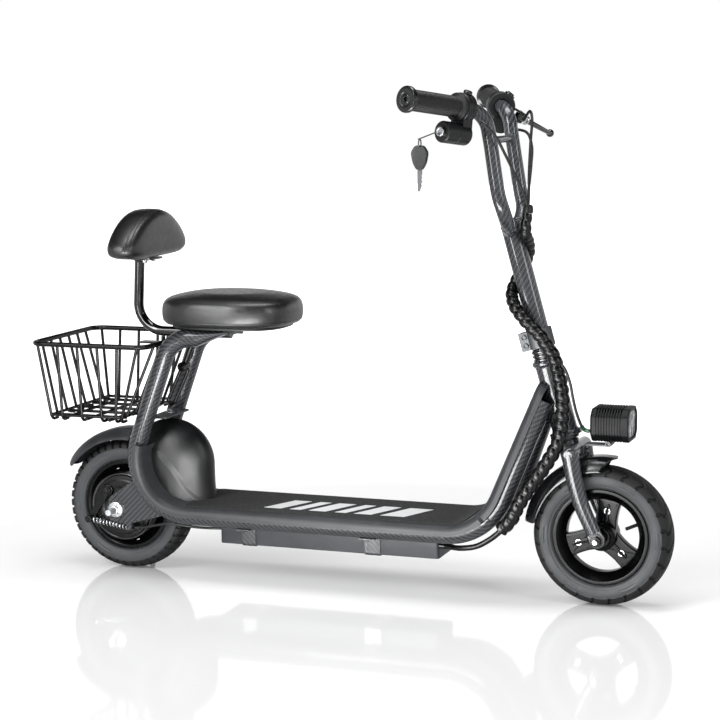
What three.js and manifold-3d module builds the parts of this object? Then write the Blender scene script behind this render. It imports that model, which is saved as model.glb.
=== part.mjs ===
// Seated electric scooter: X forward, Y to the left, Z up, millimetres.
// Every place is first given from the rear axle; the last lines move the whole to its base centre.
import * as THREE from "three";
import { mergeVertices } from "three/addons/utils/BufferGeometryUtils.js";
import Module from "manifold-3d";

const wasm = await Module();
wasm.setup();

// Driving dimensions

const GAP = 0.3;
const FLATNESS = 0.06;
const CUT = 2;
const WHEELBASE = 940;
const RAKE_DEG = 15.5;
// Distances back from the front axle.
const BACK = { headFoot: 71.8, tubeCorner: 199, tubeTop: 104, box: 297, pack: 320, strap: 426 };
const HEAD_FOOT = { x: WHEELBASE - BACK.headFoot, z: 313 };
const HEAD_SIDES = 18;
const WHEEL_SIDES = 24;

const TYRE = { radius: 127.5, halfWidth: 32, treadHalf: 16, wall: 6, beadHeight: 4.6 };
const RIM = { seat: 83.6, lip: 88, half: 27.5, lipWall: 2.8, well: 72, wellHalf: 12, wall: 2.6 };

const TUBE = { radius: 17.5, sides: 12, halfTrack: 70, headHalf: 31 };
const SPINE = {
  seatEndX: 236, seatZ: 466, seatCornerX: 122, seatBend: 62,
  rearCornerX: 0, deckZ: 124, rearBend: 108,
  frontCornerX: WHEELBASE - BACK.tubeCorner, frontBend: 110, topX: WHEELBASE - BACK.tubeTop, topZ: 372,
};
const HEAD = { radius: 23, bore: 17.6, length: 126, cupRadius: 29, cupHeight: 8, topCupRadius: 27 };

const TRAY = {
  wall: 3, halfWidth: 100, topHalf: 50, roll: 12, skirt: 21, clear: 0.5, rearX: 66, rearZ: 262, topInset: 6,
};
const MAT = { thickness: 1.6, halfWidth: 84, topHalf: 36, rearX: 172, frontRise: 0.42 };
const FENDER = { x: 88, z: 212, radius: 86, halfWidth: 49, wall: 3, wheelClear: 8 };
const GUARD = { radius: 150, sideRadius: 132, halfWidth: 42, wall: 2.5, fromDeg: 84, toDeg: 153 };
const PLATE = { x: 84, z: 305, length: 34, thickness: 4, bolt: 5 };
const BRIDGE = { fromX: 150, toX: 222, thickness: 6 };
const CROSS = { x: 190, radius: 10 };

const BOX = { fromX: 206, toX: WHEELBASE - BACK.box, halfWidth: 46, bottomZ: 70, topZ: 131, wall: 2, corner: 6 };
const STRAP = {
  thickness: 2, rearX: 266, rearWidth: 27, frontX: WHEELBASE - BACK.strap, frontWidth: 30, foot: 16,
};
const PACK = { fromX: 330, toX: WHEELBASE - BACK.pack, halfWidth: 38, height: 48 };
const CONTROLLER = { fromX: 224, toX: 312, halfWidth: 34, height: 34 };

const SEAT = {
  x: 220, length: 266, width: 222, height: 57, round: 2.7, panThick: 5, panInset: 18,
};
const POST = {
  radius: 9.5, frontX: 216, bendX: 20, bend: 52, lean: 7, plate: 4, plateBack: 9, plateFront: 38, plateHalf: 26,
  bolt: 5,
};
const BACKREST = { x: 46, thickness: 65, bottomZ: 610, height: 94, halfWidth: 134, waist: 24 };

const BASKET = {
  rearX: -142, frontX: 96, halfWidth: 133, rimZ: 452, floorZ: 312,
  floorRearX: -108, floorFrontX: 38, floorHalf: 119, rimRadius: 4.5, wire: 2.7, corner: 26,
  sideWires: 6, wireStep: 11, endWires: 6, floorLong: 5, floorAcross: 3,
};
const RACK = { fromX: 26, halfWidth: 13, thickness: 3, pinRadius: 4, pinInset: 9, overlap: 5 };

const AXLE = { radius: 6, halfLength: 108, nutRadius: 11, nutHeight: 10, washerRadius: 15, washer: 2.5 };
const DROPOUT = { y: 72, thickness: 6, top: 58, fore: 100, back: 15, low: 22 };
const MOTOR = { radius: 66, leftY: 60, rightY: 46, wall: 4, shoulder: 26, stator: 52, drumDepth: 22 };
const DRUM = { plateThick: 5, shoeInner: 50, shoeOuter: 59, shoeDepth: 14, slot: 6 };
const REAR_BOLTS = { count: 6, radius: 4.5, height: 4, at: 75, startDeg: 46 };
const ARM = { pivotX: -29, pivotZ: 159, y: 62, thickness: 4, endX: -64, endZ: 103, width: 6, barrel: 7, cam: 5 };
const STOP = { x: 22, z: 91, radius: 5, length: 10, tail: 10 };
const SPRING = { radius: 5, wire: 0.9, curls: 9, steps: 8, sides: 5 };
const STAND = {
  x: -30, z: 98, pin: 4.5, head: 6, boss: 9, bossOut: 8, eye: 11, eyeWidth: 12, leg: 5,
  footX: -14, footY: 128, footRadius: 10, footHeight: 8, tabHalf: 11, cap: 3,
};

const FORK = {
  legRadius: 14, legY: 52, crownRadius: 13, steerer: 15, steererTop: 186, raceRadius: 20, raceRib: 2.5,
  tipThick: 6, tipRadius: 14, tipY: 49,
};
// The right leg's line in the steering frame: t forward, s up.
const FORK_ROUTE = [
  { t: 12, s: -36 },
  { t: 8, s: -82 },
  { t: 8.5, s: -128 },
  { t: 13, s: -160 },
  { t: 17, s: -184 },
];
const FRONT_AXLE = { radius: 5, halfLength: 73, nutRadius: 9.5, nutHeight: 8, spacer: 9 };
const FRONT_GUARD = {
  radius: 145, sideRadius: 122, halfWidth: 37.4, wall: 2.4, fromDeg: 80, toDeg: 172, boss: 8,
};
const SPOKED = {
  hub: 26, hubHalf: 30, webHalf: 9, spokes: 3, spokeHalf: 21, rootHalf: 22,
  bolt: 6, boltHeight: 3, boltAt: 46, startDeg: 79.5,
};

const COLLAR = { radius: 21, rib: 2, ribs: 3, length: 22 };
const CLAMP = {
  wall: 4.5, length: 34, earDepth: 34, earHalf: 13, slit: 3, bolt: 3.5, inset: 9, head: 5, headHeight: 4,
};
const STEM = { radius: 18.5, bore: 15.6, top: 388 };
const BAR = { radius: 12.8, sides: 9, crossRadius: 6.5, cross: { t: 24, y: 73, s: 536 } };
// Places of the handlebar in the steering frame: t forward, y out, s up along the stem.
const BAR_ROUTE = [
  { t: 0, y: 15, s: 374 },
  { t: 8, y: 48, s: 392 },
  { t: 12, y: 66, s: 412 },
  { t: 13, y: 73, s: 440 },
  { t: 24, y: 73, s: 540 },
  { t: 26, y: 77, s: 568 },
  { t: 20, y: 90, s: 588 },
];
const GRIP_START = { t: 10, y: 108, s: 598 };
const GRIP_END = { t: -50, y: 250, s: 634 };
const GRIP = {
  radius: 18.5, cap: 23, capLength: 7, flange: 25, flangeWidth: 6, from: 26, hole: 4, clear: 0.4, end: 5,
};
const HOUSING = { radius: 26, length: 23, from: 2, drop: 45.5, barrel: 19, barrelLength: 60, web: 15 };
const LOCK = { radius: 9, depth: 6, slot: 1.4, slotDepth: 3, slotLength: 6 };
const STRAP_CORD = { width: 5, thickness: 2, dx: -32, dz: -12, hole: 1.9, eye: 4.5 };
const KEY = {
  ring: 8, ringWire: 1.2, headWidth: 32, headHeight: 42, headThick: 7, holeDrop: 5, shoulder: 12,
  bladeWidth: 8, bladeThick: 2.4, bladeLength: 38,
};
const LEVER = {
  out: 16, ahead: 40, tiltDeg: 30, splayDeg: 48, length: 124, root: 7.5, tip: 4.5, ball: 7.5,
  hub: 8, hubHeight: 12, fork: 4, pin: 3, armWidth: 20,
};
const LEFT_BOX = { lobe: 20, drop: 30 };
const BUTTON = { radius: 7, length: 9, well: 4, travel: 3, out: 13, liftDeg: 50 };
const LAMP = {
  ahead: 88, up: 19, length: 70, width: 78, height: 60, chamfer: 13, rim: 6, lens: 4,
  fins: 6, finGap: 4, finDepth: 4,
};
const LAMP_BRACKET = { halfWidth: 13, thickness: 3, lift: 11, drop: 19, lug: 12, bolt: 5, boltHeight: 5 };
const LOOM = { valley: 11, crest: 13.5, pitch: 17, sides: 8, tail: 5.2 };
const CABLE = { radius: 2.6, sleeve: 8 };

// Frames and materials

const RAKE = THREE.MathUtils.degToRad(RAKE_DEG);
const group = new THREE.Group();
const scooter = new THREE.Group();
group.add(scooter);

function material(color, roughness, metalness) {
  return new THREE.MeshStandardMaterial({ color, roughness, metalness });
}

const CARBON = material(0x1b1b1d, 0.3, 0.2);
const GLOSS = material(0x0f0f10, 0.2, 0.1);
const PLASTIC = material(0x242528, 0.45, 0);
const MATTE = material(0x1a1a1a, 0.8, 0);
const RUBBER = material(0x151515, 0.85, 0);
const LEATHER = material(0x17171a, 0.5, 0);
const BOX_GREY = material(0x4e5054, 0.6, 0.1);
const STEEL = material(0xb9bcc0, 0.3, 0.9);
const ALLOY = material(0x85888c, 0.35, 0.8);
const LENS = material(0xd8dde2, 0.1, 0);
const COPPER = material(0x9a5b33, 0.5, 0.6);

function vec(x, y, z) {
  return new THREE.Vector3(x, y, z);
}

function deg(angle) {
  return THREE.MathUtils.degToRad(angle);
}

// A place of the raked steering frame (t forward, y left, s up) in the scooter's frame.
function steered(t, y, s) {
  const c = Math.cos(RAKE);
  const n = Math.sin(RAKE);
  return vec(HEAD_FOOT.x + t * c - s * n, y, HEAD_FOOT.z + t * n + s * c);
}

function addMesh(name, geometry, look) {
  const clean = geometry.clone();
  clean.deleteAttribute("uv");
  clean.deleteAttribute("normal");
  const merged = mergeVertices(clean, 1e-3);
  merged.computeVertexNormals();
  const mesh = new THREE.Mesh(merged, look);
  mesh.name = name;
  scooter.add(mesh);
  return mesh;
}

// Solids and booleans

function solid(geometry) {
  const bare = geometry.clone();
  bare.deleteAttribute("uv");
  bare.deleteAttribute("normal");
  const merged = mergeVertices(bare, 1e-4);
  return new wasm.Manifold(new wasm.Mesh({
    numProp: 3,
    vertProperties: new Float32Array(merged.attributes.position.array),
    triVerts: new Uint32Array(merged.index.array),
  }));
}

// A solid's faces, without slivers finer than the flatness.
function surface(manifold) {
  const mesh = manifold.simplify(FLATNESS).getMesh();
  const geometry = new THREE.BufferGeometry();
  geometry.setAttribute("position", new THREE.BufferAttribute(new Float32Array(mesh.vertProperties), 3));
  geometry.setIndex(new THREE.BufferAttribute(new Uint32Array(mesh.triVerts), 1));
  return geometry;
}

function joined(parts, cuts = []) {
  let body = solid(parts[0]);
  for (const part of parts.slice(1)) {
    body = body.add(solid(part));
  }
  for (const cut of cuts) {
    body = body.subtract(solid(cut));
  }
  return surface(body);
}

function boxBetween(low, high) {
  const size = high.clone().sub(low);
  const box = new THREE.BoxGeometry(size.x, size.y, size.z);
  const mid = low.clone().add(high).multiplyScalar(0.5);
  return box.translate(mid.x, mid.y, mid.z);
}

// A round bar from one point to another.
function rod(from, to, radius, sides = 16, endRadius = radius) {
  const along = to.clone().sub(from);
  const bar = new THREE.CylinderGeometry(endRadius, radius, along.length(), sides);
  bar.applyQuaternion(new THREE.Quaternion().setFromUnitVectors(vec(0, 1, 0), along.normalize()));
  const mid = from.clone().add(to).multiplyScalar(0.5);
  return bar.translate(mid.x, mid.y, mid.z);
}

// A ring or disc turned about the Y axis from [radius, y] pairs, round the point (x, z).
function turnedY(profile, x, z, segments) {
  const points = profile.map(([radius, y]) => new THREE.Vector2(radius, y));
  return new THREE.LatheGeometry(points, segments).translate(x, 0, z);
}

// A round piece turned about the steering axis from [radius, s] pairs.
function turnedS(profile, segments) {
  const points = profile.map(([radius, s]) => new THREE.Vector2(radius, s));
  const piece = new THREE.LatheGeometry(points, segments);
  return toSteering(piece.rotateX(Math.PI / 2));
}

// Moves a piece drawn in the steering frame (x = t, y = y, z = s) to its place.
function toSteering(geometry) {
  geometry.rotateY(-RAKE);
  return geometry.translate(HEAD_FOOT.x, 0, HEAD_FOOT.z);
}

// A curve through given stations, one ring of the tube at each.
class Stations extends THREE.Curve {
  constructor(points) {
    super();
    this.points = points;
  }

  getPoint(share, target = new THREE.Vector3()) {
    const at = share * (this.points.length - 1);
    const low = Math.min(Math.floor(at), this.points.length - 2);
    return target.lerpVectors(this.points[low], this.points[low + 1], at - low);
  }

  getPointAt(share, target) {
    return this.getPoint(share, target);
  }

  getTangent(share, target = new THREE.Vector3()) {
    const at = Math.round(share * (this.points.length - 1));
    const before = this.points[Math.max(at - 1, 0)];
    const after = this.points[Math.min(at + 1, this.points.length - 1)];
    return target.copy(after).sub(before).normalize();
  }

  getTangentAt(share, target) {
    return this.getTangent(share, target);
  }
}

function roundShape(radius, sides) {
  const shape = new THREE.Shape();
  for (let i = 0; i < sides; i += 1) {
    const angle = (i + 0.5) * 2 * Math.PI / sides;
    const x = radius * Math.cos(angle);
    const y = radius * Math.sin(angle);
    if (i === 0) {
      shape.moveTo(x, y);
    } else {
      shape.lineTo(x, y);
    }
  }
  shape.closePath();
  return shape;
}

function tube(points, radius, sides = 10) {
  return new THREE.ExtrudeGeometry(roundShape(radius, sides), {
    steps: points.length - 1,
    bevelEnabled: false,
    extrudePath: new Stations(points),
  });
}

// Corners with rounded bends: each corner is a point with its own bend radius.
function bentRoute(corners, stepDeg = 15) {
  const out = [corners[0].at.clone()];
  for (let i = 1; i < corners.length - 1; i += 1) {
    const here = corners[i].at;
    const back = corners[i - 1].at.clone().sub(here).normalize();
    const ahead = corners[i + 1].at.clone().sub(here).normalize();
    const half = back.angleTo(ahead) / 2;
    const reach = corners[i].bend / Math.tan(half);
    const middle = back.clone().add(ahead).normalize();
    const centre = here.clone().addScaledVector(middle, corners[i].bend / Math.sin(half));
    const start = here.clone().addScaledVector(back, reach).sub(centre);
    const sweep = Math.PI - 2 * half;
    const axis = back.clone().cross(ahead).normalize().negate();
    const steps = Math.max(2, Math.ceil(THREE.MathUtils.radToDeg(sweep) / stepDeg));
    for (let k = 0; k <= steps; k += 1) {
      out.push(start.clone().applyAxisAngle(axis, sweep * k / steps).add(centre));
    }
  }
  out.push(corners[corners.length - 1].at.clone());
  return out;
}

// A smooth route through points chosen by hand.
function smoothRoute(points, steps) {
  return new THREE.CatmullRomCurve3(points, false, "centripetal").getSpacedPoints(steps);
}

// A closed skin over rings of equal count, capped by fans at both ends.
function loft(rings) {
  const count = rings[0].length;
  const positions = [];
  const index = [];
  for (const ring of rings) {
    for (const point of ring) {
      positions.push(point.x, point.y, point.z);
    }
  }
  for (let r = 0; r < rings.length - 1; r += 1) {
    for (let i = 0; i < count; i += 1) {
      const a = r * count + i;
      const b = r * count + (i + 1) % count;
      index.push(a, b, b + count, a, b + count, a + count);
    }
  }
  capRing(rings[0], 0, true, index);
  capRing(rings[rings.length - 1], (rings.length - 1) * count, false, index);
  const geometry = new THREE.BufferGeometry();
  geometry.setAttribute("position", new THREE.Float32BufferAttribute(positions, 3));
  geometry.setIndex(index);
  return outward(geometry);
}

// Fills an end ring, whose outline may be hollow, with flat triangles.
function capRing(ring, first, flip, index) {
  const normal = vec(0, 0, 0);
  for (let i = 0; i < ring.length; i += 1) {
    normal.add(ring[i].clone().cross(ring[(i + 1) % ring.length]));
  }
  normal.normalize();
  const across = Math.abs(normal.z) < 0.9 ? vec(0, 0, 1) : vec(1, 0, 0);
  const u = across.clone().cross(normal).normalize();
  const v = normal.clone().cross(u);
  const flat = ring.map((point) => new THREE.Vector2(point.dot(u), point.dot(v)));
  for (const [a, b, c] of THREE.ShapeUtils.triangulateShape(flat, [])) {
    if (flip) {
      index.push(first + a, first + c, first + b);
    } else {
      index.push(first + a, first + b, first + c);
    }
  }
}

// Turns a closed skin so that its faces point out.
function outward(geometry) {
  const place = geometry.attributes.position;
  const index = geometry.index.array;
  let volume = 0;
  for (let i = 0; i < index.length; i += 3) {
    const a = new THREE.Vector3().fromBufferAttribute(place, index[i]);
    const b = new THREE.Vector3().fromBufferAttribute(place, index[i + 1]);
    const c = new THREE.Vector3().fromBufferAttribute(place, index[i + 2]);
    volume += a.dot(b.cross(c));
  }
  if (volume < 0) {
    for (let i = 0; i < index.length; i += 3) {
      const keep = index[i + 1];
      index[i + 1] = index[i + 2];
      index[i + 2] = keep;
    }
  }
  return geometry;
}

// A tube of changing radius, one ring at each station.
function ringTube(points, radii, sides) {
  const curve = new Stations(points);
  const frames = curve.computeFrenetFrames(points.length - 1, false);
  const rings = points.map((point, k) => {
    const ring = [];
    for (let i = 0; i < sides; i += 1) {
      const angle = i * 2 * Math.PI / sides;
      ring.push(point.clone()
        .addScaledVector(frames.normals[k], radii[k] * Math.cos(angle))
        .addScaledVector(frames.binormals[k], radii[k] * Math.sin(angle)));
    }
    return ring;
  });
  return loft(rings);
}

// A flat outline in the XZ plane, extruded across Y.
function slabXZ(outline, fromY, toY) {
  const shape = new THREE.Shape(outline.map(([x, z]) => new THREE.Vector2(x, z)));
  const slab = new THREE.ExtrudeGeometry(shape, { depth: toY - fromY, bevelEnabled: false });
  return slab.rotateX(Math.PI / 2).translate(0, toY, 0);
}

// Frame

const REAR = { x: 0, z: TYRE.radius };
const FRONT = { x: WHEELBASE, z: TYRE.radius };

// The side outline of the main tube, with its rounded bends, in the XZ plane.
function spineRoute() {
  return bentRoute([
    { at: vec(SPINE.seatEndX, 0, SPINE.seatZ) },
    { at: vec(SPINE.seatCornerX, 0, SPINE.seatZ), bend: SPINE.seatBend },
    { at: vec(SPINE.rearCornerX, 0, SPINE.deckZ), bend: SPINE.rearBend },
    { at: vec(SPINE.frontCornerX, 0, SPINE.deckZ), bend: SPINE.frontBend },
    { at: vec(SPINE.topX, 0, SPINE.topZ) },
  ]);
}

// Half the distance between the tubes' centres, drawn in along the front rise.
function trackAt(point, low, high) {
  const rising = point.x > SPINE.frontCornerX;
  const share = rising ? (point.z - SPINE.deckZ) / (SPINE.topZ - SPINE.deckZ) : 0;
  return low + (high - low) * THREE.MathUtils.clamp(share, 0, 1);
}

function mainTube(side) {
  const points = spineRoute().map((point) => {
    const y = side * trackAt(point, TUBE.halfTrack, TUBE.headHalf);
    return vec(point.x, y, point.z);
  });
  const head = rod(steered(0, 0, -HEAD.length), steered(0, 0, 2 * HEAD.length), HEAD.radius + GAP, HEAD_SIDES);
  return joined([tube(points, TUBE.radius, TUBE.sides)], [head]);
}

function headTube() {
  const top = HEAD.length;
  return turnedS([
    [HEAD.bore, -HEAD.cupHeight], [HEAD.cupRadius, -HEAD.cupHeight], [HEAD.cupRadius, 0], [HEAD.radius, 0],
    [HEAD.radius, top], [HEAD.topCupRadius, top], [HEAD.topCupRadius, top + HEAD.cupHeight],
    [HEAD.bore, top + HEAD.cupHeight], [HEAD.bore, -HEAD.cupHeight],
  ], HEAD_SIDES);
}

// A plate between the seat tubes that carries the seat pan, the backrest post and the basket.
function seatBridge() {
  const half = TUBE.halfTrack - TUBE.radius - GAP;
  const z = SPINE.seatZ + TUBE.radius;
  return boxBetween(vec(BRIDGE.fromX, -half, z - BRIDGE.thickness), vec(BRIDGE.toX, half, z));
}

function deckCross() {
  const half = TUBE.halfTrack - TUBE.radius - GAP;
  return rod(vec(CROSS.x, -half, SPINE.deckZ), vec(CROSS.x, half, SPINE.deckZ), CROSS.radius, 12);
}

// A side plate under the rear bend with the slot for the axle.
function dropout(side) {
  const near = side * (DROPOUT.y - DROPOUT.thickness / 2);
  const far = side * (DROPOUT.y + DROPOUT.thickness / 2);
  const outline = [
    [REAR.x + DROPOUT.top - DROPOUT.low, REAR.z + DROPOUT.top],
    [REAR.x - DROPOUT.back, REAR.z + DROPOUT.low],
    [REAR.x - DROPOUT.back, REAR.z - DROPOUT.low],
    [REAR.x + DROPOUT.low, REAR.z - DROPOUT.low - DROPOUT.thickness],
    [REAR.x + DROPOUT.fore, REAR.z - DROPOUT.thickness],
    [REAR.x + DROPOUT.fore, REAR.z + DROPOUT.low],
  ];
  const plate = slabXZ(outline, Math.min(near, far), Math.max(near, far));
  const points = spineRoute().map((point) => vec(point.x, side * TUBE.halfTrack, point.z));
  const cuts = [
    tube(points.slice(0, points.length - 3), TUBE.radius + GAP, TUBE.sides),
    rod(vec(REAR.x, 0, REAR.z), vec(REAR.x, 2 * side * DROPOUT.y, REAR.z), AXLE.radius + GAP, 16),
  ];
  const parts = [plate];
  if (side > 0) {
    parts.push(...standPivot());
  } else {
    parts.push(...cableStop());
    cuts.push(rod(vec(STOP.x - STOP.tail, -ARM.y, STOP.z), vec(STOP.x + STOP.length + CUT, -ARM.y, STOP.z),
      CABLE.radius + GAP, 8));
  }
  return joined(parts, cuts);
}

// The barrel that holds the brake cable's end, on a short tab of the right plate.
function cableStop() {
  const tab = boxBetween(
    vec(STOP.x, -DROPOUT.y, STOP.z - STOP.radius),
    vec(STOP.x + STOP.length, -ARM.y, STOP.z + STOP.tail),
  );
  const barrel = rod(vec(STOP.x, -ARM.y, STOP.z), vec(STOP.x + STOP.length, -ARM.y, STOP.z), STOP.radius, 12);
  const neck = boxBetween(
    vec(STOP.x, -DROPOUT.y - DROPOUT.thickness / 2, STOP.z),
    vec(STOP.x + STOP.length, -DROPOUT.y + DROPOUT.thickness / 2, REAR.z - DROPOUT.low),
  );
  return [tab, barrel, neck];
}

// The tab, boss and headed pin on the left plate that carry the kickstand.
function standPivot() {
  const inside = DROPOUT.y - DROPOUT.thickness / 2;
  const face = DROPOUT.y + DROPOUT.thickness / 2;
  const boss = face + STAND.bossOut;
  const end = boss + STAND.eyeWidth + 2 * GAP;
  return [
    slabXZ([
      [STAND.x - STAND.tabHalf, STAND.z - STAND.tabHalf],
      [STAND.x + STAND.tabHalf, STAND.z - STAND.tabHalf],
      [REAR.x + STAND.boss, REAR.z - DROPOUT.low + DROPOUT.thickness],
      [REAR.x - DROPOUT.back + DROPOUT.thickness, REAR.z],
      [STAND.x - STAND.tabHalf, STAND.z + STAND.tabHalf],
    ], inside, face),
    rod(vec(STAND.x, inside, STAND.z), vec(STAND.x, boss, STAND.z), STAND.boss, 14),
    rod(vec(STAND.x, inside, STAND.z), vec(STAND.x, end + STAND.cap, STAND.z), STAND.pin, 12),
    rod(vec(STAND.x, end, STAND.z), vec(STAND.x, end + STAND.cap, STAND.z), STAND.head, 12),
  ];
}

function buildFrame() {
  addMesh("frame_tube_right", mainTube(-1), CARBON);
  addMesh("frame_tube_left", mainTube(1), CARBON);
  addMesh("head_tube", headTube(), CARBON);
  addMesh("seat_bridge", seatBridge(), CARBON);
  addMesh("deck_cross_tube", deckCross(), GLOSS);
  addMesh("dropout_right", dropout(-1), CARBON);
  addMesh("dropout_left", dropout(1), CARBON);
}

// Deck and covers

// The deck follows the inside of the main tubes: each station has its place and its inward normal.
function deckStations(offset) {
  const route = spineRoute();
  const out = [];
  for (let i = 1; i < route.length; i += 1) {
    const before = route[Math.max(i - 1, 0)];
    const after = route[Math.min(i + 1, route.length - 1)];
    const along = after.clone().sub(before).normalize();
    const inward = vec(-along.z, 0, along.x);
    const point = route[i].clone().addScaledVector(inward, offset);
    out.push({ point, inward, base: route[i] });
  }
  return out;
}

function sectionRing(station, half, outline) {
  return outline.map(([across, up]) => station.point.clone()
    .add(vec(0, across * half, 0))
    .addScaledVector(station.inward, up));
}

function trayRing(station, half) {
  const edge = 1 - TRAY.roll / half;
  const wall = TRAY.wall / half;
  const skirt = -TRAY.skirt;
  const soft = 1 - TRAY.roll / (3 * half);
  return sectionRing(station, half, [
    [-1, skirt], [-1, -TRAY.roll], [-soft, -TRAY.roll / 3], [-edge, 0], [edge, 0], [soft, -TRAY.roll / 3],
    [1, -TRAY.roll], [1, skirt],
    [1 - wall, skirt], [1 - wall, -TRAY.roll], [soft - wall, -TRAY.roll / 3 - TRAY.wall / 2],
    [edge - wall / 2, -TRAY.wall], [-edge + wall / 2, -TRAY.wall], [-soft + wall, -TRAY.roll / 3 - TRAY.wall / 2],
    [-1 + wall, -TRAY.roll], [-1 + wall, skirt],
  ]);
}

function trayOffset() {
  return TUBE.radius + TRAY.clear + TRAY.wall;
}

function deckTray() {
  const stations = deckStations(trayOffset())
    .filter((station) => station.base.z < TRAY.rearZ || station.base.x > SPINE.rearBend * 2);
  const first = stations[0];
  const lead = first.point.clone();
  const start = { point: lead, inward: first.inward, base: first.base };
  const end = stations[stations.length - 1];
  const share = 1 - TRAY.topInset / (SPINE.topZ - SPINE.deckZ);
  const rings = [start, ...stations.slice(1, -1), end].map((station) => {
    const half = trackAt(station.base, TRAY.halfWidth, TRAY.topHalf / share);
    return trayRing(station, half);
  });
  const wheel = turnedY([
    [0, -FENDER.halfWidth - GAP], [TYRE.radius + FENDER.wheelClear + CUT, -FENDER.halfWidth - GAP],
    [TYRE.radius + FENDER.wheelClear + CUT, FENDER.halfWidth + GAP], [0, FENDER.halfWidth + GAP],
  ], REAR.x, REAR.z, WHEEL_SIDES);
  const dome = fenderBall(FENDER.radius + GAP, FENDER.halfWidth + GAP);
  const head = rod(steered(0, 0, -HEAD.length), steered(0, 0, 2 * HEAD.length), HEAD.radius + GAP, HEAD_SIDES);
  const tubes = [-1, 1].map((side) => tube(spineRoute().map((point) => (
    vec(point.x, side * trackAt(point, TUBE.halfTrack, TUBE.headHalf), point.z)
  )), TUBE.radius + GAP, TUBE.sides));
  return joined([loft(rings)], [wheel, dome, head, ...tubes]);
}

function fenderBall(radius, halfWidth) {
  const ball = new THREE.SphereGeometry(radius, 16, 10);
  ball.rotateX(Math.PI / 2);
  ball.scale(1, halfWidth / radius, 1);
  return ball.translate(FENDER.x, 0, FENDER.z);
}

// A domed cover over the front of the rear wheel, open towards the wheel.
function innerFender() {
  const wheel = turnedY([
    [0, -2 * FENDER.halfWidth], [TYRE.radius + FENDER.wheelClear, -2 * FENDER.halfWidth],
    [TYRE.radius + FENDER.wheelClear, 2 * FENDER.halfWidth], [0, 2 * FENDER.halfWidth],
  ], REAR.x, REAR.z, 48);
  const inner = fenderBall(FENDER.radius - FENDER.wall, FENDER.halfWidth - FENDER.wall);
  return joined([fenderBall(FENDER.radius, FENDER.halfWidth)], [wheel, inner]);
}

// An arched guard round a wheel: the section is a bow across Y, swept about the axle.
function guard(size, centre, steps) {
  const rings = [];
  const bows = 6;
  for (let k = 0; k <= steps; k += 1) {
    const angle = deg(size.fromDeg + (size.toDeg - size.fromDeg) * k / steps);
    const ring = [];
    for (const [wall, way] of [[0, 1], [size.wall, -1]]) {
      for (let i = 0; i <= bows; i += 1) {
        const share = way * (2 * i / bows - 1);
        const half = size.halfWidth - wall;
        const crown = size.radius - (size.radius - size.sideRadius) * share ** 4 - wall;
        ring.push(vec(centre.x + crown * Math.cos(angle), half * share, centre.z + crown * Math.sin(angle)));
      }
    }
    rings.push(ring);
  }
  return loft(rings);
}

// The rear guard with the cross plate between the seat tubes that it hangs from.
function rearMudguard() {
  const half = TUBE.halfTrack - TUBE.radius - GAP;
  const from = PLATE.x - PLATE.length / 2;
  const top = PLATE.z + PLATE.thickness;
  const plate = boxBetween(vec(from, -half, PLATE.z), vec(from + PLATE.length, half, top));
  const bolt = rod(vec(PLATE.x, 0, PLATE.z), vec(PLATE.x, 0, top + PLATE.bolt), PLATE.bolt, 6);
  const angle = deg(GUARD.fromDeg);
  const root = vec(REAR.x + (GUARD.radius - GUARD.wall / 2) * Math.cos(angle), 0,
    REAR.z + (GUARD.radius - GUARD.wall / 2) * Math.sin(angle));
  const reach = slabXZ([
    [root.x - PLATE.thickness, root.z - GUARD.wall / 2], [root.x, root.z - GUARD.wall / 2],
    [from + PLATE.thickness, PLATE.z], [from + PLATE.thickness, top], [from, top],
  ], -PLATE.length / 2, PLATE.length / 2);
  return joined([guard(GUARD, REAR, 9), reach, plate, bolt], [
    fenderBall(FENDER.radius + GAP, FENDER.halfWidth + GAP),
  ]);
}

function gripMat() {
  const stations = deckStations(trayOffset() + GAP)
    .filter((station) => station.base.x > FENDER.x && station.base.z < SPINE.deckZ + SPINE.rearBend);
  const rear = { ...stations[0] };
  rear.point = rear.point.clone().setX(MAT.rearX);
  rear.inward = vec(0, 0, 1);
  rear.point.z = SPINE.deckZ + trayOffset() + GAP;
  rear.base = rear.point;
  const used = [rear, ...stations.filter((station) => station.base.x > MAT.rearX)];
  const last = used.findLastIndex((station) => (
    station.base.z - SPINE.deckZ < MAT.frontRise * (SPINE.topZ - SPINE.deckZ)
  ));
  const rings = used.slice(0, last + 1).map((station) => {
    const half = trackAt(station.base, MAT.halfWidth, MAT.topHalf);
    return sectionRing(station, half, [[-1, 0], [-1, MAT.thickness], [1, MAT.thickness], [1, 0]]);
  });
  return joined([loft(rings)], [fenderBall(FENDER.radius + 2 * GAP, FENDER.halfWidth + 2 * GAP)]);
}

function batteryBox() {
  const outer = roundedBox(BOX.fromX, BOX.toX, BOX.halfWidth, BOX.bottomZ, BOX.topZ, BOX.corner);
  const inner = roundedBox(BOX.fromX + BOX.wall, BOX.toX - BOX.wall, BOX.halfWidth - BOX.wall,
    BOX.bottomZ + BOX.wall, BOX.topZ + CUT, BOX.corner - BOX.wall);
  return joined([outer], [inner]);
}

function roundedBox(fromX, toX, half, low, high, corner) {
  const shape = new THREE.Shape();
  shape.moveTo(fromX + corner, -half);
  shape.lineTo(toX - corner, -half);
  shape.absarc(toX - corner, -half + corner, corner, -Math.PI / 2, 0, false);
  shape.absarc(toX - corner, half - corner, corner, 0, Math.PI / 2, false);
  shape.absarc(fromX + corner, half - corner, corner, Math.PI / 2, Math.PI, false);
  shape.absarc(fromX + corner, -half + corner, corner, Math.PI, 1.5 * Math.PI, false);
  const block = new THREE.ExtrudeGeometry(shape, { depth: high - low, bevelEnabled: false, curveSegments: 3 });
  return block.translate(0, 0, low);
}

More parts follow.
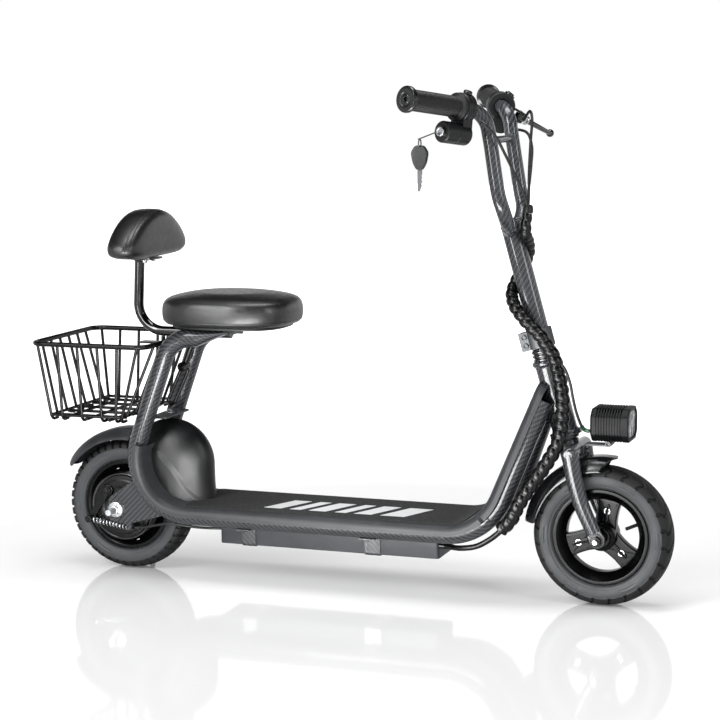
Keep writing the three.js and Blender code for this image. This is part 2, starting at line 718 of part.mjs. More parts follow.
// A U-shaped hanger round the battery box, with feet under the tubes.
function boxStrap(x, width) {
  const tubeBottom = SPINE.deckZ - TUBE.radius - GAP;
  const inside = BOX.halfWidth + GAP;
  const outside = inside + STRAP.thickness;
  const low = BOX.bottomZ - GAP;
  const shape = new THREE.Shape([
    [-TUBE.halfTrack - STRAP.foot / 2, tubeBottom],
    [-TUBE.halfTrack - STRAP.foot / 2, tubeBottom - STRAP.thickness],
    [-outside, tubeBottom - STRAP.thickness], [-outside, low - STRAP.thickness],
    [outside, low - STRAP.thickness], [outside, tubeBottom - STRAP.thickness],
    [TUBE.halfTrack + STRAP.foot / 2, tubeBottom - STRAP.thickness],
    [TUBE.halfTrack + STRAP.foot / 2, tubeBottom],
    [inside, tubeBottom], [inside, low], [-inside, low], [-inside, tubeBottom],
  ].map(([y, z]) => new THREE.Vector2(y, z)));
  const band = new THREE.ExtrudeGeometry(shape, { depth: width, bevelEnabled: false });
  band.rotateX(Math.PI / 2).rotateZ(Math.PI / 2);
  return band.translate(x - width / 2, 0, 0);
}

function buildDeck() {
  addMesh("deck_tray", deckTray(), PLASTIC);
  addMesh("grip_mat", gripMat(), MATTE);
  addMesh("inner_fender", innerFender(), GLOSS);
  addMesh("rear_mudguard", rearMudguard(), PLASTIC);
  addMesh("battery_box", batteryBox(), BOX_GREY);
  addMesh("battery_strap_rear", boxStrap(STRAP.rearX, STRAP.rearWidth), CARBON);
  addMesh("battery_strap_front", boxStrap(STRAP.frontX, STRAP.frontWidth), CARBON);
  const floor = BOX.bottomZ + BOX.wall + GAP;
  addMesh("battery_pack", boxBetween(
    vec(PACK.fromX, -PACK.halfWidth, floor),
    vec(PACK.toX, PACK.halfWidth, floor + PACK.height),
  ), MATTE);
  addMesh("motor_controller", boxBetween(
    vec(CONTROLLER.fromX, -CONTROLLER.halfWidth, floor),
    vec(CONTROLLER.toX, CONTROLLER.halfWidth, floor + CONTROLLER.height),
  ), ALLOY);
}

// Seat and backrest

const SEAT_BASE = SPINE.seatZ + TUBE.radius + GAP;

// An oblong ring with round ends: a share of the full outline, at a height.
function oblong(share, z, count) {
  const ring = [];
  for (let i = 0; i < count; i += 1) {
    const angle = i * 2 * Math.PI / count;
    const c = Math.cos(angle);
    const n = Math.sin(angle);
    const reach = (Math.abs(c) ** SEAT.round + Math.abs(n) ** SEAT.round) ** (-1 / SEAT.round);
    ring.push(vec(SEAT.x + share * SEAT.length / 2 * reach * c, share * SEAT.width / 2 * reach * n, z));
  }
  return ring;
}

function seatPan() {
  const share = 1 - 2 * SEAT.panInset / SEAT.width;
  return loft([oblong(share, SEAT_BASE, 20), oblong(share, SEAT_BASE + SEAT.panThick, 20)]);
}

// The seat's crown and drawn-in sides, as shares of its outline and of its height.
function seatCushion() {
  const shares = [
    [0.94, 0], [0.99, 0.14], [1, 0.38], [1, 0.6], [0.975, 0.8], [0.91, 0.92], [0.72, 0.985], [0.36, 1],
  ];
  const base = SEAT_BASE + SEAT.panThick + GAP;
  return loft(shares.map(([share, up]) => oblong(share, base + up * SEAT.height, 32)));
}

function backrestPost() {
  const z = SPINE.seatZ + TUBE.radius - BRIDGE.thickness - GAP - POST.radius;
  const top = BACKREST.bottomZ - GAP - POST.plate;
  const points = bentRoute([
    { at: vec(POST.frontX, 0, z) },
    { at: vec(POST.bendX, 0, z), bend: POST.bend },
    { at: vec(POST.bendX + POST.lean, 0, top + POST.plate / 2) },
  ]);
  const x = POST.bendX + POST.lean;
  const plate = boxBetween(
    vec(x - POST.plateBack, -POST.plateHalf, top),
    vec(x + POST.plateFront, POST.plateHalf, top + POST.plate),
  );
  const bolts = [-1, 1].map((side) => rod(
    vec(x + POST.plateFront / 2, side * (POST.plateHalf - 2 * POST.bolt), top - POST.bolt),
    vec(x + POST.plateFront / 2, side * (POST.plateHalf - 2 * POST.bolt), top + POST.plate / 2),
    POST.bolt,
    6,
  ));
  return joined([tube(points, POST.radius, 10), plate, ...bolts]);
}

// A share below the waist, squared at its corners, or above it, arched like a blunt triangle.
const MOON = { middle: 0.42, corner: 0.45, foot: 0.55, arch: 1.4 };

// The half-moon backrest: rings of its outline, drawn in towards the two faces.
function backrestCushion() {
  const shares = [
    [0.84, 0], [0.95, 0.1], [1, 0.35], [1, 0.6], [0.97, 0.79], [0.88, 0.92], [0.66, 0.985], [0.34, 1],
  ];
  const count = 32;
  const middle = BACKREST.height * MOON.middle;
  const rings = shares.map(([share, depth]) => {
    const ring = [];
    for (let i = 0; i < count; i += 1) {
      const angle = i * 2 * Math.PI / count;
      const c = Math.cos(angle);
      const n = Math.sin(angle);
      const reach = n < 0 ? Math.sign(c) * Math.abs(c) ** MOON.corner : c;
      const arch = (BACKREST.height - BACKREST.waist) * Math.max(n, 0) ** MOON.arch;
      const rise = n < 0 ? -BACKREST.waist * Math.abs(n) ** MOON.foot : arch;
      ring.push(vec(
        BACKREST.x + (depth - 0.5) * BACKREST.thickness,
        share * BACKREST.halfWidth * reach,
        BACKREST.bottomZ + middle + share * (BACKREST.waist + rise - middle),
      ));
    }
    return ring;
  });
  return loft(rings);
}

function buildSeat() {
  addMesh("seat_pan", seatPan(), MATTE);
  addMesh("seat_cushion", seatCushion(), LEATHER);
  addMesh("backrest_post", backrestPost(), GLOSS);
  addMesh("backrest_cushion", backrestCushion(), LEATHER);
}

// Basket

function shareOf(from, to, share) {
  return from + (to - from) * share;
}

// A long wall: rail with both corner bends, uprights and the wire along the floor's edge.
function basketSide(side) {
  const b = BASKET;
  const y = side * b.halfWidth;
  const turn = side * (b.halfWidth - b.corner);
  const rail = tube(bentRoute([
    { at: vec(b.rearX, turn, b.rimZ) },
    { at: vec(b.rearX, y, b.rimZ), bend: b.corner * 0.98 },
    { at: vec(b.frontX, y, b.rimZ), bend: b.corner * 0.98 },
    { at: vec(b.frontX, turn, b.rimZ) },
  ], 30), b.rimRadius, 6);
  const parts = [rail];
  for (let i = 0; i < b.sideWires; i += 1) {
    const share = (i + 0.35) / (b.sideWires - 0.3);
    const x = shareOf(b.rearX, b.frontX, share);
    const furthest = b.floorFrontX - (b.sideWires - 1 - i) * b.wireStep;
    const foot = THREE.MathUtils.clamp(x, b.floorRearX, furthest);
    parts.push(rod(vec(foot, side * b.floorHalf, b.floorZ), vec(x, y, b.rimZ), b.wire, 4));
  }
  const rear = vec(b.floorRearX, side * b.floorHalf, b.floorZ);
  parts.push(rod(rear, vec(b.floorFrontX, side * b.floorHalf, b.floorZ), b.wire, 4));
  return joined(parts);
}

// A short wall between the long ones, at the rear or at the front.
function basketEnd(topX, lowX) {
  const b = BASKET;
  const half = b.halfWidth - b.corner - GAP;
  const low = b.floorHalf - b.wire - GAP;
  const parts = [rod(vec(topX, -half, b.rimZ), vec(topX, half, b.rimZ), b.rimRadius, 6)];
  for (let i = 0; i < b.endWires; i += 1) {
    const share = (i + 0.5) / b.endWires * 2 - 1;
    parts.push(rod(vec(lowX, share * low, b.floorZ), vec(topX, share * half, b.rimZ), b.wire, 4));
  }
  parts.push(rod(vec(lowX, -low, b.floorZ), vec(lowX, low, b.floorZ), b.wire, 4));
  return joined(parts);
}

function basketFloor() {
  const b = BASKET;
  const half = b.floorHalf - b.wire - GAP;
  const fromX = b.floorRearX + b.wire + GAP;
  const toX = b.floorFrontX - b.wire - GAP;
  const parts = [];
  for (let i = 0; i < b.floorLong; i += 1) {
    const y = shareOf(-half, half, (i + 0.5) / b.floorLong);
    parts.push(rod(vec(fromX, y, b.floorZ), vec(toX, y, b.floorZ), b.wire, 4));
  }
  for (let i = 0; i < b.floorAcross; i += 1) {
    const x = shareOf(fromX, toX, (i + 0.5) / b.floorAcross);
    parts.push(rod(vec(x, -half, b.floorZ), vec(x, half, b.floorZ), b.wire, 4));
  }
  return joined(parts);
}

// The plate under the basket's front rail, with two pins up to the backrest post.
function basketRack() {
  const top = BASKET.rimZ - BASKET.rimRadius - GAP;
  const postBottom = SPINE.seatZ + TUBE.radius - BRIDGE.thickness - GAP - 2 * POST.radius - GAP;
  const toX = BASKET.frontX + RACK.overlap;
  const parts = [boxBetween(
    vec(RACK.fromX, -RACK.halfWidth, top - RACK.thickness),
    vec(toX, RACK.halfWidth, top),
  )];
  const firstPin = POST.bendX + POST.bend + RACK.pinInset;
  for (const x of [firstPin - 2 * RACK.pinRadius, BASKET.frontX - BASKET.rimRadius - 2 * RACK.pinRadius]) {
    parts.push(rod(vec(x, 0, top - RACK.thickness), vec(x, 0, postBottom), RACK.pinRadius, 12));
  }
  return joined(parts);
}

function buildBasket() {
  addMesh("basket_wall_right", basketSide(-1), GLOSS);
  addMesh("basket_wall_left", basketSide(1), GLOSS);
  addMesh("basket_wall_rear", basketEnd(BASKET.rearX, BASKET.floorRearX), GLOSS);
  addMesh("basket_wall_front", basketEnd(BASKET.frontX, BASKET.floorFrontX), GLOSS);
  addMesh("basket_floor", basketFloor(), GLOSS);
  addMesh("basket_rack", basketRack(), GLOSS);
}

// Wheels

function tyreProfile() {
  const bead = RIM.seat + GAP;
  const inLip = RIM.half - RIM.lipWall - GAP;
  const side = TYRE.halfWidth;
  const tread = TYRE.radius;
  const outer = [
    [bead, inLip], [RIM.lip + 2 * GAP, inLip], [shareOf(RIM.lip, tread, 0.3), side],
    [shareOf(RIM.lip, tread, 0.72), side * 0.93], [tread, TYRE.treadHalf],
  ];
  const inner = [
    [tread - TYRE.wall, TYRE.treadHalf * 0.9], [shareOf(RIM.lip, tread, 0.4), side - TYRE.wall],
    [bead, inLip - TYRE.beadHeight],
  ];
  return [
    outer[0], ...inner.slice().reverse(), ...inner.map(([r, y]) => [r, -y]),
    ...outer.map(([r, y]) => [r, -y]), ...outer.slice().reverse(),
  ];
}

function rimProfile(innerEdge) {
  const lip = RIM.half - RIM.lipWall;
  const seat = RIM.seat;
  return [
    [RIM.lip, -RIM.half], [RIM.lip, -lip], [seat, -lip], [seat, -RIM.wellHalf - RIM.wall],
    [RIM.well, -RIM.wellHalf], [RIM.well, RIM.wellHalf], [seat, RIM.wellHalf + RIM.wall], [seat, lip],
    [RIM.lip, lip], [RIM.lip, RIM.half], [seat - RIM.wall, RIM.half], ...innerEdge, [seat - RIM.wall, -RIM.half],
    [RIM.lip, -RIM.half],
  ];
}

function rearRim() {
  const inside = MOTOR.radius + GAP;
  const face = RIM.wellHalf + RIM.wall * 2;
  const ring = turnedY(rimProfile([[inside, face], [inside, -face]]), REAR.x, REAR.z, WHEEL_SIDES);
  const bolts = [];
  for (let i = 0; i < REAR_BOLTS.count; i += 1) {
    const angle = deg(REAR_BOLTS.startDeg) + i * 2 * Math.PI / REAR_BOLTS.count;
    const x = REAR.x + REAR_BOLTS.at * Math.cos(angle);
    const z = REAR.z + REAR_BOLTS.at * Math.sin(angle);
    bolts.push(rod(vec(x, -face + RIM.wall, z), vec(x, -face - REAR_BOLTS.height, z), REAR_BOLTS.radius, 6));
  }
  return joined([ring, ...bolts]);
}

// The motor's shell turns round the stator; its right side is the brake drum.
function hubMotor() {
  const m = MOTOR;
  const bore = AXLE.radius + GAP;
  const inner = m.radius - m.wall;
  const floor = -m.rightY + m.drumDepth;
  return turnedY([
    [bore, m.leftY], [bore, m.leftY - m.wall], [m.shoulder, m.leftY - m.wall], [inner, m.leftY - 3 * m.wall],
    [inner, floor + m.wall], [bore, floor + m.wall], [bore, floor], [inner, floor], [inner, -m.rightY],
    [m.radius, -m.rightY], [m.radius, m.leftY - 2 * m.wall], [m.shoulder, m.leftY], [bore, m.leftY],
  ], REAR.x, REAR.z, WHEEL_SIDES);
}

function motorStator() {
  const from = -MOTOR.rightY + MOTOR.drumDepth + MOTOR.wall + MOTOR.wall;
  const to = MOTOR.leftY - 4 * MOTOR.wall;
  const bore = AXLE.radius + GAP;
  return turnedY([
    [bore, from], [MOTOR.stator, from], [MOTOR.stator, to], [bore, to], [bore, from],
  ], REAR.x, REAR.z, 24);
}

function brakeBackplate() {
  const bore = AXLE.radius + GAP;
  const edge = MOTOR.radius - MOTOR.wall - 2 * GAP;
  const out = -MOTOR.rightY - DRUM.plateThick + GAP;
  const face = out + DRUM.plateThick;
  const plate = turnedY([
    [bore, out], [edge, out], [edge, face], [bore, face], [bore, out],
  ], REAR.x, REAR.z, WHEEL_SIDES);
  const shoes = turnedY([
    [DRUM.shoeInner, face - GAP], [DRUM.shoeOuter, face - GAP], [DRUM.shoeOuter, face + DRUM.shoeDepth],
    [DRUM.shoeInner, face + DRUM.shoeDepth], [DRUM.shoeInner, face - GAP],
  ], REAR.x, REAR.z, WHEEL_SIDES);
  const slot = boxBetween(
    vec(REAR.x - DRUM.slot, face, REAR.z - MOTOR.radius),
    vec(REAR.x + DRUM.slot, face + 2 * DRUM.shoeDepth, REAR.z + MOTOR.radius),
  );
  return joined([plate, surface(solid(shoes).subtract(solid(slot)))]);
}

function spoke(angle) {
  const shape = new THREE.Shape([
    new THREE.Vector2(0, -SPOKED.rootHalf), new THREE.Vector2(RIM.well - RIM.wall, -SPOKED.spokeHalf),
    new THREE.Vector2(RIM.well - RIM.wall, SPOKED.spokeHalf), new THREE.Vector2(0, SPOKED.rootHalf),
  ]);
  const arm = new THREE.ExtrudeGeometry(shape, { depth: 2 * SPOKED.webHalf, bevelEnabled: false });
  arm.translate(0, 0, -SPOKED.webHalf).rotateX(Math.PI / 2).rotateY(-angle);
  return arm.translate(FRONT.x, 0, FRONT.z);
}

function frontRim() {
  const deep = RIM.wellHalf - RIM.wall;
  const inside = RIM.well - 2 * RIM.wall;
  const bore = FRONT_AXLE.radius + GAP;
  const parts = [turnedY(rimProfile([[inside, deep], [inside, -deep]]), FRONT.x, FRONT.z, WHEEL_SIDES)];
  parts.push(rod(vec(FRONT.x, -SPOKED.hubHalf, FRONT.z), vec(FRONT.x, SPOKED.hubHalf, FRONT.z), SPOKED.hub, 16));
  for (let i = 0; i < SPOKED.spokes; i += 1) {
    const angle = deg(SPOKED.startDeg) + i * 2 * Math.PI / SPOKED.spokes;
    const x = FRONT.x + SPOKED.boltAt * Math.cos(angle);
    const z = FRONT.z + SPOKED.boltAt * Math.sin(angle);
    const out = SPOKED.webHalf + SPOKED.boltHeight;
    parts.push(spoke(angle), rod(vec(x, -out, z), vec(x, 0, z), SPOKED.bolt, 6));
  }
  const through = 2 * SPOKED.hubHalf;
  const hole = rod(vec(FRONT.x, -through, FRONT.z), vec(FRONT.x, through, FRONT.z), bore, 20);
  return joined(parts, [hole]);
}

function hexNut(from, to, side, washerTo, radius, washerRadius, bore, place) {
  const parts = [rod(vec(place.x, side * washerTo, place.z), vec(place.x, side * to, place.z), radius, 6)];
  if (washerRadius > 0) {
    const washerEnd = vec(place.x, side * (washerTo + GAP), place.z);
    parts.push(rod(vec(place.x, side * from, place.z), washerEnd, washerRadius, 16));
  }
  const hole = rod(vec(place.x, side * (from - CUT), place.z), vec(place.x, side * (to + CUT), place.z), bore, 12);
  return joined(parts, bore > 0 ? [hole] : []);
}

// The rear axle bolt: its left end has a fixed hexagon, its right end takes the nut.
function rearAxle() {
  const face = DROPOUT.y + DROPOUT.thickness / 2 + GAP;
  const shaft = rod(vec(REAR.x, -AXLE.halfLength, REAR.z), vec(REAR.x, AXLE.halfLength, REAR.z), AXLE.radius, 12);
  const head = hexNut(face, face + AXLE.washer + AXLE.nutHeight, 1, face + AXLE.washer, AXLE.nutRadius,
    AXLE.washerRadius, 0, REAR);
  return joined([shaft, head]);
}

function axleNut() {
  const face = DROPOUT.y + DROPOUT.thickness / 2 + GAP;
  return hexNut(face, face + AXLE.washer + AXLE.nutHeight, -1, face + AXLE.washer, AXLE.nutRadius,
    AXLE.washerRadius, AXLE.radius + GAP, REAR);
}

function brakeArm() {
  const y = -ARM.y + ARM.barrel;
  const pivot = vec(ARM.pivotX, 0, ARM.pivotZ);
  const end = vec(ARM.endX, 0, ARM.endZ);
  const length = pivot.distanceTo(end);
  const shape = new THREE.Shape();
  shape.absarc(0, 0, ARM.width * 1.3, Math.PI / 2, 1.5 * Math.PI, false);
  shape.lineTo(length, -ARM.width);
  shape.absarc(length, 0, ARM.width, -Math.PI / 2, Math.PI / 2, false);
  shape.lineTo(0, ARM.width * 1.3);
  const bar = new THREE.ExtrudeGeometry(shape, { depth: ARM.thickness, bevelEnabled: false, curveSegments: 4 });
  const lean = Math.atan2(end.z - pivot.z, end.x - pivot.x);
  bar.rotateX(Math.PI / 2).rotateY(-lean).translate(pivot.x, y + ARM.thickness, pivot.z);
  const cam = rod(
    vec(pivot.x, y - ARM.thickness / 2, pivot.z),
    vec(pivot.x, -MOTOR.rightY - DRUM.plateThick, pivot.z),
    ARM.cam,
    10,
  );
  const barrel = rod(
    vec(end.x, -ARM.y - ARM.barrel, end.z),
    vec(end.x, y + ARM.thickness / 2, end.z),
    ARM.barrel,
    10,
  );
  return joined([bar, cam, barrel]);
}

// The return spring between the arm's barrel and the cable stop: one unbroken helix.
function brakeSpring() {
  const from = vec(ARM.endX, -ARM.y, ARM.endZ);
  const to = vec(STOP.x, -ARM.y, STOP.z);
  const along = to.clone().sub(from).normalize();
  from.addScaledVector(along, ARM.barrel + SPRING.wire + GAP);
  to.addScaledVector(along, -SPRING.wire - 2 * GAP);
  const u = vec(0, 1, 0);
  const v = along.clone().cross(u);
  const steps = SPRING.curls * SPRING.steps;
  const points = [];
  for (let i = 0; i <= steps; i += 1) {
    const angle = i * 2 * Math.PI / SPRING.steps;
    points.push(from.clone().lerp(to, i / steps)
      .addScaledVector(u, SPRING.radius * Math.cos(angle))
      .addScaledVector(v, SPRING.radius * Math.sin(angle)));
  }
  const least = leastGap(points, SPRING.wire, SPRING.steps);
  console.log("least gap of the brake spring to itself:", least.toFixed(2), "mm");
  return tube(points, SPRING.wire, SPRING.sides);
}

// The least distance between the surfaces of stretches at least half a turn apart.
function leastGap(points, radius, turn) {
  let least = Infinity;
  for (let i = 0; i < points.length; i += 1) {
    for (let k = i + Math.ceil(turn / 2); k < points.length; k += 1) {
      least = Math.min(least, points[i].distanceTo(points[k]));
    }
  }
  return least - 2 * radius;
}

function kickstand() {
  const from = DROPOUT.y + DROPOUT.thickness / 2 + STAND.bossOut + GAP;
  const eye = turnedY([
    [STAND.pin + GAP, from], [STAND.eye, from], [STAND.eye, from + STAND.eyeWidth],
    [STAND.pin + GAP, from + STAND.eyeWidth], [STAND.pin + GAP, from],
  ], STAND.x, STAND.z, 16);
  const mid = from + STAND.eyeWidth / 2;
  const foot = vec(STAND.footX, STAND.footY, STAND.footHeight / 2);
  const start = vec(STAND.x, mid, STAND.z);
  start.addScaledVector(foot.clone().sub(start).normalize(), STAND.eye - CUT);
  const leg = rod(start, foot, STAND.leg, 10);
  const pad = rod(vec(foot.x, foot.y, 0), vec(foot.x, foot.y, STAND.footHeight), STAND.footRadius, 12);
  const under = boxBetween(
    vec(foot.x - STAND.eyeWidth * 2, foot.y - STAND.eyeWidth * 2, -STAND.eyeWidth),
    vec(foot.x + STAND.eyeWidth * 2, foot.y + STAND.eyeWidth * 2, 0),
  );
  return joined([eye, leg, pad], [under]);
}

// Route of the brake and motor cable from its stop to the battery box, right to left.
const REAR_CABLE = [
  [33, -62, 91], [52, -63, 93], [80, -66, 100], [112, -70, 106], [148, -64, 102], [178, -42, 96], [194, -34, 95],
  [205.6, -33, 95],
];

function buildRear() {
  addMesh("rear_tyre", turnedY(tyreProfile(), REAR.x, REAR.z, WHEEL_SIDES), RUBBER);
  addMesh("rear_rim", rearRim(), GLOSS);
  addMesh("hub_motor", hubMotor(), GLOSS);
  addMesh("motor_stator", motorStator(), COPPER);
  addMesh("brake_backplate", brakeBackplate(), ALLOY);
  addMesh("rear_axle", rearAxle(), STEEL);
  addMesh("rear_axle_nut", axleNut(), STEEL);
  addMesh("brake_arm", brakeArm(), STEEL);
  addMesh("brake_spring", brakeSpring(), STEEL);
  addMesh("kickstand", kickstand(), GLOSS);
  const route = REAR_CABLE.map(([x, y, z]) => vec(x, y, z));
  addMesh("rear_cable", tube(smoothRoute(route, 16), CABLE.radius, 6), RUBBER);
}

// Front wheel and fork

function frontAxle() {
  const out = FORK.tipY + FORK.tipThick + GAP;
  const parts = [rod(
    vec(FRONT.x, -FRONT_AXLE.halfLength, FRONT.z),
    vec(FRONT.x, FRONT_AXLE.halfLength, FRONT.z),
    FRONT_AXLE.radius,
    12,
  )];
  for (const side of [-1, 1]) {
    parts.push(rod(
      vec(FRONT.x, side * out, FRONT.z),
      vec(FRONT.x, side * (out + FRONT_AXLE.nutHeight), FRONT.z),
      FRONT_AXLE.nutRadius,
      6,
    ));
    parts.push(rod(
      vec(FRONT.x, side * (SPOKED.hubHalf + GAP), FRONT.z),
      vec(FRONT.x, side * (FORK.tipY - GAP), FRONT.z),
      FRONT_AXLE.spacer,
      12,
    ));
  }
  return joined(parts);
}

function forkLeg(side) {
  const points = FORK_ROUTE.map(({ t, s }) => steered(t, side * FORK.legY, s));
  return tube(smoothRoute(points, 5), FORK.legRadius, 8);
}

// A flat tip below each leg, round the axle.
function forkTip(side) {
  const low = FORK_ROUTE[FORK_ROUTE.length - 1];
  const foot = steered(low.t, 0, low.s);
  const angle = Math.atan2(foot.z - FRONT.z, foot.x - FRONT.x);
  const reach = Math.hypot(foot.z - FRONT.z, foot.x - FRONT.x) + FORK.tipRadius;
  const shape = new THREE.Shape();
  shape.absarc(0, 0, FORK.tipRadius, Math.PI / 2, 1.5 * Math.PI, false);
  shape.lineTo(reach, -FORK.tipRadius);
  shape.lineTo(reach, FORK.tipRadius);
  const plate = new THREE.ExtrudeGeometry(shape, { depth: FORK.tipThick, bevelEnabled: false, curveSegments: 4 });
  plate.rotateX(Math.PI / 2).rotateY(-angle);
  const y = side > 0 ? FORK.tipY + FORK.tipThick : -FORK.tipY;
  return plate.translate(FRONT.x, y, FRONT.z);
}

function forkBody() {
  const top = FORK_ROUTE[0];
  const low = -HEAD.cupHeight - GAP;
  const race = turnedS([
    [0, top.s - FORK.crownRadius], [FORK.raceRadius, top.s - FORK.crownRadius],
    [FORK.raceRadius, low - FORK.raceRib * 3], [FORK.raceRadius - FORK.raceRib, low - FORK.raceRib * 3],
    [FORK.raceRadius - FORK.raceRib, low - FORK.raceRib * 2],
    [FORK.raceRadius + FORK.raceRib, low - FORK.raceRib * 2], [FORK.raceRadius + FORK.raceRib, low],
    [FORK.steerer, low], [FORK.steerer, FORK.steererTop], [0, FORK.steererTop],
  ], HEAD_SIDES);
  const crown = rod(steered(top.t, -FORK.legY, top.s), steered(top.t, FORK.legY, top.s), FORK.crownRadius, 12);
  const hole = rod(
    vec(FRONT.x, -FRONT_AXLE.halfLength, FRONT.z),
    vec(FRONT.x, FRONT_AXLE.halfLength, FRONT.z),
    FRONT_AXLE.radius + GAP,
    12,
  );
  const inside = FORK.tipRadius * 2;
  const hubSpace = rod(vec(FRONT.x, -FORK.tipY, FRONT.z), vec(FRONT.x, FORK.tipY, FRONT.z), inside, 16);
  const legs = [-1, 1].map((side) => {
    const nutSpace = rod(
      vec(FRONT.x, side * (FORK.tipY + FORK.tipThick), FRONT.z),
      vec(FRONT.x, side * FRONT_AXLE.halfLength, FRONT.z),
      FORK.tipRadius,
      14,
    );
    return surface(solid(forkLeg(side)).subtract(solid(nutSpace)));
  });
  return joined([race, crown, ...legs, forkTip(-1), forkTip(1)], [hole, hubSpace]);
}

function frontMudguard() {
  const top = FORK_ROUTE[0];
  const crown = rod(
    steered(top.t, -FORK.legY, top.s),
    steered(top.t, FORK.legY, top.s),
    FORK.crownRadius + GAP,
    14,
  );
  const middle = steered(top.t, 0, top.s);
  const toAxle = vec(FRONT.x, 0, FRONT.z).sub(middle).normalize();
  const reach = Math.hypot(FRONT.x - middle.x, FRONT.z - middle.z) - FRONT_GUARD.radius + FRONT_GUARD.wall;
  const boss = rod(middle, middle.clone().addScaledVector(toAxle, reach), FRONT_GUARD.boss, 10);
  const race = turnedS([
    [0, top.s - FORK.crownRadius - GAP], [FORK.raceRadius + GAP, top.s - FORK.crownRadius - GAP],
    [FORK.raceRadius + GAP, 0], [0, 0],
  ], HEAD_SIDES);
  return joined([guard(FRONT_GUARD, FRONT, 9), boss], [crown, race]);
}

// Stem and handlebar

function headsetCover() {
  const low = HEAD.length + HEAD.cupHeight + GAP;
  const profile = [[FORK.steerer + GAP, low]];
  const rib = COLLAR.length / (2 * COLLAR.ribs);
  for (let i = 0; i < COLLAR.ribs; i += 1) {
    const s = low + 2 * i * rib;
    profile.push([COLLAR.radius + COLLAR.rib, s], [COLLAR.radius + COLLAR.rib, s + rib]);
    profile.push([COLLAR.radius, s + rib], [COLLAR.radius, s + 2 * rib]);
  }
  profile.push([FORK.steerer + GAP, low + COLLAR.length], profile[0]);
  return turnedS(profile, HEAD_SIDES);
}

const STEM_FOOT = HEAD.length + HEAD.cupHeight + COLLAR.length + 3 * GAP;

function stemTube() {
  return turnedS([
    [STEM.bore, STEM_FOOT], [STEM.radius, STEM_FOOT], [STEM.radius, STEM.top], [0, STEM.top],
    [0, STEM.top - STEM.radius], [STEM.bore, STEM.top - STEM.radius], [STEM.bore, STEM_FOOT],
  ], HEAD_SIDES);
}

// A split clamp round the foot of the stem, with two bolts through its ears.
function stemClamp() {
  const c = CLAMP;
  const low = STEM_FOOT + GAP;
  const inner = STEM.radius + GAP;
  const ring = turnedS([
    [inner, low], [inner + c.wall, low], [inner + c.wall, low + c.length], [inner, low + c.length], [inner, low],
  ], HEAD_SIDES);
  const high = low + c.length;
  const ears = toSteering(boxBetween(vec(-c.earDepth, -c.earHalf, low), vec(-inner, c.earHalf, high)));
  const slit = toSteering(boxBetween(
    vec(-c.earDepth - CUT, -c.slit / 2, low - CUT),
    vec(-inner + CUT, c.slit / 2, low + c.length + CUT),
  ));
  const core = toSteering(rod(vec(0, 0, low - CUT), vec(0, 0, low + c.length + CUT), inner, HEAD_SIDES));
  const body = surface(solid(joined([ring, ears], [slit])).subtract(solid(core)));
  const bolts = [];
  for (const s of [low + c.inset, low + c.length - c.inset]) {
    const t = -(inner + c.wall + c.earDepth) / 2;
    bolts.push(toSteering(rod(vec(t, -c.earHalf + CUT, s), vec(t, c.earHalf - CUT, s), c.bolt, 8)));
    bolts.push(toSteering(rod(vec(t, -c.earHalf - c.headHeight, s), vec(t, -c.earHalf + CUT, s), c.head, 6)));
  }
  return joined([body, ...bolts]);
}

function gripLine(side) {
  const from = steered(GRIP_START.t, side * GRIP_START.y, GRIP_START.s);
  const to = steered(GRIP_END.t, side * GRIP_END.y, GRIP_END.s);
  return { from, to, along: to.clone().sub(from).normalize(), length: from.distanceTo(to) };
}

function handlebar() {
  const parts = [-1, 1].map((side) => {
    const line = gripLine(side);
    const route = BAR_ROUTE.map(({ t, y, s }) => steered(t, side * y, s));
    const bend = smoothRoute([...route, line.from], 10);
    const end = line.to.clone().addScaledVector(line.along, -GRIP.end - GAP);
    return tube([...bend, end], BAR.radius, BAR.sides);
  });
  const { t, y, s } = BAR.cross;
  parts.push(rod(steered(t, -y, s), steered(t, y, s), BAR.crossRadius, 8));
  const stem = rod(steered(0, 0, 0), steered(0, 0, STEM.top + GAP), STEM.radius + GAP, HEAD_SIDES);
  return joined(parts, [stem]);
}

// Puts a piece turned about +Y (its foot at 0) on the grip's line, a distance out from its start.
function onGrip(geometry, side, out) {
  const line = gripLine(side);
  geometry.applyQuaternion(new THREE.Quaternion().setFromUnitVectors(vec(0, 1, 0), line.along));
  const place = line.from.clone().addScaledVector(line.along, out);
  return geometry.translate(place.x, place.y, place.z);
}

function gripSleeve(side) {
  const length = gripLine(side).length - GRIP.from;
  const bore = BAR.radius + GRIP.clear;
  const profile = [
    [bore, 0], [GRIP.flange, 0], [GRIP.flange, GRIP.flangeWidth], [GRIP.radius, GRIP.flangeWidth * 1.6],
    [GRIP.radius, length - GRIP.capLength], [GRIP.cap, length - GRIP.capLength], [GRIP.cap, length],
    [GRIP.hole, length], [GRIP.hole, length - GRIP.end], [bore, length - GRIP.end], [bore, 0],
  ];
  const points = profile.map(([radius, y]) => new THREE.Vector2(radius, y));
  return onGrip(new THREE.LatheGeometry(points, 14), side, GRIP.from);
}

// The unit directions at a grip: outward along it, ahead of it, and down from it.
function gripFrame(side) {
  const { from, along, length } = gripLine(side);
  const down = vec(0, 0, -1).addScaledVector(along, along.z).normalize();
  const ahead = along.clone().cross(down).multiplyScalar(-side).normalize();
  return { from, along, length, down, ahead };
}

function gripPlace(frame, out, ahead, down) {
  return frame.from.clone()
    .addScaledVector(frame.along, out)
    .addScaledVector(frame.ahead, ahead)
    .addScaledVector(frame.down, down);
}

// The bore of a housing round the bar.
function barSpace(f) {
  return rod(gripPlace(f, 0, 0, 0), gripPlace(f, GRIP.from, 0, 0), BAR.radius + 2 * GRIP.clear, 12);
}

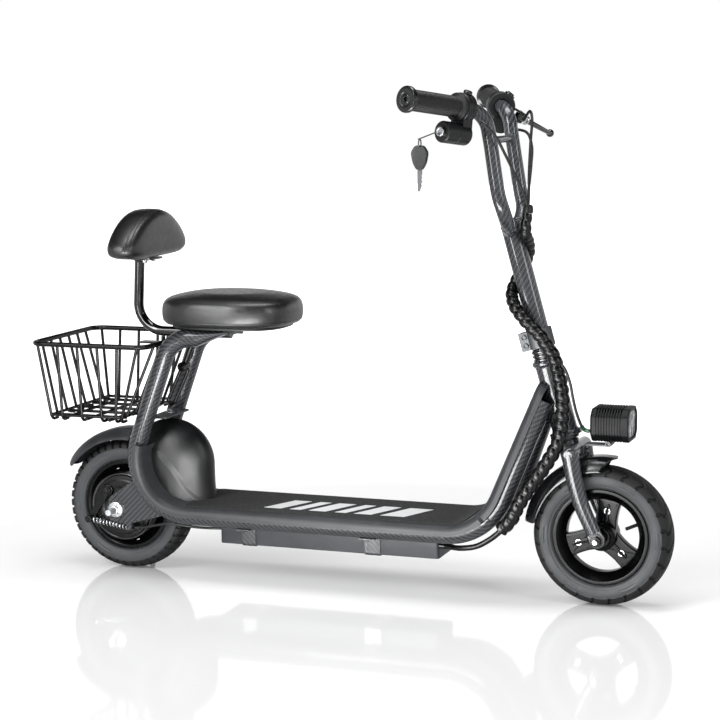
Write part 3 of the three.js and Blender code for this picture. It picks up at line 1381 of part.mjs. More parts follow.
// The throttle housing with its lock barrel, and the strap that the key hangs on.
function throttleHousing() {
  const f = gripFrame(-1);
  const h = HOUSING;
  const sleeve = rod(gripPlace(f, h.from, 0, 0), gripPlace(f, h.from + h.length, 0, 0), h.radius, 16);
  const barrel = rod(
    gripPlace(f, h.from, 0, h.drop),
    gripPlace(f, h.from + h.barrelLength, 0, h.drop),
    h.barrel,
    16,
  );
  const web = slabBetween(f, h.from, h.from + h.length, h.web, 0, h.drop);
  return joined([sleeve, barrel, web, keyStrap()], [barSpace(f)]);
}

// A block on a grip's frame between two stations, from one depth below it to another.
function slabBetween(f, fromOut, toOut, half, fromDown, toDown) {
  const block = new THREE.BoxGeometry(2 * half, toOut - fromOut, toDown - fromDown);
  const turn = new THREE.Matrix4().makeBasis(
    f.ahead.clone(),
    f.along.clone(),
    f.ahead.clone().cross(f.along),
  );
  block.applyMatrix4(turn);
  const place = gripPlace(f, (fromOut + toOut) / 2, 0, (fromDown + toDown) / 2);
  return block.translate(place.x, place.y, place.z);
}

// Where the strap leaves the lock barrel, and where the key's ring hangs.
function strapEnds() {
  const f = gripFrame(-1);
  const from = gripPlace(f, HOUSING.from + HOUSING.barrelLength - STRAP_CORD.width, -HOUSING.barrel * 0.8,
    HOUSING.drop);
  const to = from.clone().add(vec(STRAP_CORD.dx, 0, STRAP_CORD.dz));
  return { from, to };
}

function keyStrap() {
  const { from, to } = strapEnds();
  const angle = Math.atan2(to.z - from.z, to.x - from.x);
  const length = from.distanceTo(to);
  const shape = new THREE.Shape();
  shape.moveTo(-STRAP_CORD.width, -STRAP_CORD.width / 2);
  shape.lineTo(length, -STRAP_CORD.width / 2);
  shape.absarc(length, 0, STRAP_CORD.eye, -Math.PI / 2, Math.PI / 2, false);
  shape.lineTo(-STRAP_CORD.width, STRAP_CORD.width / 2);
  const hole = new THREE.Path();
  hole.absarc(length, 0, STRAP_CORD.hole, 0, 2 * Math.PI, true);
  shape.holes.push(hole);
  const strap = new THREE.ExtrudeGeometry(shape, {
    depth: STRAP_CORD.thickness, bevelEnabled: false, curveSegments: 5,
  });
  strap.rotateX(Math.PI / 2).rotateY(-angle);
  return strap.translate(from.x, from.y + STRAP_CORD.thickness / 2, from.z);
}

// The key hangs on its ring, which goes through the strap's eye and the key's head.
function spareKey() {
  const { to } = strapEnds();
  const top = to.z - (STRAP_CORD.hole - KEY.ringWire) / 2;
  const ringZ = top - KEY.ring;
  const ring = new THREE.TorusGeometry(KEY.ring, KEY.ringWire, 5, 14).rotateY(Math.PI / 2);
  ring.translate(to.x, to.y, ringZ);
  const headTop = ringZ - KEY.ring + KEY.holeDrop;
  const head = new THREE.Shape();
  const half = KEY.headWidth / 2;
  head.moveTo(-half * 0.5, headTop);
  head.lineTo(half * 0.5, headTop);
  head.lineTo(half, headTop - KEY.shoulder);
  head.lineTo(half * 0.8, headTop - KEY.headHeight + KEY.shoulder);
  head.lineTo(half * 0.35, headTop - KEY.headHeight);
  head.lineTo(-half * 0.35, headTop - KEY.headHeight);
  head.lineTo(-half * 0.8, headTop - KEY.headHeight + KEY.shoulder);
  head.lineTo(-half, headTop - KEY.shoulder);
  head.closePath();
  const bow = new THREE.ExtrudeGeometry(head, { depth: KEY.headThick, bevelEnabled: false });
  bow.rotateX(Math.PI / 2).translate(to.x, to.y + KEY.headThick / 2, 0);
  const low = headTop - KEY.headHeight;
  const blade = boxBetween(
    vec(to.x - KEY.bladeWidth / 2, to.y - KEY.bladeThick / 2, low - KEY.bladeLength),
    vec(to.x + KEY.bladeWidth / 2, to.y + KEY.bladeThick / 2, low + CUT),
  );
  return joined([ring, bow, blade]);
}

function lockPlug() {
  const f = gripFrame(-1);
  const start = HOUSING.from + HOUSING.barrelLength + GAP;
  const end = start + LOCK.depth;
  const plug = rod(gripPlace(f, start, 0, HOUSING.drop), gripPlace(f, end, 0, HOUSING.drop), LOCK.radius, 16);
  const slot = slabBetween(f, end - LOCK.slotDepth, end + CUT, LOCK.slot,
    HOUSING.drop - LOCK.slotLength, HOUSING.drop + LOCK.slotLength);
  return joined([plug], [slot]);
}

// Directions at the lever: its pivot's axis, and the way it points.
function leverFrame() {
  const f = gripFrame(1);
  const tilt = deg(LEVER.tiltDeg);
  const ahead = f.ahead.clone().multiplyScalar(Math.cos(tilt)).addScaledVector(f.down, Math.sin(tilt));
  const axis = f.along.clone().cross(ahead).normalize();
  const splay = deg(LEVER.splayDeg);
  const along = f.along.clone().multiplyScalar(Math.cos(splay)).addScaledVector(ahead, Math.sin(splay));
  const pivot = f.from.clone().addScaledVector(f.along, LEVER.out).addScaledVector(ahead, LEVER.ahead);
  return { f, ahead, axis, along, pivot };
}

function brakeLever() {
  const { axis, along, pivot } = leverFrame();
  const half = LEVER.hubHeight / 2;
  const hub = rod(
    pivot.clone().addScaledVector(axis, -half),
    pivot.clone().addScaledVector(axis, half),
    LEVER.hub,
    12,
  );
  const tip = pivot.clone().addScaledVector(along, LEVER.length - LEVER.ball);
  const blade = rod(pivot.clone().addScaledVector(along, LEVER.hub / 2), tip, LEVER.root, 7, LEVER.tip);
  const ball = new THREE.SphereGeometry(LEVER.ball, 8, 5).translate(tip.x, tip.y, tip.z);
  const hole = rod(
    pivot.clone().addScaledVector(axis, -LEVER.hubHeight),
    pivot.clone().addScaledVector(axis, LEVER.hubHeight),
    LEVER.pin + GAP,
    8,
  );
  const trim = [-1, 1].map((side) => rod(
    pivot.clone().addScaledVector(axis, side * half),
    pivot.clone().addScaledVector(axis, side * LEVER.hubHeight),
    LEVER.hub + LEVER.fork,
    10,
  ));
  return joined([hub, blade, ball], [hole, ...trim]);
}

// The left housing: sleeve, lower lobe, and the fork and pin that carry the lever.
function leftHousing() {
  const { f, ahead, axis, pivot } = leverFrame();
  const h = HOUSING;
  const sleeve = rod(gripPlace(f, h.from, 0, 0), gripPlace(f, h.from + h.length, 0, 0), h.radius, 16);
  const lobe = rod(
    gripPlace(f, h.from, 0, LEFT_BOX.drop),
    gripPlace(f, h.from + h.length, 0, LEFT_BOX.drop),
    LEFT_BOX.lobe,
    14,
  );
  const parts = [sleeve, lobe];
  const gap = LEVER.hubHeight / 2 + GAP;
  for (const side of [-1, 1]) {
    const block = new THREE.BoxGeometry(LEVER.ahead - h.radius / 2, LEVER.armWidth, LEVER.fork);
    block.applyMatrix4(new THREE.Matrix4().makeBasis(ahead, axis.clone().cross(ahead), axis));
    const place = pivot.clone()
      .addScaledVector(ahead, -(LEVER.ahead - h.radius / 2) / 2)
      .addScaledVector(axis, side * (gap + LEVER.fork / 2));
    parts.push(block.translate(place.x, place.y, place.z));
    parts.push(rod(
      pivot.clone().addScaledVector(axis, side * gap),
      pivot.clone().addScaledVector(axis, side * (gap + LEVER.fork)),
      LEVER.armWidth / 2,
      12,
    ));
  }
  parts.push(rod(
    pivot.clone().addScaledVector(axis, -gap - CUT),
    pivot.clone().addScaledVector(axis, gap + CUT),
    LEVER.pin,
    8,
  ));
  const { from, to } = buttonLine(BUTTON.travel + GAP);
  return joined(parts, [barSpace(f), rod(from, to, BUTTON.radius + GAP, 12)]);
}

function buttonLine(below) {
  const f = gripFrame(1);
  const lift = deg(BUTTON.liftDeg);
  const way = f.ahead.clone().multiplyScalar(Math.cos(lift)).addScaledVector(f.down, -Math.sin(lift));
  const root = gripPlace(f, BUTTON.out, 0, 0).addScaledVector(way, HOUSING.radius - BUTTON.well);
  return {
    way,
    from: root.clone().addScaledVector(way, -below),
    to: root.clone().addScaledVector(way, BUTTON.length),
  };
}

function hornButton() {
  const { from, to } = buttonLine(0);
  return rod(from, to, BUTTON.radius, 12);
}

// Headlight

const LAMP_AT = { x: HEAD_FOOT.x + LAMP.ahead, z: HEAD_FOOT.z + LAMP.up };

function lampBlock(fromX, toX, inset) {
  const half = LAMP.width / 2 - inset;
  const high = LAMP.height / 2 - inset;
  const c = LAMP.chamfer - inset / 2;
  const shape = new THREE.Shape([
    [-half, -high + c], [-half + c, -high], [half - c, -high], [half, -high + c],
    [half, high - c], [half - c, high], [-half + c, high], [-half, high - c],
  ].map(([y, z]) => new THREE.Vector2(y, z)));
  const block = new THREE.ExtrudeGeometry(shape, { depth: toX - fromX, bevelEnabled: false });
  block.rotateX(Math.PI / 2).rotateZ(Math.PI / 2);
  return block.translate(fromX, 0, LAMP_AT.z);
}

// The finned lamp box: a chamfered block, slots across its top, a recess for the lens.
function headlightBox() {
  const back = LAMP_AT.x - LAMP.length / 2;
  const front = LAMP_AT.x + LAMP.length / 2;
  const cuts = [lampBlock(front - LAMP.rim, front + CUT, LAMP.rim)];
  const finZone = LAMP.length - 4 * LAMP.rim;
  for (let i = 0; i < LAMP.fins; i += 1) {
    const x = back + 2 * LAMP.rim + finZone * i / (LAMP.fins - 1);
    cuts.push(boxBetween(
      vec(x, -LAMP.width, LAMP_AT.z + LAMP.height / 2 - LAMP.finDepth),
      vec(x + LAMP.finGap, LAMP.width, LAMP_AT.z + LAMP.height),
    ));
  }
  return joined([lampBlock(back, front, 0)], cuts);
}

function headlightLens() {
  const front = LAMP_AT.x + LAMP.length / 2;
  return lampBlock(front - LAMP.rim + GAP, front - LAMP.rim + GAP + LAMP.lens, LAMP.rim + GAP);
}

// The bent silver strip from the fork's crown to the lamp.
function headlightBracket() {
  const b = LAMP_BRACKET;
  const top = FORK_ROUTE[0];
  const crown = steered(top.t, 0, top.s);
  const x = crown.x + FORK.crownRadius + GAP;
  const lampLow = LAMP_AT.z - LAMP.height / 2 - GAP;
  const shelf = lampLow - b.lift;
  const leg = boxBetween(
    vec(x, -b.halfWidth, shelf - b.drop),
    vec(x + b.thickness, b.halfWidth, shelf + b.thickness),
  );
  const plate = boxBetween(vec(x, -b.halfWidth, shelf), vec(LAMP_AT.x, b.halfWidth, shelf + b.thickness));
  const lug = boxBetween(vec(LAMP_AT.x - b.lug, -b.halfWidth, shelf), vec(LAMP_AT.x, b.halfWidth, lampLow));
  const bolt = rod(
    vec(LAMP_AT.x - b.lug / 2, -b.halfWidth - b.boltHeight, shelf + b.lift / 2),
    vec(LAMP_AT.x - b.lug / 2, -b.halfWidth + CUT, shelf + b.lift / 2),
    b.bolt,
    16,
  );
  return joined([leg, plate, lug, bolt]);
}

// Cords. Each route is a list of points chosen by hand: X from the front axle, Y, and Z from the ground.

const LOOM_UPPER = [
  [-137, -25, 706], [-139, -28, 690], [-140, -31, 672], [-139, -34, 640], [-132, -35, 569],
  [-123, -36, 519], [-108, -39, 488], [-94, -39.6, 468], [-83.5, -38.9, 451.3], [-78, -38.5, 430],
];
const LOOM_BEND = [
  [-77.8, -38.5, 429.1], [-72, -38, 406.8], [-67.5, -39.5, 375], [-67, -45, 342], [-68, -49, 322],
  [-72, -55, 300], [-84, -60, 275], [-98, -64, 252], [-118, -70, 222], [-137, -78, 190],
  [-152, -78, 160], [-170, -77, 141],
];
const LOOM_TAIL = [
  [-166, -77, 145], [-174, -76, 136], [-192, -74, 121], [-218, -72, 106], [-250, -66, 99],
  [-272, -50, 96], [-284, -44, 95], [-296.4, -43, 95],
];
const LAMP_WIRE = [
  [-81, -38.7, 446], [-65, -44, 436], [-53, -46, 410], [-48, -43, 382], [-43, -36, 354], [-36, -28, 330],
  [-31, -22, 321], [-20.6, -22, 319],
];
const BAR_CABLES = [
  [
    [-198, -106, 868], [-178, -94, 846], [-164, -76, 812], [-151, -52, 772], [-139, -34, 735],
    [-137, -26, 716],
  ],
  [
    [-180, 108, 868], [-165, 92, 884], [-154, 68, 872], [-150, 44, 832], [-143, 8, 780], [-137, -18, 735],
    [-137, -24, 716],
  ],
  [
    [-198, 100, 852], [-172, 96, 846], [-156, 74, 822], [-148, 40, 788], [-142, 4, 752], [-137, -18, 726],
    [-137, -24, 714],
  ],
];

function fromFront(points) {
  return points.map(([x, y, z]) => vec(FRONT.x + x, y, z));
}

function cordRoute(points, steps) {
  return smoothRoute(fromFront(points), steps);
}

// A spiral-wrapped bundle: ribs along a smooth route, each with a crest and a valley ring.
function ribbed(points) {
  const curve = new THREE.CatmullRomCurve3(fromFront(points), false, "centripetal");
  const ribs = Math.round((curve.getLength() - 2 * LOOM.crest) / LOOM.pitch);
  const length = curve.getLength();
  const stations = [0];
  const radii = [LOOM.valley];
  for (let i = 0; i < ribs; i += 1) {
    const start = LOOM.crest + i * LOOM.pitch;
    stations.push(start, start + LOOM.pitch / 2);
    radii.push(LOOM.valley, LOOM.crest);
  }
  stations.push(LOOM.crest + ribs * LOOM.pitch, length);
  radii.push(LOOM.valley, LOOM.valley);
  const places = stations.map((at) => curve.getPointAt(Math.min(1, at / length)));
  return ringTube(places, radii, LOOM.sides);
}

function loomBend() {
  return joined([ribbed(LOOM_BEND), tube(cordRoute(LOOM_TAIL, 9), LOOM.tail, 6)]);
}

function loomUpper() {
  return joined([ribbed(LOOM_UPPER), tube(cordRoute(LAMP_WIRE, 7), CABLE.radius, 6)]);
}

function handlebarCables() {
  const parts = BAR_CABLES.map((points) => tube(cordRoute(points, 9), CABLE.radius, 5));
  const [top, below] = fromFront(LOOM_UPPER);
  const up = top.clone().sub(below).normalize();
  const sleeve = top.clone().addScaledVector(up, 2 * GAP);
  parts.push(rod(sleeve, sleeve.clone().addScaledVector(up, 2 * CABLE.sleeve), CABLE.sleeve, 8));
  return joined(parts);
}

function buildSteering() {
  addMesh("front_tyre", turnedY(tyreProfile(), FRONT.x, FRONT.z, WHEEL_SIDES), RUBBER);
  addMesh("front_rim", frontRim(), GLOSS);
  addMesh("front_axle", frontAxle(), STEEL);
  addMesh("fork", forkBody(), CARBON);
  addMesh("front_mudguard", frontMudguard(), PLASTIC);
  addMesh("headset_cover", headsetCover(), GLOSS);
  addMesh("stem_tube", stemTube(), CARBON);
  addMesh("stem_clamp", stemClamp(), STEEL);
  addMesh("handlebar", handlebar(), CARBON);
  addMesh("throttle_grip", gripSleeve(-1), RUBBER);
  addMesh("left_grip", gripSleeve(1), RUBBER);
  addMesh("throttle_housing", throttleHousing(), PLASTIC);
  addMesh("lock_plug", lockPlug(), STEEL);
  addMesh("spare_key", spareKey(), MATTE);
  addMesh("left_housing", leftHousing(), PLASTIC);
  addMesh("brake_lever", brakeLever(), GLOSS);
  addMesh("horn_button", hornButton(), MATTE);
  addMesh("headlight_box", headlightBox(), PLASTIC);
  addMesh("headlight_lens", headlightLens(), LENS);
  addMesh("headlight_bracket", headlightBracket(), STEEL);
  addMesh("loom_upper", loomUpper(), GLOSS);
  addMesh("loom_bend", loomBend(), GLOSS);
  addMesh("handlebar_cables", handlebarCables(), RUBBER);
}

buildFrame();
buildDeck();
buildSeat();
buildBasket();
buildRear();
buildSteering();

const bounds = new THREE.Box3().setFromObject(group);
group.position.set(-(bounds.min.x + bounds.max.x) / 2, 0, 0);

export default group;
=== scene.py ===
"""Seated electric scooter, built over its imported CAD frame. Places are in millimetres from the rear axle."""

import math

import bmesh
import bpy
import numpy as np
from bpy.props import FloatProperty, FloatVectorProperty, IntProperty, PointerProperty
from mathutils import Matrix, Vector
from mathutils.bvhtree import BVHTree


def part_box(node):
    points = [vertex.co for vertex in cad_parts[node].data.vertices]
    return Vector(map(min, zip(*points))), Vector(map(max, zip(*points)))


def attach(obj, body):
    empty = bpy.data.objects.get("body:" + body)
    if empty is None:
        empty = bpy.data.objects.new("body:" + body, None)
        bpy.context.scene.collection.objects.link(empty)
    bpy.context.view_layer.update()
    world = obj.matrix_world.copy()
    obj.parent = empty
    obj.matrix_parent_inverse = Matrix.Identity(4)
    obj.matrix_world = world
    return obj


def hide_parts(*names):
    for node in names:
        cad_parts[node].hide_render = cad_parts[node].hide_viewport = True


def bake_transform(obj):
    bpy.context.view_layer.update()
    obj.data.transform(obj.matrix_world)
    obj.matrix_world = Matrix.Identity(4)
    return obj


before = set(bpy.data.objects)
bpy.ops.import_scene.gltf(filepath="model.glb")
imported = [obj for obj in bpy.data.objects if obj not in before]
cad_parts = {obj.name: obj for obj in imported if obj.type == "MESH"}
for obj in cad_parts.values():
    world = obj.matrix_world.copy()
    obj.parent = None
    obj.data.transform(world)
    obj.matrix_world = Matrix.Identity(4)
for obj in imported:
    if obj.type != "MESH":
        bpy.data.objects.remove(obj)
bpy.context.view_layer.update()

bl_info = {
    "name": "Seated electric scooter",
    "version": (1, 0, 0),
    "blender": (4, 5, 0),
    "location": "View3D > Sidebar > Scooter",
    "description": "Builds the seated scooter piece by piece",
    "category": "Add Mesh",
}

MM = 0.001
REAR_LOW, REAR_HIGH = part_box("rear_tyre")
FRONT_LOW, FRONT_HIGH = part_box("front_tyre")
ORIGIN = np.array([(REAR_LOW.x + REAR_HIGH.x) / 2, 0, 0])
WHEELBASE = (FRONT_LOW.x + FRONT_HIGH.x - REAR_LOW.x - REAR_HIGH.x) / 2 / MM
TYRE_RADIUS = (REAR_HIGH.z - REAR_LOW.z) / 2 / MM
REAR = np.array([0, 0, TYRE_RADIUS])
FRONT = np.array([WHEELBASE, 0, TYRE_RADIUS])
X, Y, Z = np.eye(3)

# Settings


def length(name, description, default):
    """A size in metres, from its value in millimetres."""
    return FloatProperty(name=name, description=description, default=default * MM, unit="LENGTH", precision=4)


def angle(name, description, default):
    return FloatProperty(name=name, description=description, default=math.radians(default), subtype="ANGLE")


def linear(hex_colour):
    """An sRGB hex colour as linear RGBA."""
    parts = [int(hex_colour[i:i + 2], 16) / 255 for i in (0, 2, 4)]
    return [c / 12.92 if c <= 0.04045 else ((c + 0.055) / 1.055) ** 2.4 for c in parts] + [1.0]


def colour(name, description, hex_colour):
    return FloatVectorProperty(name=name, description=description, size=4, min=0, max=1,
                               default=linear(hex_colour), subtype="COLOR")


class FrameSizes(bpy.types.PropertyGroup):
    rake: angle("Rake", "Lean of the steering axis from upright", 15.5)
    head_x: length("Head foot ahead", "Foot of the head tube, ahead of the rear axle", 868.2)
    head_z: length("Head foot height", "Foot of the head tube above the floor", 313)
    tube: length("Tube radius", "Radius of the two main tubes", 17.5)
    track: length("Half track", "Centre plane to a main tube's centre", 70)
    head_track: length("Half track at the head", "Centre plane to a tube's centre at the head", 31)
    seat_end_x: length("Seat tube end", "Front end of the seat stretch", 236)
    seat_z: length("Seat tube height", "Centre of the seat stretch", 466)
    seat_corner_x: length("Seat corner", "Corner below the seat", 122)
    seat_bend: length("Seat bend", "Bend radius below the seat", 62)
    deck_z: length("Deck tube height", "Centre of the deck stretch", 124)
    rear_bend: length("Rear bend", "Bend radius over the rear axle", 108)
    front_corner_x: length("Front corner", "Corner at the front of the deck", 741)
    front_bend: length("Front bend", "Bend radius at the front of the deck", 110)
    top_x: length("Tube top ahead", "Top end of the front rise", 836)
    top_z: length("Tube top height", "Top end of the front rise", 372)
    head: length("Head radius", "Outside of the head tube", 23)
    head_length: length("Head length", "Head tube between its cups", 126)
    cup: length("Lower cup radius", "Lower bearing cup", 29)
    top_cup: length("Upper cup radius", "Upper bearing cup", 27)
    cup_height: length("Cup height", "Height of each bearing cup", 8)
    dropout_y: length("Dropout place", "Centre plane to a dropout plate's middle", 72)
    plate: length("Dropout thickness", "Thickness of a dropout plate", 6)


class BodySizes(bpy.types.PropertyGroup):
    tray_half: length("Tray half width", "Half the width of the deck tray", 100)
    tray_top_half: length("Tray half width at the top", "Half the width of the front rise", 50)
    tray_roll: length("Tray roll", "Radius of the tray's rolled edge", 15)
    tray_skirt: length("Tray skirt", "Depth of the tray's edge", 19)
    tray_wall: length("Tray wall", "Thickness of the tray", 3)
    tray_rear_z: length("Tray rear height", "Height of the tray's rear end", 262)
    mat_half: length("Mat half width", "Half the width of the grip mat", 84)
    mat_top_half: length("Mat half width at the top", "Half the width at the front rise", 36)
    mat_rear_x: length("Mat rear end", "Rear end of the grip mat", 147)
    mat: length("Mat thickness", "Thickness of the grip mat", 1.6)
    dome_x: length("Dome ahead", "Centre of the inner fender", 88)
    dome_z: length("Dome height", "Centre of the inner fender", 212)
    dome: length("Dome radius", "Radius of the inner fender", 86)
    dome_half: length("Dome half width", "Half the width of the inner fender", 49)
    box_from_x: length("Battery box rear", "Rear end of the battery box", 206)
    box_to_x: length("Battery box front", "Front end of the battery box", 643)
    box_half: length("Battery box half width", "Half the width of the battery box", 46)
    box_low: length("Battery box bottom", "Underside of the battery box", 70)
    box_high: length("Battery box top", "Top edge of the battery box", 131)
    strap_rear_x: length("Rear strap", "Middle of the rear battery strap", 266)
    strap_rear_width: length("Rear strap width", "Width of the rear battery strap", 27)
    strap_front_x: length("Front strap", "Middle of the front battery strap", 514)
    strap_front_width: length("Front strap width", "Width of the front battery strap", 30)


class SeatSizes(bpy.types.PropertyGroup):
    seat_x: length("Seat place", "Middle of the seat", 220)
    seat_length: length("Seat length", "Front to back", 266)
    seat_width: length("Seat width", "Side to side", 222)
    seat_height: length("Seat height", "Thickness of the cushion", 57)
    seat_base: length("Seat base", "Underside of the cushion", 489.1)
    back_x: length("Backrest place", "Middle of the backrest's thickness", 46)
    back_thick: length("Backrest thickness", "Front to back", 65)
    back_base: length("Backrest base", "Underside of the backrest", 610)
    back_height: length("Backrest height", "Height of the cushion", 94)
    back_half: length("Backrest half width", "Half the width", 134)
    post: length("Post radius", "Radius of the backrest post", 9.5)
    welt: length("Welt radius", "Radius of the sewn edge", 1.7)


class BasketSizes(bpy.types.PropertyGroup):
    rear_x: length("Rim rear", "Rear rail of the basket", -142)
    front_x: length("Rim front", "Front rail of the basket", 96)
    half: length("Rim half width", "Centre plane to a side rail", 133)
    rim_z: length("Rim height", "Height of the rim", 452)
    floor_z: length("Floor height", "Height of the floor wires", 312)
    floor_rear_x: length("Floor rear", "Rear end of the floor", -108)
    floor_front_x: length("Floor front", "Front end of the floor", 38)
    floor_half: length("Floor half width", "Centre plane to the floor's edge", 119)
    rim: length("Rim radius", "Radius of the rim wire", 4.8)
    wire: length("Wire radius", "Radius of the thin wires", 2.9)
    corner: length("Rim corner", "Bend radius of the rim", 26)
    wire_step: length("Wire step", "Least gap between wires at the floor's front end", 11)
    side_wires: IntProperty(name="Side wires", description="Wires on each long side", default=6)
    end_wires: IntProperty(name="End wires", description="Wires on each short side", default=6)


class WheelSizes(bpy.types.PropertyGroup):
    half: length("Tyre half width", "Half the width of a tyre", 32)
    tread: length("Tread half width", "Half the width of the tread", 16)
    seat: length("Rim seat", "Radius of the bead seat", 83.6)
    lip: length("Rim lip", "Radius of the rim's lip", 88)
    rim_half: length("Rim half width", "Half the width of the rim", 27.5)
    well: length("Rim well", "Radius of the well", 72)
    axle: length("Rear axle radius", "Radius of the rear axle", 6)
    front_axle: length("Front axle radius", "Radius of the front axle", 5)
    hub: length("Front hub radius", "Radius of the front hub", 26)
    groove: length("Groove depth", "Depth of the tread's grooves", 3.4)


class SteeringSizes(bpy.types.PropertyGroup):
    leg: length("Fork leg radius", "Radius of a fork leg", 14)
    leg_y: length("Fork leg place", "Centre plane to a fork leg", 52)
    crown: length("Crown radius", "Radius of the fork's crown", 13)
    stem: length("Stem radius", "Radius of the stem", 18.5)
    stem_top: length("Stem top", "Top of the stem along its axis", 388)
    bar: length("Bar radius", "Radius of the handlebar", 12.8)
    cross: length("Cross bar radius", "Radius of the handlebar's cross bar", 6.5)
    grip: length("Grip radius", "Radius of a grip", 18.5)
    housing: length("Housing radius", "Radius of a control housing", 26)
    barrel: length("Lock barrel radius", "Radius of the throttle's lower barrel", 19)
    loom: length("Loom radius", "Crest of the spiral wrap", 13.5)
    cable: length("Cable radius", "Radius of a bare cable", 2.6)
    lamp_length: length("Lamp length", "Front to back", 70)
    lamp_width: length("Lamp width", "Side to side", 78)
    lamp_height: length("Lamp height", "Height of the lamp", 60)


class Colours(bpy.types.PropertyGroup):
    # The lit tow colour is painted sheen on the crowns of the printed threads.
    tow: colour("Lit tow", "Light threads of the weave print", "686a70")
    tow_dark: colour("Dark tow", "Dark threads of the weave print", "040405")
    enamel: colour("Enamel", "Black enamel", "070708")
    moulding: colour("Moulding", "Black moulded plastic", "151618")
    rubber: colour("Rubber", "Tyres and grips", "151516")
    deck: colour("Deck moulding", "Grey-black plastic of the deck tray", "424346")
    # The tyre wall colour is painted sheen: the walls are drawn a lighter grey than the tread.
    tyre_wall_sheen: colour("Tyre wall", "Bloomed rubber of the tyres' walls", "525457")
    leather: colour("Leatherette", "Seat covers", "111113")
    grey: colour("Battery grey", "Powder coat of the battery box", "484b50")
    steel: colour("Plated steel", "Bright fasteners", "b4b6b9")
    alloy: colour("Cast alloy", "Cast fittings", "8f9296")
    mark: colour("Deck stripes", "White stripes on the mat", "e6e7e8")
    sleeve: colour("Wire sleeve", "Sleeve on the lamp's wire", "2f6b46")
    lamp: colour("Lamp body", "Anodised lamp body", "0e0f11")
    floor: colour("Floor", "Studio floor", "f4f4f4")


class Millimetres:
    """Reads a settings group's lengths in millimetres."""

    def __init__(self, group):
        self.group = group

    def __getattr__(self, name):
        value = getattr(self.group, name)
        return value if isinstance(value, int) else value / MM


def sizes(part):
    return Millimetres(getattr(bpy.context.scene, "scooter_" + part))


# Geometry


def unit(v):
    v = np.asarray(v, float)
    return v / np.linalg.norm(v)


def polar(centre, radius, degrees, y=0.0):
    """A point round a wheel's axle."""
    turn = math.radians(degrees)
    return np.array([centre[0] + radius * math.cos(turn), y, centre[2] + radius * math.sin(turn)])


def steered(t, y, s):
    """A place of the raked steering frame: t forward, y left, s up along the axis."""
    size = sizes("frame")
    rake = size.group.rake
    return np.array([size.head_x + t * math.cos(rake) - s * math.sin(rake), y,
                     size.head_z + t * math.sin(rake) + s * math.cos(rake)])


def steering_axes():
    """Forward, left and up of the steering frame."""
    root = steered(0, 0, 0)
    return steered(1, 0, 0) - root, Y, steered(0, 0, 1) - root


def spaced(points, step):
    """Points along a polyline at an even step."""
    points = np.asarray(points, float)
    ends = np.concatenate([[0], np.cumsum(np.linalg.norm(np.diff(points, axis=0), axis=1))])
    count = max(2, round(ends[-1] / step) + 1)
    at = np.linspace(0, ends[-1], count)
    return np.stack([np.interp(at, ends, points[:, k]) for k in range(3)], axis=1)


def smooth(points, step=3.0):
    """A centripetal Catmull-Rom route through points, at an even step."""
    p = np.asarray(points, float)
    p = np.vstack([2 * p[0] - p[1], p, 2 * p[-1] - p[-2]])
    out = [p[1]]
    for i in range(1, len(p) - 2):
        knots = np.concatenate([[0], np.cumsum(np.linalg.norm(np.diff(p[i - 1:i + 3], axis=0), axis=1) ** 0.5)])
        for t in np.linspace(knots[1], knots[2], 17)[1:]:
            level = p[i - 1:i + 3]
            for spans in (((0, 1), (1, 2), (2, 3)), ((0, 2), (1, 3)), ((1, 2),)):
                level = [((knots[b] - t) * level[j] + (t - knots[a]) * level[j + 1]) / (knots[b] - knots[a])
                         for j, (a, b) in enumerate(spans)]
            out.append(level[0])
    return spaced(out, step)


def bent(corners, bends, step=4.0):
    """A route with straight stretches and round bends, one bend radius for each inner corner."""
    corners = [np.asarray(c, float) for c in corners]
    out = [corners[0]]
    for before, here, after, bend in zip(corners, corners[1:], corners[2:], bends):
        back, ahead = unit(before - here), unit(after - here)
        half = math.acos(np.clip(back @ ahead, -1, 1)) / 2
        centre = here + unit(back + ahead) * bend / math.sin(half)
        reach = bend / math.tan(half)
        start, end = here + back * reach - centre, here + ahead * reach - centre
        swing = math.pi - 2 * half
        for share in np.linspace(0, 1, 25):
            out.append(centre + (math.sin((1 - share) * swing) * start + math.sin(share * swing) * end)
                       / math.sin(swing))
    out.append(corners[-1])
    return spaced(out, step)


def softened(profile, radius, steps=4, closed=False):
    """A flat outline with its corners rounded."""
    p = [np.asarray(q, float) for q in profile]
    out = [] if closed else [p[0]]
    for i in range(0 if closed else 1, len(p) if closed else len(p) - 1):
        before, here, after = p[i - 1], p[i], p[(i + 1) % len(p)]
        reach = min(radius, np.linalg.norm(before - here) * 0.45, np.linalg.norm(after - here) * 0.45)
        start, end = here + unit(before - here) * reach, here + unit(after - here) * reach
        for t in np.linspace(0, 1, steps + 1):
            out.append((1 - t) ** 2 * start + 2 * t * (1 - t) * here + t * t * end)
    if not closed:
        out.append(p[-1])
    return out


def travelling_frames(path):
    """Unit directions along a path, and a side direction that never twists about it."""
    along = np.gradient(path, axis=0)
    along /= np.linalg.norm(along, axis=1)[:, None]
    side = np.cross(along[0], Y if abs(along[0] @ Y) < 0.9 else Z)
    out = []
    for a in along:
        side = unit(side - a * (side @ a))
        out.append((a, side, np.cross(a, side)))
    return out


def round_section(sides):
    turn = np.arange(sides) * 2 * math.pi / sides
    return np.stack([np.cos(turn), np.sin(turn)], axis=1)


def band(inner, outer, low, high):
    """The section of a plain ring or disc, for turning."""
    return [(inner, low), (outer, low), (outer, high), (inner, high)]


def rectangle(start, end, half):
    return [(start, -half), (end, -half), (end, half), (start, half)]


def arc(radius, from_deg, to_deg, count, middle=0.0):
    """Points of a round end, about a middle on the first axis."""
    turns = np.radians(np.linspace(from_deg, to_deg, count))
    return [(middle + radius * math.cos(a), radius * math.sin(a)) for a in turns]


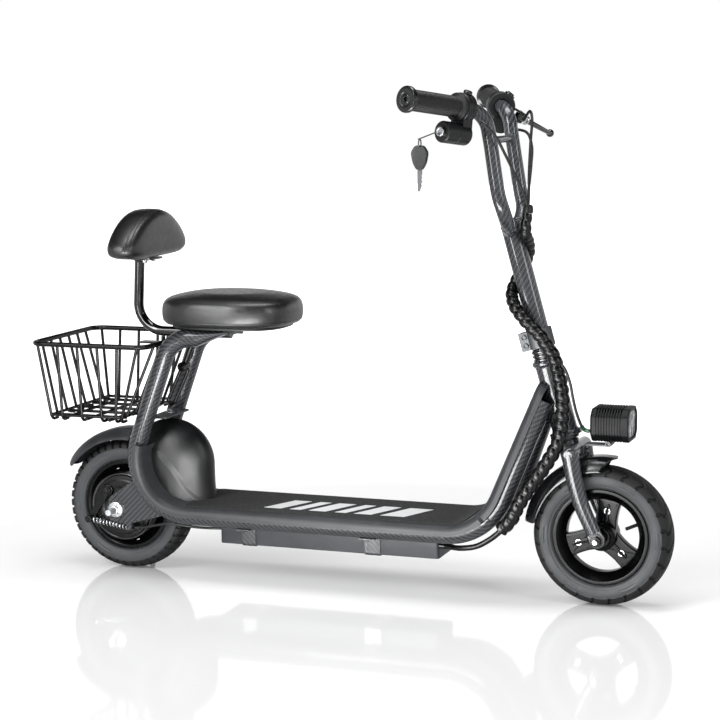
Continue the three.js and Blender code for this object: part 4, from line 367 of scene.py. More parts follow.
class Skin:
    """Gathers the points, faces and surface coordinates of one piece, in millimetres from the rear axle."""

    def __init__(self):
        self.points = []
        self.faces = []
        self.coordinates = []

    def loft(self, rings, caps=True, loop=False):
        """Joins closed rings of equal count; loop joins the last ring to the first."""
        rings = np.asarray(rings, float)
        count = rings.shape[1]
        first = len(self.points)
        self.points.extend(rings.reshape(-1, 3))
        middle = rings[len(rings) // 2]
        around = np.concatenate([[0], np.cumsum(np.linalg.norm(np.roll(middle, -1, axis=0) - middle, axis=1))])
        step = np.linalg.norm(np.diff(rings, axis=0), axis=2).mean(axis=1)
        along = np.concatenate([[0], np.cumsum(step), [0]])
        along[-1] = along[-2] + (step[-1] if len(step) else 0)
        for r in range(len(rings) if loop else len(rings) - 1):
            nxt = (r + 1) % len(rings)
            for i in range(count):
                k = (i + 1) % count
                self.faces.append([first + r * count + i, first + r * count + k, first + nxt * count + k,
                                   first + nxt * count + i])
                self.coordinates.extend([(along[r], around[i]), (along[r], around[i + 1]),
                                         (along[r + 1], around[i + 1]), (along[r + 1], around[i])])
        if caps and not loop:
            for start in (first, first + (len(rings) - 1) * count):
                self.flat(list(range(start, start + count)))
        return self

    def flat(self, corners):
        """One flat face over given points."""
        place = np.array([self.points[i] for i in corners])
        normal = np.cross(place, np.roll(place, -1, axis=0)).sum(axis=0) + 1e-9
        u = unit(np.cross(normal, Z if abs(unit(normal) @ Z) < 0.9 else X))
        v = np.cross(unit(normal), u)
        self.faces.append(corners)
        self.coordinates.extend((float(q @ u), float(q @ v)) for q in place)

    def sweep(self, path, radius, sides=20, section=None):
        """A bar along a path; radius is one number or one for each point, section an outline of unit size."""
        path = np.asarray(path, float)
        outline = round_section(sides) if section is None else np.asarray(section, float)
        radii = np.broadcast_to(np.asarray(radius, float), (len(path),))
        return self.loft([[p + r * (u * side + v * up) for u, v in outline]
                          for p, r, (_, side, up) in zip(path, radii, travelling_frames(path))])

    def turned(self, origin, axis, profile, sides=48, loop=False):
        """A round piece turned about an axis from (radius, height) pairs."""
        axis = unit(axis)
        side = unit(np.cross(axis, Y if abs(axis @ Y) < 0.9 else X))
        up = np.cross(axis, side)
        turn = np.arange(sides) * 2 * math.pi / sides
        spokes = np.cos(turn)[:, None] * side + np.sin(turn)[:, None] * up
        rings = [np.asarray(origin) + height * axis + max(radius, 1e-4) * spokes for radius, height in profile]
        return self.loft(rings, caps=False, loop=loop)

    def ring(self, origin, axis, profile, sides, soft, steps=4):
        """A hollow turned piece from a closed profile with softened corners."""
        return self.turned(origin, axis, softened(profile, soft, steps, closed=True), sides, loop=True)

    def knob(self, origin, axis, profile, sides, soft, steps=4):
        """A solid turned piece from an open profile with softened corners."""
        return self.turned(origin, axis, softened(profile, soft, steps), sides)

    def rod(self, start, end, radius, sides=20, soft=0.6):
        """A round bar between two points, with softened rims."""
        start, end = np.asarray(start, float), np.asarray(end, float)
        return self.knob(start, end - start, band(0, radius, 0, np.linalg.norm(end - start)), sides, soft)

    def slab(self, outline, origin, u, v, thickness, soft=0.8):
        """A flat outline given a thickness along the cross of u and v, with softened edges."""
        outline = [np.asarray(p, float) for p in outline]
        u, v = unit(u), unit(v)
        normal = np.cross(u, v)
        turn = sum(a[0] * b[1] - a[1] * b[0] for a, b in zip(outline, outline[1:] + outline[:1]))
        inward = []
        for before, here, after in zip(outline[-1:] + outline[:-1], outline, outline[1:] + outline[:1]):
            a, b = unit(here - before), unit(after - here)
            n = unit(np.array([-a[1] - b[1], a[0] + b[0]])) * (1 if turn > 0 else -1)
            inward.append(n / max(0.5, abs(n @ np.array([-a[1], a[0]]))))
        rings = []
        for inset, height in softened([(soft * 3, 0), (0, 0), (0, thickness), (soft * 3, thickness)], soft):
            rings.append([np.asarray(origin) + (p + n * inset)[0] * u + (p + n * inset)[1] * v + height * normal
                          for p, n in zip(outline, inward)])
        return self.loft(rings)

    def plate(self, outline, radius, steps, *rest):
        """A slab whose outline has rounded corners."""
        return self.slab(softened(outline, radius, steps, closed=True), *rest)

    def block(self, centre, half, axes=(X, Y, Z), soft=1.0):
        """A box about its centre, with softened edges."""
        a, b, c = half
        foot = np.asarray(centre) - c * np.asarray(axes[2])
        return self.slab(rectangle(-a, a, b), foot, axes[0], axes[1], 2 * c, soft)

    def ball(self, centre, radii, rings=24):
        """An ellipsoid along the scooter's axes."""
        out = []
        for lift in np.linspace(-math.pi / 2 + 1e-3, math.pi / 2 - 1e-3, rings):
            turn = np.arange(2 * rings) * math.pi / rings
            out.append(np.asarray(centre) + np.stack([np.cos(turn) * math.cos(lift) * radii[0],
                                                      np.sin(turn) * math.cos(lift) * radii[1],
                                                      np.full(len(turn), math.sin(lift) * radii[2])], axis=1))
        return self.loft(out)

    def hex_bolt(self, root, axis, radius, height, washer=0.0):
        """A hexagon head with its washer, standing on root."""
        root, axis = np.asarray(root, float), unit(axis)
        if washer:
            self.knob(root, axis, band(0, washer, 0, 1.4), 32, 0.4)
            root = root + 1.4 * axis
        self.knob(root, axis, [(0, 0), (radius, 0), (radius, height), (radius * 0.82, height + 0.5),
                               (0, height + 0.5)], 6, 0.3)
        return self

    def cap_bolt(self, root, axis, radius, height):
        """A round head with a hexagon socket."""
        root, axis = np.asarray(root, float), unit(axis)
        deep = height * 0.6
        self.knob(root, axis, [(0, 0), (radius, 0), (radius, height), (radius * 0.62, height),
                               (radius * 0.62, height - deep), (0, height - deep)], 24, 0.4, 3)
        return self

    def object(self, name, crease=38):
        """The piece as a Blender mesh, cleaned, facing out, with edges sharper than the crease kept."""
        mesh = bpy.data.meshes.new(name)
        mesh.from_pydata((np.asarray(self.points) * MM + ORIGIN).tolist(), [], self.faces)
        layer = mesh.uv_layers.new(name="Surface")
        layer.data.foreach_set("uv", np.asarray(self.coordinates, np.float32).ravel())
        work = bmesh.new()
        work.from_mesh(mesh)
        bmesh.ops.remove_doubles(work, verts=work.verts, dist=4e-6)
        bmesh.ops.recalc_face_normals(work, faces=work.faces)
        work.to_mesh(mesh)
        work.free()
        mesh.polygons.foreach_set("use_smooth", [True] * len(mesh.polygons))
        mesh.set_sharp_from_angle(angle=math.radians(crease))
        piece = bpy.data.objects.new(name.lower().replace(" ", "_"), mesh)
        bpy.context.scene.collection.objects.link(piece)
        return piece

    def dressed(self, name, look, slot, body=None, node=None, crease=38):
        """The finished piece; node is the CAD node that it stands for."""
        return dress(self.object(name, crease), finish(look), body, [node] if node else ())


def dress(piece, material, body=None, replaces=()):
    """Gives a piece its material, hides the CAD nodes it stands for, and hangs it on a body."""
    piece.data.materials.clear()
    piece.data.materials.append(material)
    if replaces:
        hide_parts(*replaces)
    if body:
        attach(piece, body)
    return piece


def carve(piece, *cutters):
    """Takes cutters away from a piece and deletes them."""
    for cutter in cutters:
        cut = piece.modifiers.new("Cut", "BOOLEAN")
        cut.object, cut.operation, cut.solver = cutter, "DIFFERENCE", "EXACT"
    bpy.context.view_layer.update()
    mesh = bpy.data.meshes.new_from_object(piece.evaluated_get(bpy.context.evaluated_depsgraph_get()))
    piece.modifiers.clear()
    piece.data = mesh
    for cutter in cutters:
        bpy.data.objects.remove(cutter)
    mesh.set_sharp_from_angle(angle=math.radians(38))
    return piece


# Materials


def add_node(tree, kind, inputs=None, **settings):
    """Adds a node with its settings, and sets or links its inputs."""
    node = tree.nodes.new(kind)
    for key, value in settings.items():
        setattr(node, key, value)
    for key, value in (inputs or {}).items():
        if isinstance(value, bpy.types.NodeSocket):
            tree.links.new(value, node.inputs[key])
        else:
            node.inputs[key].default_value = value
    return node


def per_metre(millimetres):
    """A texture scale from the size of one grain."""
    return 1 / (millimetres * MM)


def surface(name, **shader):
    """A material with its Principled shader set; returns the material, its tree and its shader."""
    material = bpy.data.materials.new(name)
    material.use_nodes = True
    tree = material.node_tree
    base = tree.nodes["Principled BSDF"]
    for key, value in shader.items():
        base.inputs[key.replace("_", " ")].default_value = value
    return material, tree, base


def object_place(tree):
    return add_node(tree, "ShaderNodeTexCoord").outputs["Object"]


def surface_place(tree):
    return add_node(tree, "ShaderNodeUVMap", uv_map="Surface").outputs["UV"]


def maths(tree, operation, first, second=0.0):
    return add_node(tree, "ShaderNodeMath", {0: first, 1: second}, operation=operation).outputs[0]


def clouds(tree, place, scale, detail):
    return add_node(tree, "ShaderNodeTexNoise", {"Vector": place, "Scale": scale, "Detail": detail}).outputs["Fac"]


def bumped(tree, base, height, millimetres, strength=1.0):
    """Relief of a depth in millimetres on the shader."""
    bump = add_node(tree, "ShaderNodeBump", {"Height": height, "Distance": millimetres * MM, "Strength": strength})
    tree.links.new(bump.outputs["Normal"], base.inputs["Normal"])


def ramp_between(tree, factor, low, high, from_low=0.35, from_high=0.65):
    """A factor stretched between two values."""
    return add_node(tree, "ShaderNodeMapRange", {"Value": factor, "From Min": from_low, "From Max": from_high,
                                                 "To Min": low, "To Max": high}).outputs["Result"]


def mixed_colour(tree, factor, first, second):
    node = add_node(tree, "ShaderNodeMix", {"Factor": factor}, data_type="RGBA")
    for socket, value in ((node.inputs[6], first), (node.inputs[7], second)):
        if isinstance(value, bpy.types.NodeSocket):
            tree.links.new(value, socket)
        else:
            socket.default_value = value
    return node.outputs[2]


def shaded(rgba, share):
    """A colour made darker or lighter by a share."""
    return [min(1.0, c * share) for c in rgba[:3]] + [1.0]


def grained(name, rgba, roughness, grain, relief, spread=0.06, tone=0.12, **shader):
    """A finish with an uneven tone, an uneven gloss and a fine relief, from a grain size in millimetres."""
    material, tree, base = surface(name, **shader)
    place = object_place(tree)
    cloud = clouds(tree, place, per_metre(38), 3.0)
    tint = mixed_colour(tree, ramp_between(tree, cloud, 0.0, 1.0), shaded(rgba, 1 - tone), shaded(rgba, 1 + tone))
    tree.links.new(tint, base.inputs["Base Color"])
    tree.links.new(ramp_between(tree, cloud, roughness - spread, roughness + spread), base.inputs["Roughness"])
    bumped(tree, base, clouds(tree, place, per_metre(grain), 2.0), relief)
    return material


def weave_print(name, colours, width=2.6, roughness=0.3):
    """Steel tube with a water-transfer twill print under clear lacquer: dark threads in diagonal steps, each
    painted with a lighter sheen along its crown, below one smooth glossy coat. The real thread is about 2 mm; it is
    drawn coarser to show."""
    material, tree, base = surface(name, Coat_Weight=0.75, Coat_Roughness=0.06, IOR=1.5, Specular_IOR_Level=0.12)
    place = surface_place(tree)
    axes = add_node(tree, "ShaderNodeSeparateXYZ", {"Vector": place}).outputs
    thread = [maths(tree, "DIVIDE", axes[k], width) for k in (0, 1)]
    column = [maths(tree, "FLOOR", t) for t in thread]
    across = [maths(tree, "FRACT", t) for t in thread]
    step = maths(tree, "FLOORED_MODULO", maths(tree, "SUBTRACT", column[0], column[1]), 4.0)
    over = maths(tree, "LESS_THAN", step, 2.0)
    crown = [maths(tree, "SINE", maths(tree, "MULTIPLY", a, math.pi)) for a in across]
    height = add_node(tree, "ShaderNodeMix", {"Factor": over, "A": crown[0], "B": crown[1]}).outputs["Result"]
    # The diagonal steps of lighter and darker threads are the print's pattern; the lighter crown along each thread
    # is painted sheen.
    print_and_sheen = maths(tree, "MULTIPLY", height, maths(tree, "ADD", maths(tree, "MULTIPLY", over, 0.65), 0.35))
    tree.links.new(mixed_colour(tree, print_and_sheen, list(colours.tow_dark), list(colours.tow)), base.inputs["Base Color"])
    wear = clouds(tree, place, 0.05, 3.0)
    tree.links.new(ramp_between(tree, wear, roughness - 0.05, roughness + 0.08), base.inputs["Roughness"])
    return material


def grip_mat_grit(rgba):
    """Mineral grit on a rubber sheet: a dull dark ground with fine pale specks."""
    material, tree, base = surface("Grip mat grit", Roughness=0.9, IOR=1.5)
    place = object_place(tree)
    # Real grit is 0.4 mm; it is drawn at 2.4 mm so that single specks show.
    grit = add_node(tree, "ShaderNodeTexVoronoi", {"Vector": place, "Scale": per_metre(2.4)})
    speck = ramp_between(tree, grit.outputs["Color"], 0.0, 1.0, 0.62, 0.9)
    tree.links.new(mixed_colour(tree, speck, shaded(rgba, 0.8), shaded(rgba, 4.5)), base.inputs["Base Color"])
    bumped(tree, base, grit.outputs["Distance"], 0.5)
    return material


def leatherette(rgba):
    """Embossed vinyl on foam: a soft broad gloss over small rounded pebbles with fine creases between them, painted
    darker in the creases as shade and lighter on the pebble tops.
    """
    material, tree, base = surface("Embossed leatherette", IOR=1.5, Coat_Weight=0.3, Coat_Roughness=0.26)
    place = object_place(tree)
    warp = add_node(tree, "ShaderNodeTexNoise", {"Vector": place, "Scale": per_metre(9), "Detail": 2.0})
    moved = add_node(tree, "ShaderNodeVectorMath", {0: warp.outputs["Color"], "Scale": 0.004}, operation="SCALE")
    place = add_node(tree, "ShaderNodeVectorMath", {0: place, 1: moved.outputs[0]}, operation="ADD").outputs[0]
    # Real pebbles are 1 mm; they are drawn at 2.2 mm.
    pebbles = add_node(tree, "ShaderNodeTexVoronoi", {"Vector": place, "Scale": per_metre(2.2)},
                       feature="DISTANCE_TO_EDGE")
    crease = ramp_between(tree, pebbles.outputs["Distance"], 0.0, 1.0, 0.0, 0.16)
    # Painted shade and highlight: darker in the creases, lighter on the pebble tops.
    tree.links.new(mixed_colour(tree, crease, shaded(rgba, 0.6), shaded(rgba, 1.1)), base.inputs["Base Color"])
    tree.links.new(ramp_between(tree, warp.outputs["Fac"], 0.33, 0.43), base.inputs["Roughness"])
    bumped(tree, base, crease, 0.1, 0.7)
    return material


def tyre_rubber(tread, wall):
    """Vulcanised tyre rubber: a dry black tread, and walls painted a lighter grey as a broad sheen."""
    material = grained("Vulcanised tyre rubber", tread, 0.6, 1.6, 0.06, 0.08, 0.2, IOR=1.52, Specular_IOR_Level=0.3)
    tree = material.node_tree
    base = tree.nodes["Principled BSDF"]
    dark = base.inputs["Base Color"].links[0].from_socket
    place = surface_place(tree)
    across = add_node(tree, "ShaderNodeSeparateXYZ", {"Vector": place}).outputs["Y"]
    # Painted sheen: away from the tread's middle the colour turns to the lighter wall colour.
    off = maths(tree, "ABSOLUTE", maths(tree, "SUBTRACT", across, TYRE_WALK / 2))
    uneven = maths(tree, "ADD", off, clouds(tree, place, 0.08, 3.0))
    share = ramp_between(tree, uneven, 0.0, 1.0, 33.0, 41.0)
    tree.links.new(mixed_colour(tree, share, dark, wall), base.inputs["Base Color"])
    return material


def clear_lens():
    """Moulded polycarbonate: clear, glossy, with shallow prism ribs that break up what is behind."""
    material, tree, base = surface("Moulded polycarbonate lens", IOR=1.585, Roughness=0.04, Alpha=1.0,
                                   Transmission_Weight=0.92)
    base.inputs["Base Color"].default_value = linear("eef1f4")
    place = object_place(tree)
    ribs = add_node(tree, "ShaderNodeTexWave", {"Vector": place, "Scale": per_metre(40)}, bands_direction="Y")
    bumped(tree, base, ribs.outputs["Fac"], 0.4)
    return material


FINISHES = {}


def finish(name):
    """The material of that name, made once."""
    if name in FINISHES:
        return FINISHES[name]
    c = bpy.context.scene.scooter_colours
    makers = {
        "weave": lambda: weave_print("Lacquered weave print", c),
        "strap weave": lambda: weave_print("Weave-print strap", c, 2.6, 0.34),
        # Stoved enamel on steel: deep black, wet gloss, with a faint orange-peel ripple.
        "enamel": lambda: grained("Stoved black enamel", c.enamel, 0.16, 4.0, 0.012, 0.03, Coat_Weight=0.4,
                                  Coat_Roughness=0.05, IOR=1.5),
        # Cast wheel sprayed black: a thin hard gloss with little depth to it.
        "wheel enamel": lambda: grained("Sprayed black wheel", c.enamel, 0.24, 3.0, 0.02, 0.04, IOR=1.5,
                                        Specular_IOR_Level=0.14),
        # Enamel dipped over a casting: black, a little duller where the casting is rough.
        "satin enamel": lambda: grained("Dipped satin enamel", c.enamel, 0.3, 2.2, 0.03, 0.05, IOR=1.5,
                                        Specular_IOR_Level=0.24),
        # Injection-moulded ABS from a polished tool: clear highlights a little softened by a fine texture.
        "gloss moulding": lambda: grained("Polished black ABS", c.moulding, 0.24, 2.6, 0.015, 0.04, IOR=1.54),
        # Injection-moulded ABS from a spark-eroded tool: an even satin grain.
        "satin moulding": lambda: grained("Satin black ABS", c.moulding, 0.4, 1.4, 0.04, 0.05, IOR=1.5,
                                          Specular_IOR_Level=0.36),
        # Deck tray of thick injection-moulded PP: grey-black, with one broad even sheen.
        "deck moulding": lambda: grained("Grained PP deck", c.deck, 0.42, 1.6, 0.03, 0.05, IOR=1.5,
                                         Specular_IOR_Level=0.2),
        # Polyethylene spiral wrap: slippery black with a broad wet gloss on each turn.
        "spiral wrap": lambda: grained("Polyethylene spiral wrap", c.enamel, 0.3, 3.0, 0.02, 0.04, IOR=1.5,
                                       Specular_IOR_Level=0.3),
        "tyre": lambda: tyre_rubber(c.rubber, c.tyre_wall_sheen),
        # Moulded grip rubber: softer and darker than the tyre.
        "grip rubber": lambda: grained("Moulded grip rubber", c.rubber, 0.5, 1.2, 0.04, 0.06, IOR=1.52,
                                       Specular_IOR_Level=0.36),
        "leatherette": lambda: leatherette(c.leather),
        "grit": lambda: grip_mat_grit(c.rubber),
        # Powder coat on sheet steel: mid grey with a pebbled satin skin.
        "powder coat": lambda: grained("Grey powder coat", c.grey, 0.48, 1.8, 0.05, 0.05, IOR=1.5,
                                       Specular_IOR_Level=0.25),
        # Bright zinc plate on turned steel: mirror bright with a slight haze.
        "plated steel": lambda: grained("Bright zinc plate", c.steel, 0.26, 5.0, 0.004, 0.05, 0.05, Metallic=1.0),
        # Cast and tumbled aluminium: grey metal with a soft broken shine.
        "cast alloy": lambda: grained("Tumbled cast aluminium", c.alloy, 0.4, 1.6, 0.05, 0.06, Metallic=1.0),
        # Zinc-plated pressed steel, dulled in the barrel: light grey with a clear but soft mirror.
        "dull zinc": lambda: grained("Dull zinc plate", shaded(c.steel, 0.24), 0.6, 3.0, 0.01, 0.05, 0.05,
                                     Metallic=1.0),
        # Anodised die-cast aluminium: near black with a satin shine.
        "anodised": lambda: grained("Anodised lamp body", c.lamp, 0.46, 1.4, 0.03, 0.05, IOR=1.5,
                                    Specular_IOR_Level=0.14),
        # Enamelled copper winding wire: warm brown metal.
        "copper": lambda: grained("Enamelled copper winding", linear("8e4f2c"), 0.35, 1.0, 0.1, 0.05, Metallic=1.0),
        # Screen-printed white ink: flat and slightly chalky.
        "stripe ink": lambda: grained("White screen ink", c.mark, 0.55, 1.4, 0.02, 0.05, 0.03),
        # PVC sleeve: coloured, smooth and waxy.
        "sleeve": lambda: grained("Green PVC sleeve", c.sleeve, 0.4, 2.0, 0.02, 0.05),
        "lens": clear_lens,
    }
    FINISHES[name] = makers[name]()
    return FINISHES[name]


# Frame


def spine(step=4.0):
    """The side outline of the main tubes, in the centre plane."""
    f = sizes("frame")
    corners = [(f.seat_end_x, 0, f.seat_z), (f.seat_corner_x, 0, f.seat_z), (0, 0, f.deck_z),
               (f.front_corner_x, 0, f.deck_z), (f.top_x, 0, f.top_z)]
    return bent(corners, [f.seat_bend, f.rear_bend, f.front_bend], step)


def drawn_in(point, low, high):
    """A half width that narrows along the front rise."""
    f = sizes("frame")
    if point[0] <= f.front_corner_x:
        return low
    share = np.clip((point[2] - f.deck_z) / (f.top_z - f.deck_z), 0, 1)
    return low + (high - low) * share


def main_tube(side):
    """A main tube: its end is trimmed to the head tube, with the weld bead along the trim."""
    f = sizes("frame")
    path = np.array([[p[0], side * drawn_in(p, f.track, f.head_track), p[2]] for p in spine()])
    sides = 40
    frames = travelling_frames(path)
    outline = round_section(sides)
    root, (_, _, up) = steered(0, 0, 0), steering_axes()
    rings = np.array([[p + f.tube * (u * a + v * b) for u, v in outline] for p, (_, a, b) in zip(path, frames)])
    skin = Skin()
    tongue = np.clip((path[:, 0] - f.seat_end_x + 62) / 62, 0, 1) * (path[:, 2] > f.seat_z - 5)
    top = (path[:, 2] + f.tube)[:, None]
    rings[..., 2] = top - (top - rings[..., 2]) * (1 - 0.74 * tongue)[:, None]
    off = rings - root
    out = off - (off @ up)[..., None] * up
    reach = np.linalg.norm(out, axis=2)
    inside = (reach < f.head - 0.8) & (rings[..., 2] > f.deck_z + f.tube * 3)
    rings[inside] += (out * ((f.head - 0.8) / np.maximum(reach, 1e-6) - 1)[..., None])[inside]
    skin.loft(rings)
    bead = []
    for i in range(sides):
        high = rings[1:, i, 2] > f.deck_z + 60
        crossing = np.where((reach[:-1, i] > f.head) & (reach[1:, i] <= f.head) & high)[0]
        if len(crossing):
            k = crossing[0]
            bead.append((math.atan2(*(rings[k, i] - path[k])[[0, 1]] * side), rings[k, i]))
    if len(bead) > 3:
        line = np.array([p for _, p in sorted(bead, key=lambda b: b[0])])
        skin.sweep(smooth(line, 2.0), 2.0, 10)
    return skin


STAND_PIVOT = np.array([-30.0, 0, 98])
CABLE_STOP = np.array([22.0, -62, 91])


def dropout(side):
    """The axle plate under the rear bend and the pressed rib round its bore."""
    f = sizes("frame")
    outline = [(36, 58), (-15, 22), (-15, -22), (22, -28), (100, -6), (100, 22)]
    near = REAR + Y * (side * f.dropout_y + f.plate / 2)
    face = REAR + Y * side * (f.dropout_y + f.plate / 2)
    skin = Skin().plate(outline, 7, 5, near, X, Z, f.plate, 0.9)
    return skin.ring(face, Y * side, band(15.5, 19, 0, 1.6), 40, 0.6)


def build_main_tubes():
    for side, name in ((-1, "right"), (1, "left")):
        main_tube(side).dressed("Main tube " + name, "weave", "print_tube", "frame", "frame_tube_" + name)


def build_head_tube():
    f = sizes("frame")
    top = f.head_length
    groove = f.cup_height * 0.5
    profile = [(f.cup - 4, -f.cup_height), (f.cup, -f.cup_height), (f.cup, -groove), (f.cup - 1.2, -groove + 0.8),
               (f.cup, -groove + 1.6), (f.cup, 0), (f.head + 1.4, 1.5), (f.head, 5), (f.head, top - 5),
               (f.head + 1.2, top - 1.5), (f.top_cup, top), (f.top_cup, top + f.cup_height - 2),
               (f.top_cup - 2, top + f.cup_height), (18, top + f.cup_height), (18, -f.cup_height)]
    skin = Skin().ring(steered(0, 0, 0), steering_axes()[2], profile, 64, 0.9, 3)
    skin.dressed("Head tube", "weave", "print_tube", "frame", "head_tube")


def build_seat_bridge():
    f = sizes("frame")
    half = f.track - f.tube
    low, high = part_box("seat_bridge")
    low, high = (np.array(p) / MM - ORIGIN / MM for p in (low, high))
    skin = Skin().block((low + high) / 2, (high - low) / 2 + [0, 1, 0], soft=1.0)
    skin.dressed("Seat bridge", "enamel", "print_tube", "frame", "seat_bridge")
    skin = Skin().rod((190, -half - 1, f.deck_z), (190, half + 1, f.deck_z), 10, 24)
    for x, y in ((162, -30), (162, 30), (210, -30), (210, 30)):
        skin.hex_bolt((x, y, f.seat_z + f.tube - 6), -Z, 5, 4, 8)
    skin.dressed("Cross tube and bridge bolts", "enamel", "black_enamel", "frame", "deck_cross_tube")


def build_seat_stay():
    """The bent wire stay and its knob behind the seat tubes, hung from the backrest post."""
    corners = [(112, 0, 400), (81, 0, 334), (85, 0, 326), (94, 0, 329), (124, 0, 392), (118, 0, 404)]
    skin = Skin().sweep(bent(corners, [3, 4, 5, 5], 2.0), 3.8, 16)
    knob = np.array([116, 0, 401])
    skin.rod(knob - Y * 13, knob + Y * 13, 9, 28, 1.5)
    skin.rod(knob, (140, 0, 462), 6, 20)
    skin.knob(knob - Y * 13, -Y, band(0, 6, 0, 3), 6, 0.8)
    skin.dressed("Seat stay", "satin enamel", "black_enamel", "frame")


def build_dropouts():
    right = dropout(-1)
    right.block((27, -70, 95.5), (5, 4.8, 6), soft=0.8)
    right.rod(CABLE_STOP, CABLE_STOP + X * 10, 5, 24)
    right.block((27, -66, 91), (5, 5, 3.4), soft=0.8)
    tab = [(-41, -40.5), (-19, -40.5), (9, -16), (-9, 0), (-41, -18.5)]
    left = dropout(1).plate(tab, 4, 4, REAR + Y * 75, X, Z, 6)
    for start, end, radius, sides in ((69, 83, 9, 28), (69, 98.6, 4.5, 20), (95.6, 98.6, 6, 24)):
        left.rod(STAND_PIVOT + Y * start, STAND_PIVOT + Y * end, radius, sides)
    right.dressed("Dropout plate right", "strap weave", "print_tube", "frame", "dropout_right")
    left.dressed("Dropout plate left", "strap weave", "print_tube", "frame", "dropout_left")


# Deck and covers


def deck_line(offset, step=4.0):
    """Stations along the deck: place, inward normal and the tube's own place."""
    route = spine(step)
    along = np.gradient(route, axis=0)
    out = []
    for base, way in zip(route, along):
        inward = unit([-way[2], 0, way[0]])
        out.append((base + inward * offset, inward, base))
    return out


def tray_section(half, roll, wall, skirt):
    """Across and up of the tray's section: skirt, rolled edge, flat top, and the same inside."""
    turn = np.linspace(math.pi, math.pi / 2, 9)
    corner = [(-half + roll + roll * math.cos(a), -roll + roll * math.sin(a)) for a in turn]
    lip = [(-half - 0.4, -skirt), (-half, -skirt + 2)]
    outer = lip + corner
    outer += [(-x, z) for x, z in reversed(outer)]
    inner = roll - wall
    turn = np.linspace(0, math.pi / 2, 6)
    corner = [(half - roll + inner * math.cos(a), -roll + inner * math.sin(a)) for a in turn]
    back = [(half - wall, -skirt)] + corner
    back += [(-x, z) for x, z in reversed(back)]
    return outer + back


def build_tray():
    f, b = sizes("frame"), sizes("body")
    offset = f.tube + 0.5 + b.tray_wall
    rings = []
    for place, inward, base in deck_line(offset, 5.0):
        if base[2] > b.tray_rear_z and base[0] < f.front_corner_x:
            continue
        half = drawn_in(base, b.tray_half, b.tray_top_half)
        section = tray_section(half, b.tray_roll, b.tray_wall, b.tray_skirt)
        rings.append([place + Y * y + inward * z for y, z in section])
    (before, _, _), (last, inward, _) = deck_line(offset, 5.0)[-2:]
    way = unit(last - before)
    for step, narrow in ((8, 1), (16, 4), (22, 9), (26, 17)):
        section = tray_section(b.tray_top_half - narrow, b.tray_roll, b.tray_wall, b.tray_skirt)
        rings.append([last + way * step + Y * y + inward * z for y, z in section])
    tray = Skin().loft(rings).object("Deck tray")
    clear = TYRE_RADIUS + 10
    half = b.dome_half + 0.3
    wheel = Skin().turned(REAR - Y * half, Y, band(0, clear, 0, 2 * half), 96).object("Wheel space")
    head = Skin().rod(steered(0, 0, -60), steered(0, 0, 200), f.head + 0.4, 64).object("Head space")
    carve(tray, wheel, head)
    dress(tray, finish("deck moulding"), "frame", ["deck_tray"])


def build_mat():
    f, b = sizes("frame"), sizes("body")
    offset = f.tube + 0.5 + b.tray_wall + 0.2
    front_z = f.deck_z + 0.06 * (f.top_z - f.deck_z)
    line = [s for s in deck_line(offset, 3.0) if s[2][0] > b.mat_rear_x and s[2][2] < front_z]
    ends = len(line)
    rings = []
    for k, (place, inward, base) in enumerate(line):
        half = drawn_in(base, b.mat_half, b.mat_top_half)
        rounding = min(1.0, (ends - 1 - k) * 3.0 / 16, k * 3.0 / 10 + 0.02)
        half -= 14 * (1 - math.sqrt(max(0, 1 - (1 - rounding) ** 2)))
        section = [(-half, 0), (-half, 1.1), (-half + 0.6, b.mat), (half - 0.6, b.mat), (half, 1.1), (half, 0)]
        rings.append([place + Y * y + inward * z for y, z in section])
    Skin().loft(rings).dressed("Grip mat", "grit", "mat_rubber", "frame", "grip_mat")
    # Plain slanted bars where the deck carries print.
    top = f.deck_z + offset + b.mat
    ink = Skin()
    lean = 34
    for start, width in ((300, 34), (352, 22), (390, 34), (442, 22), (480, 34), (532, 46)):
        outline = [(start, -54), (start + width, -54), (start + width + lean, 22), (start + lean, 22)]
        ink.slab(outline, (0, 0, top - 0.2), X, Y, 0.5, 0.1)
    ink.dressed("Deck stripes", "stripe ink", "mat_rubber", "frame")


def build_inner_fender():
    b = sizes("body")
    centre = (b.dome_x, 0, b.dome_z)
    skin = Skin().ball(centre, (b.dome, b.dome_half, b.dome), 110)
    points = np.array(skin.points)
    from_axle = np.linalg.norm((points - REAR)[:, [0, 2]], axis=1)
    points[:, 1] *= 1 + 0.05 * stepped(TYRE_RADIUS + 8 - from_axle, 0, 7)
    ahead, down = points[:, 0] - b.dome_x, np.minimum(points[:, 2] - b.dome_z, 0)
    flare = 1 / np.sqrt(np.clip(1 - (down / b.dome) ** 2, 0.3, 1)) - 1
    flare *= np.clip((ahead + 30) / 40, 0, 1)
    points[:, 0] += np.maximum(ahead, 0) * flare * 1.1
    points[:, 1] *= 1 + flare
    skin.points = list(points)
    dome = skin.object("Inner fender", 60)
    wall = 7.0
    inside = Skin().ball(centre, (b.dome - wall, b.dome_half - wall, b.dome - wall), 36).object("Dome inside")
    clear = TYRE_RADIUS + 8
    half = sizes("wheels").half + 3
    wheel = Skin().turned(REAR - Y * half, Y, band(0, clear, 0, 2 * half), 96)
    carve(dome, inside, wheel.object("Wheel space"))
    dress(dome, finish("satin moulding"), "frame", ["inner_fender"])


def guard_section(radius, side_radius, half, wall):
    """Across and out of a mudguard's bowed section, with a rolled bead at each edge."""
    bead = 1.6
    shares = np.linspace(-1, 1, 25)
    outer = [(half * s, radius - (radius - side_radius) * s ** 4) for s in shares]
    inner = [((half - wall) * s, radius - (radius - side_radius) * s ** 4 - wall) for s in shares[::-1]]
    tip = [(half, side_radius - bead), (half - wall, side_radius - bead - 0.4)]
    return outer + tip + inner + [(-x, r) for x, r in reversed(tip)]


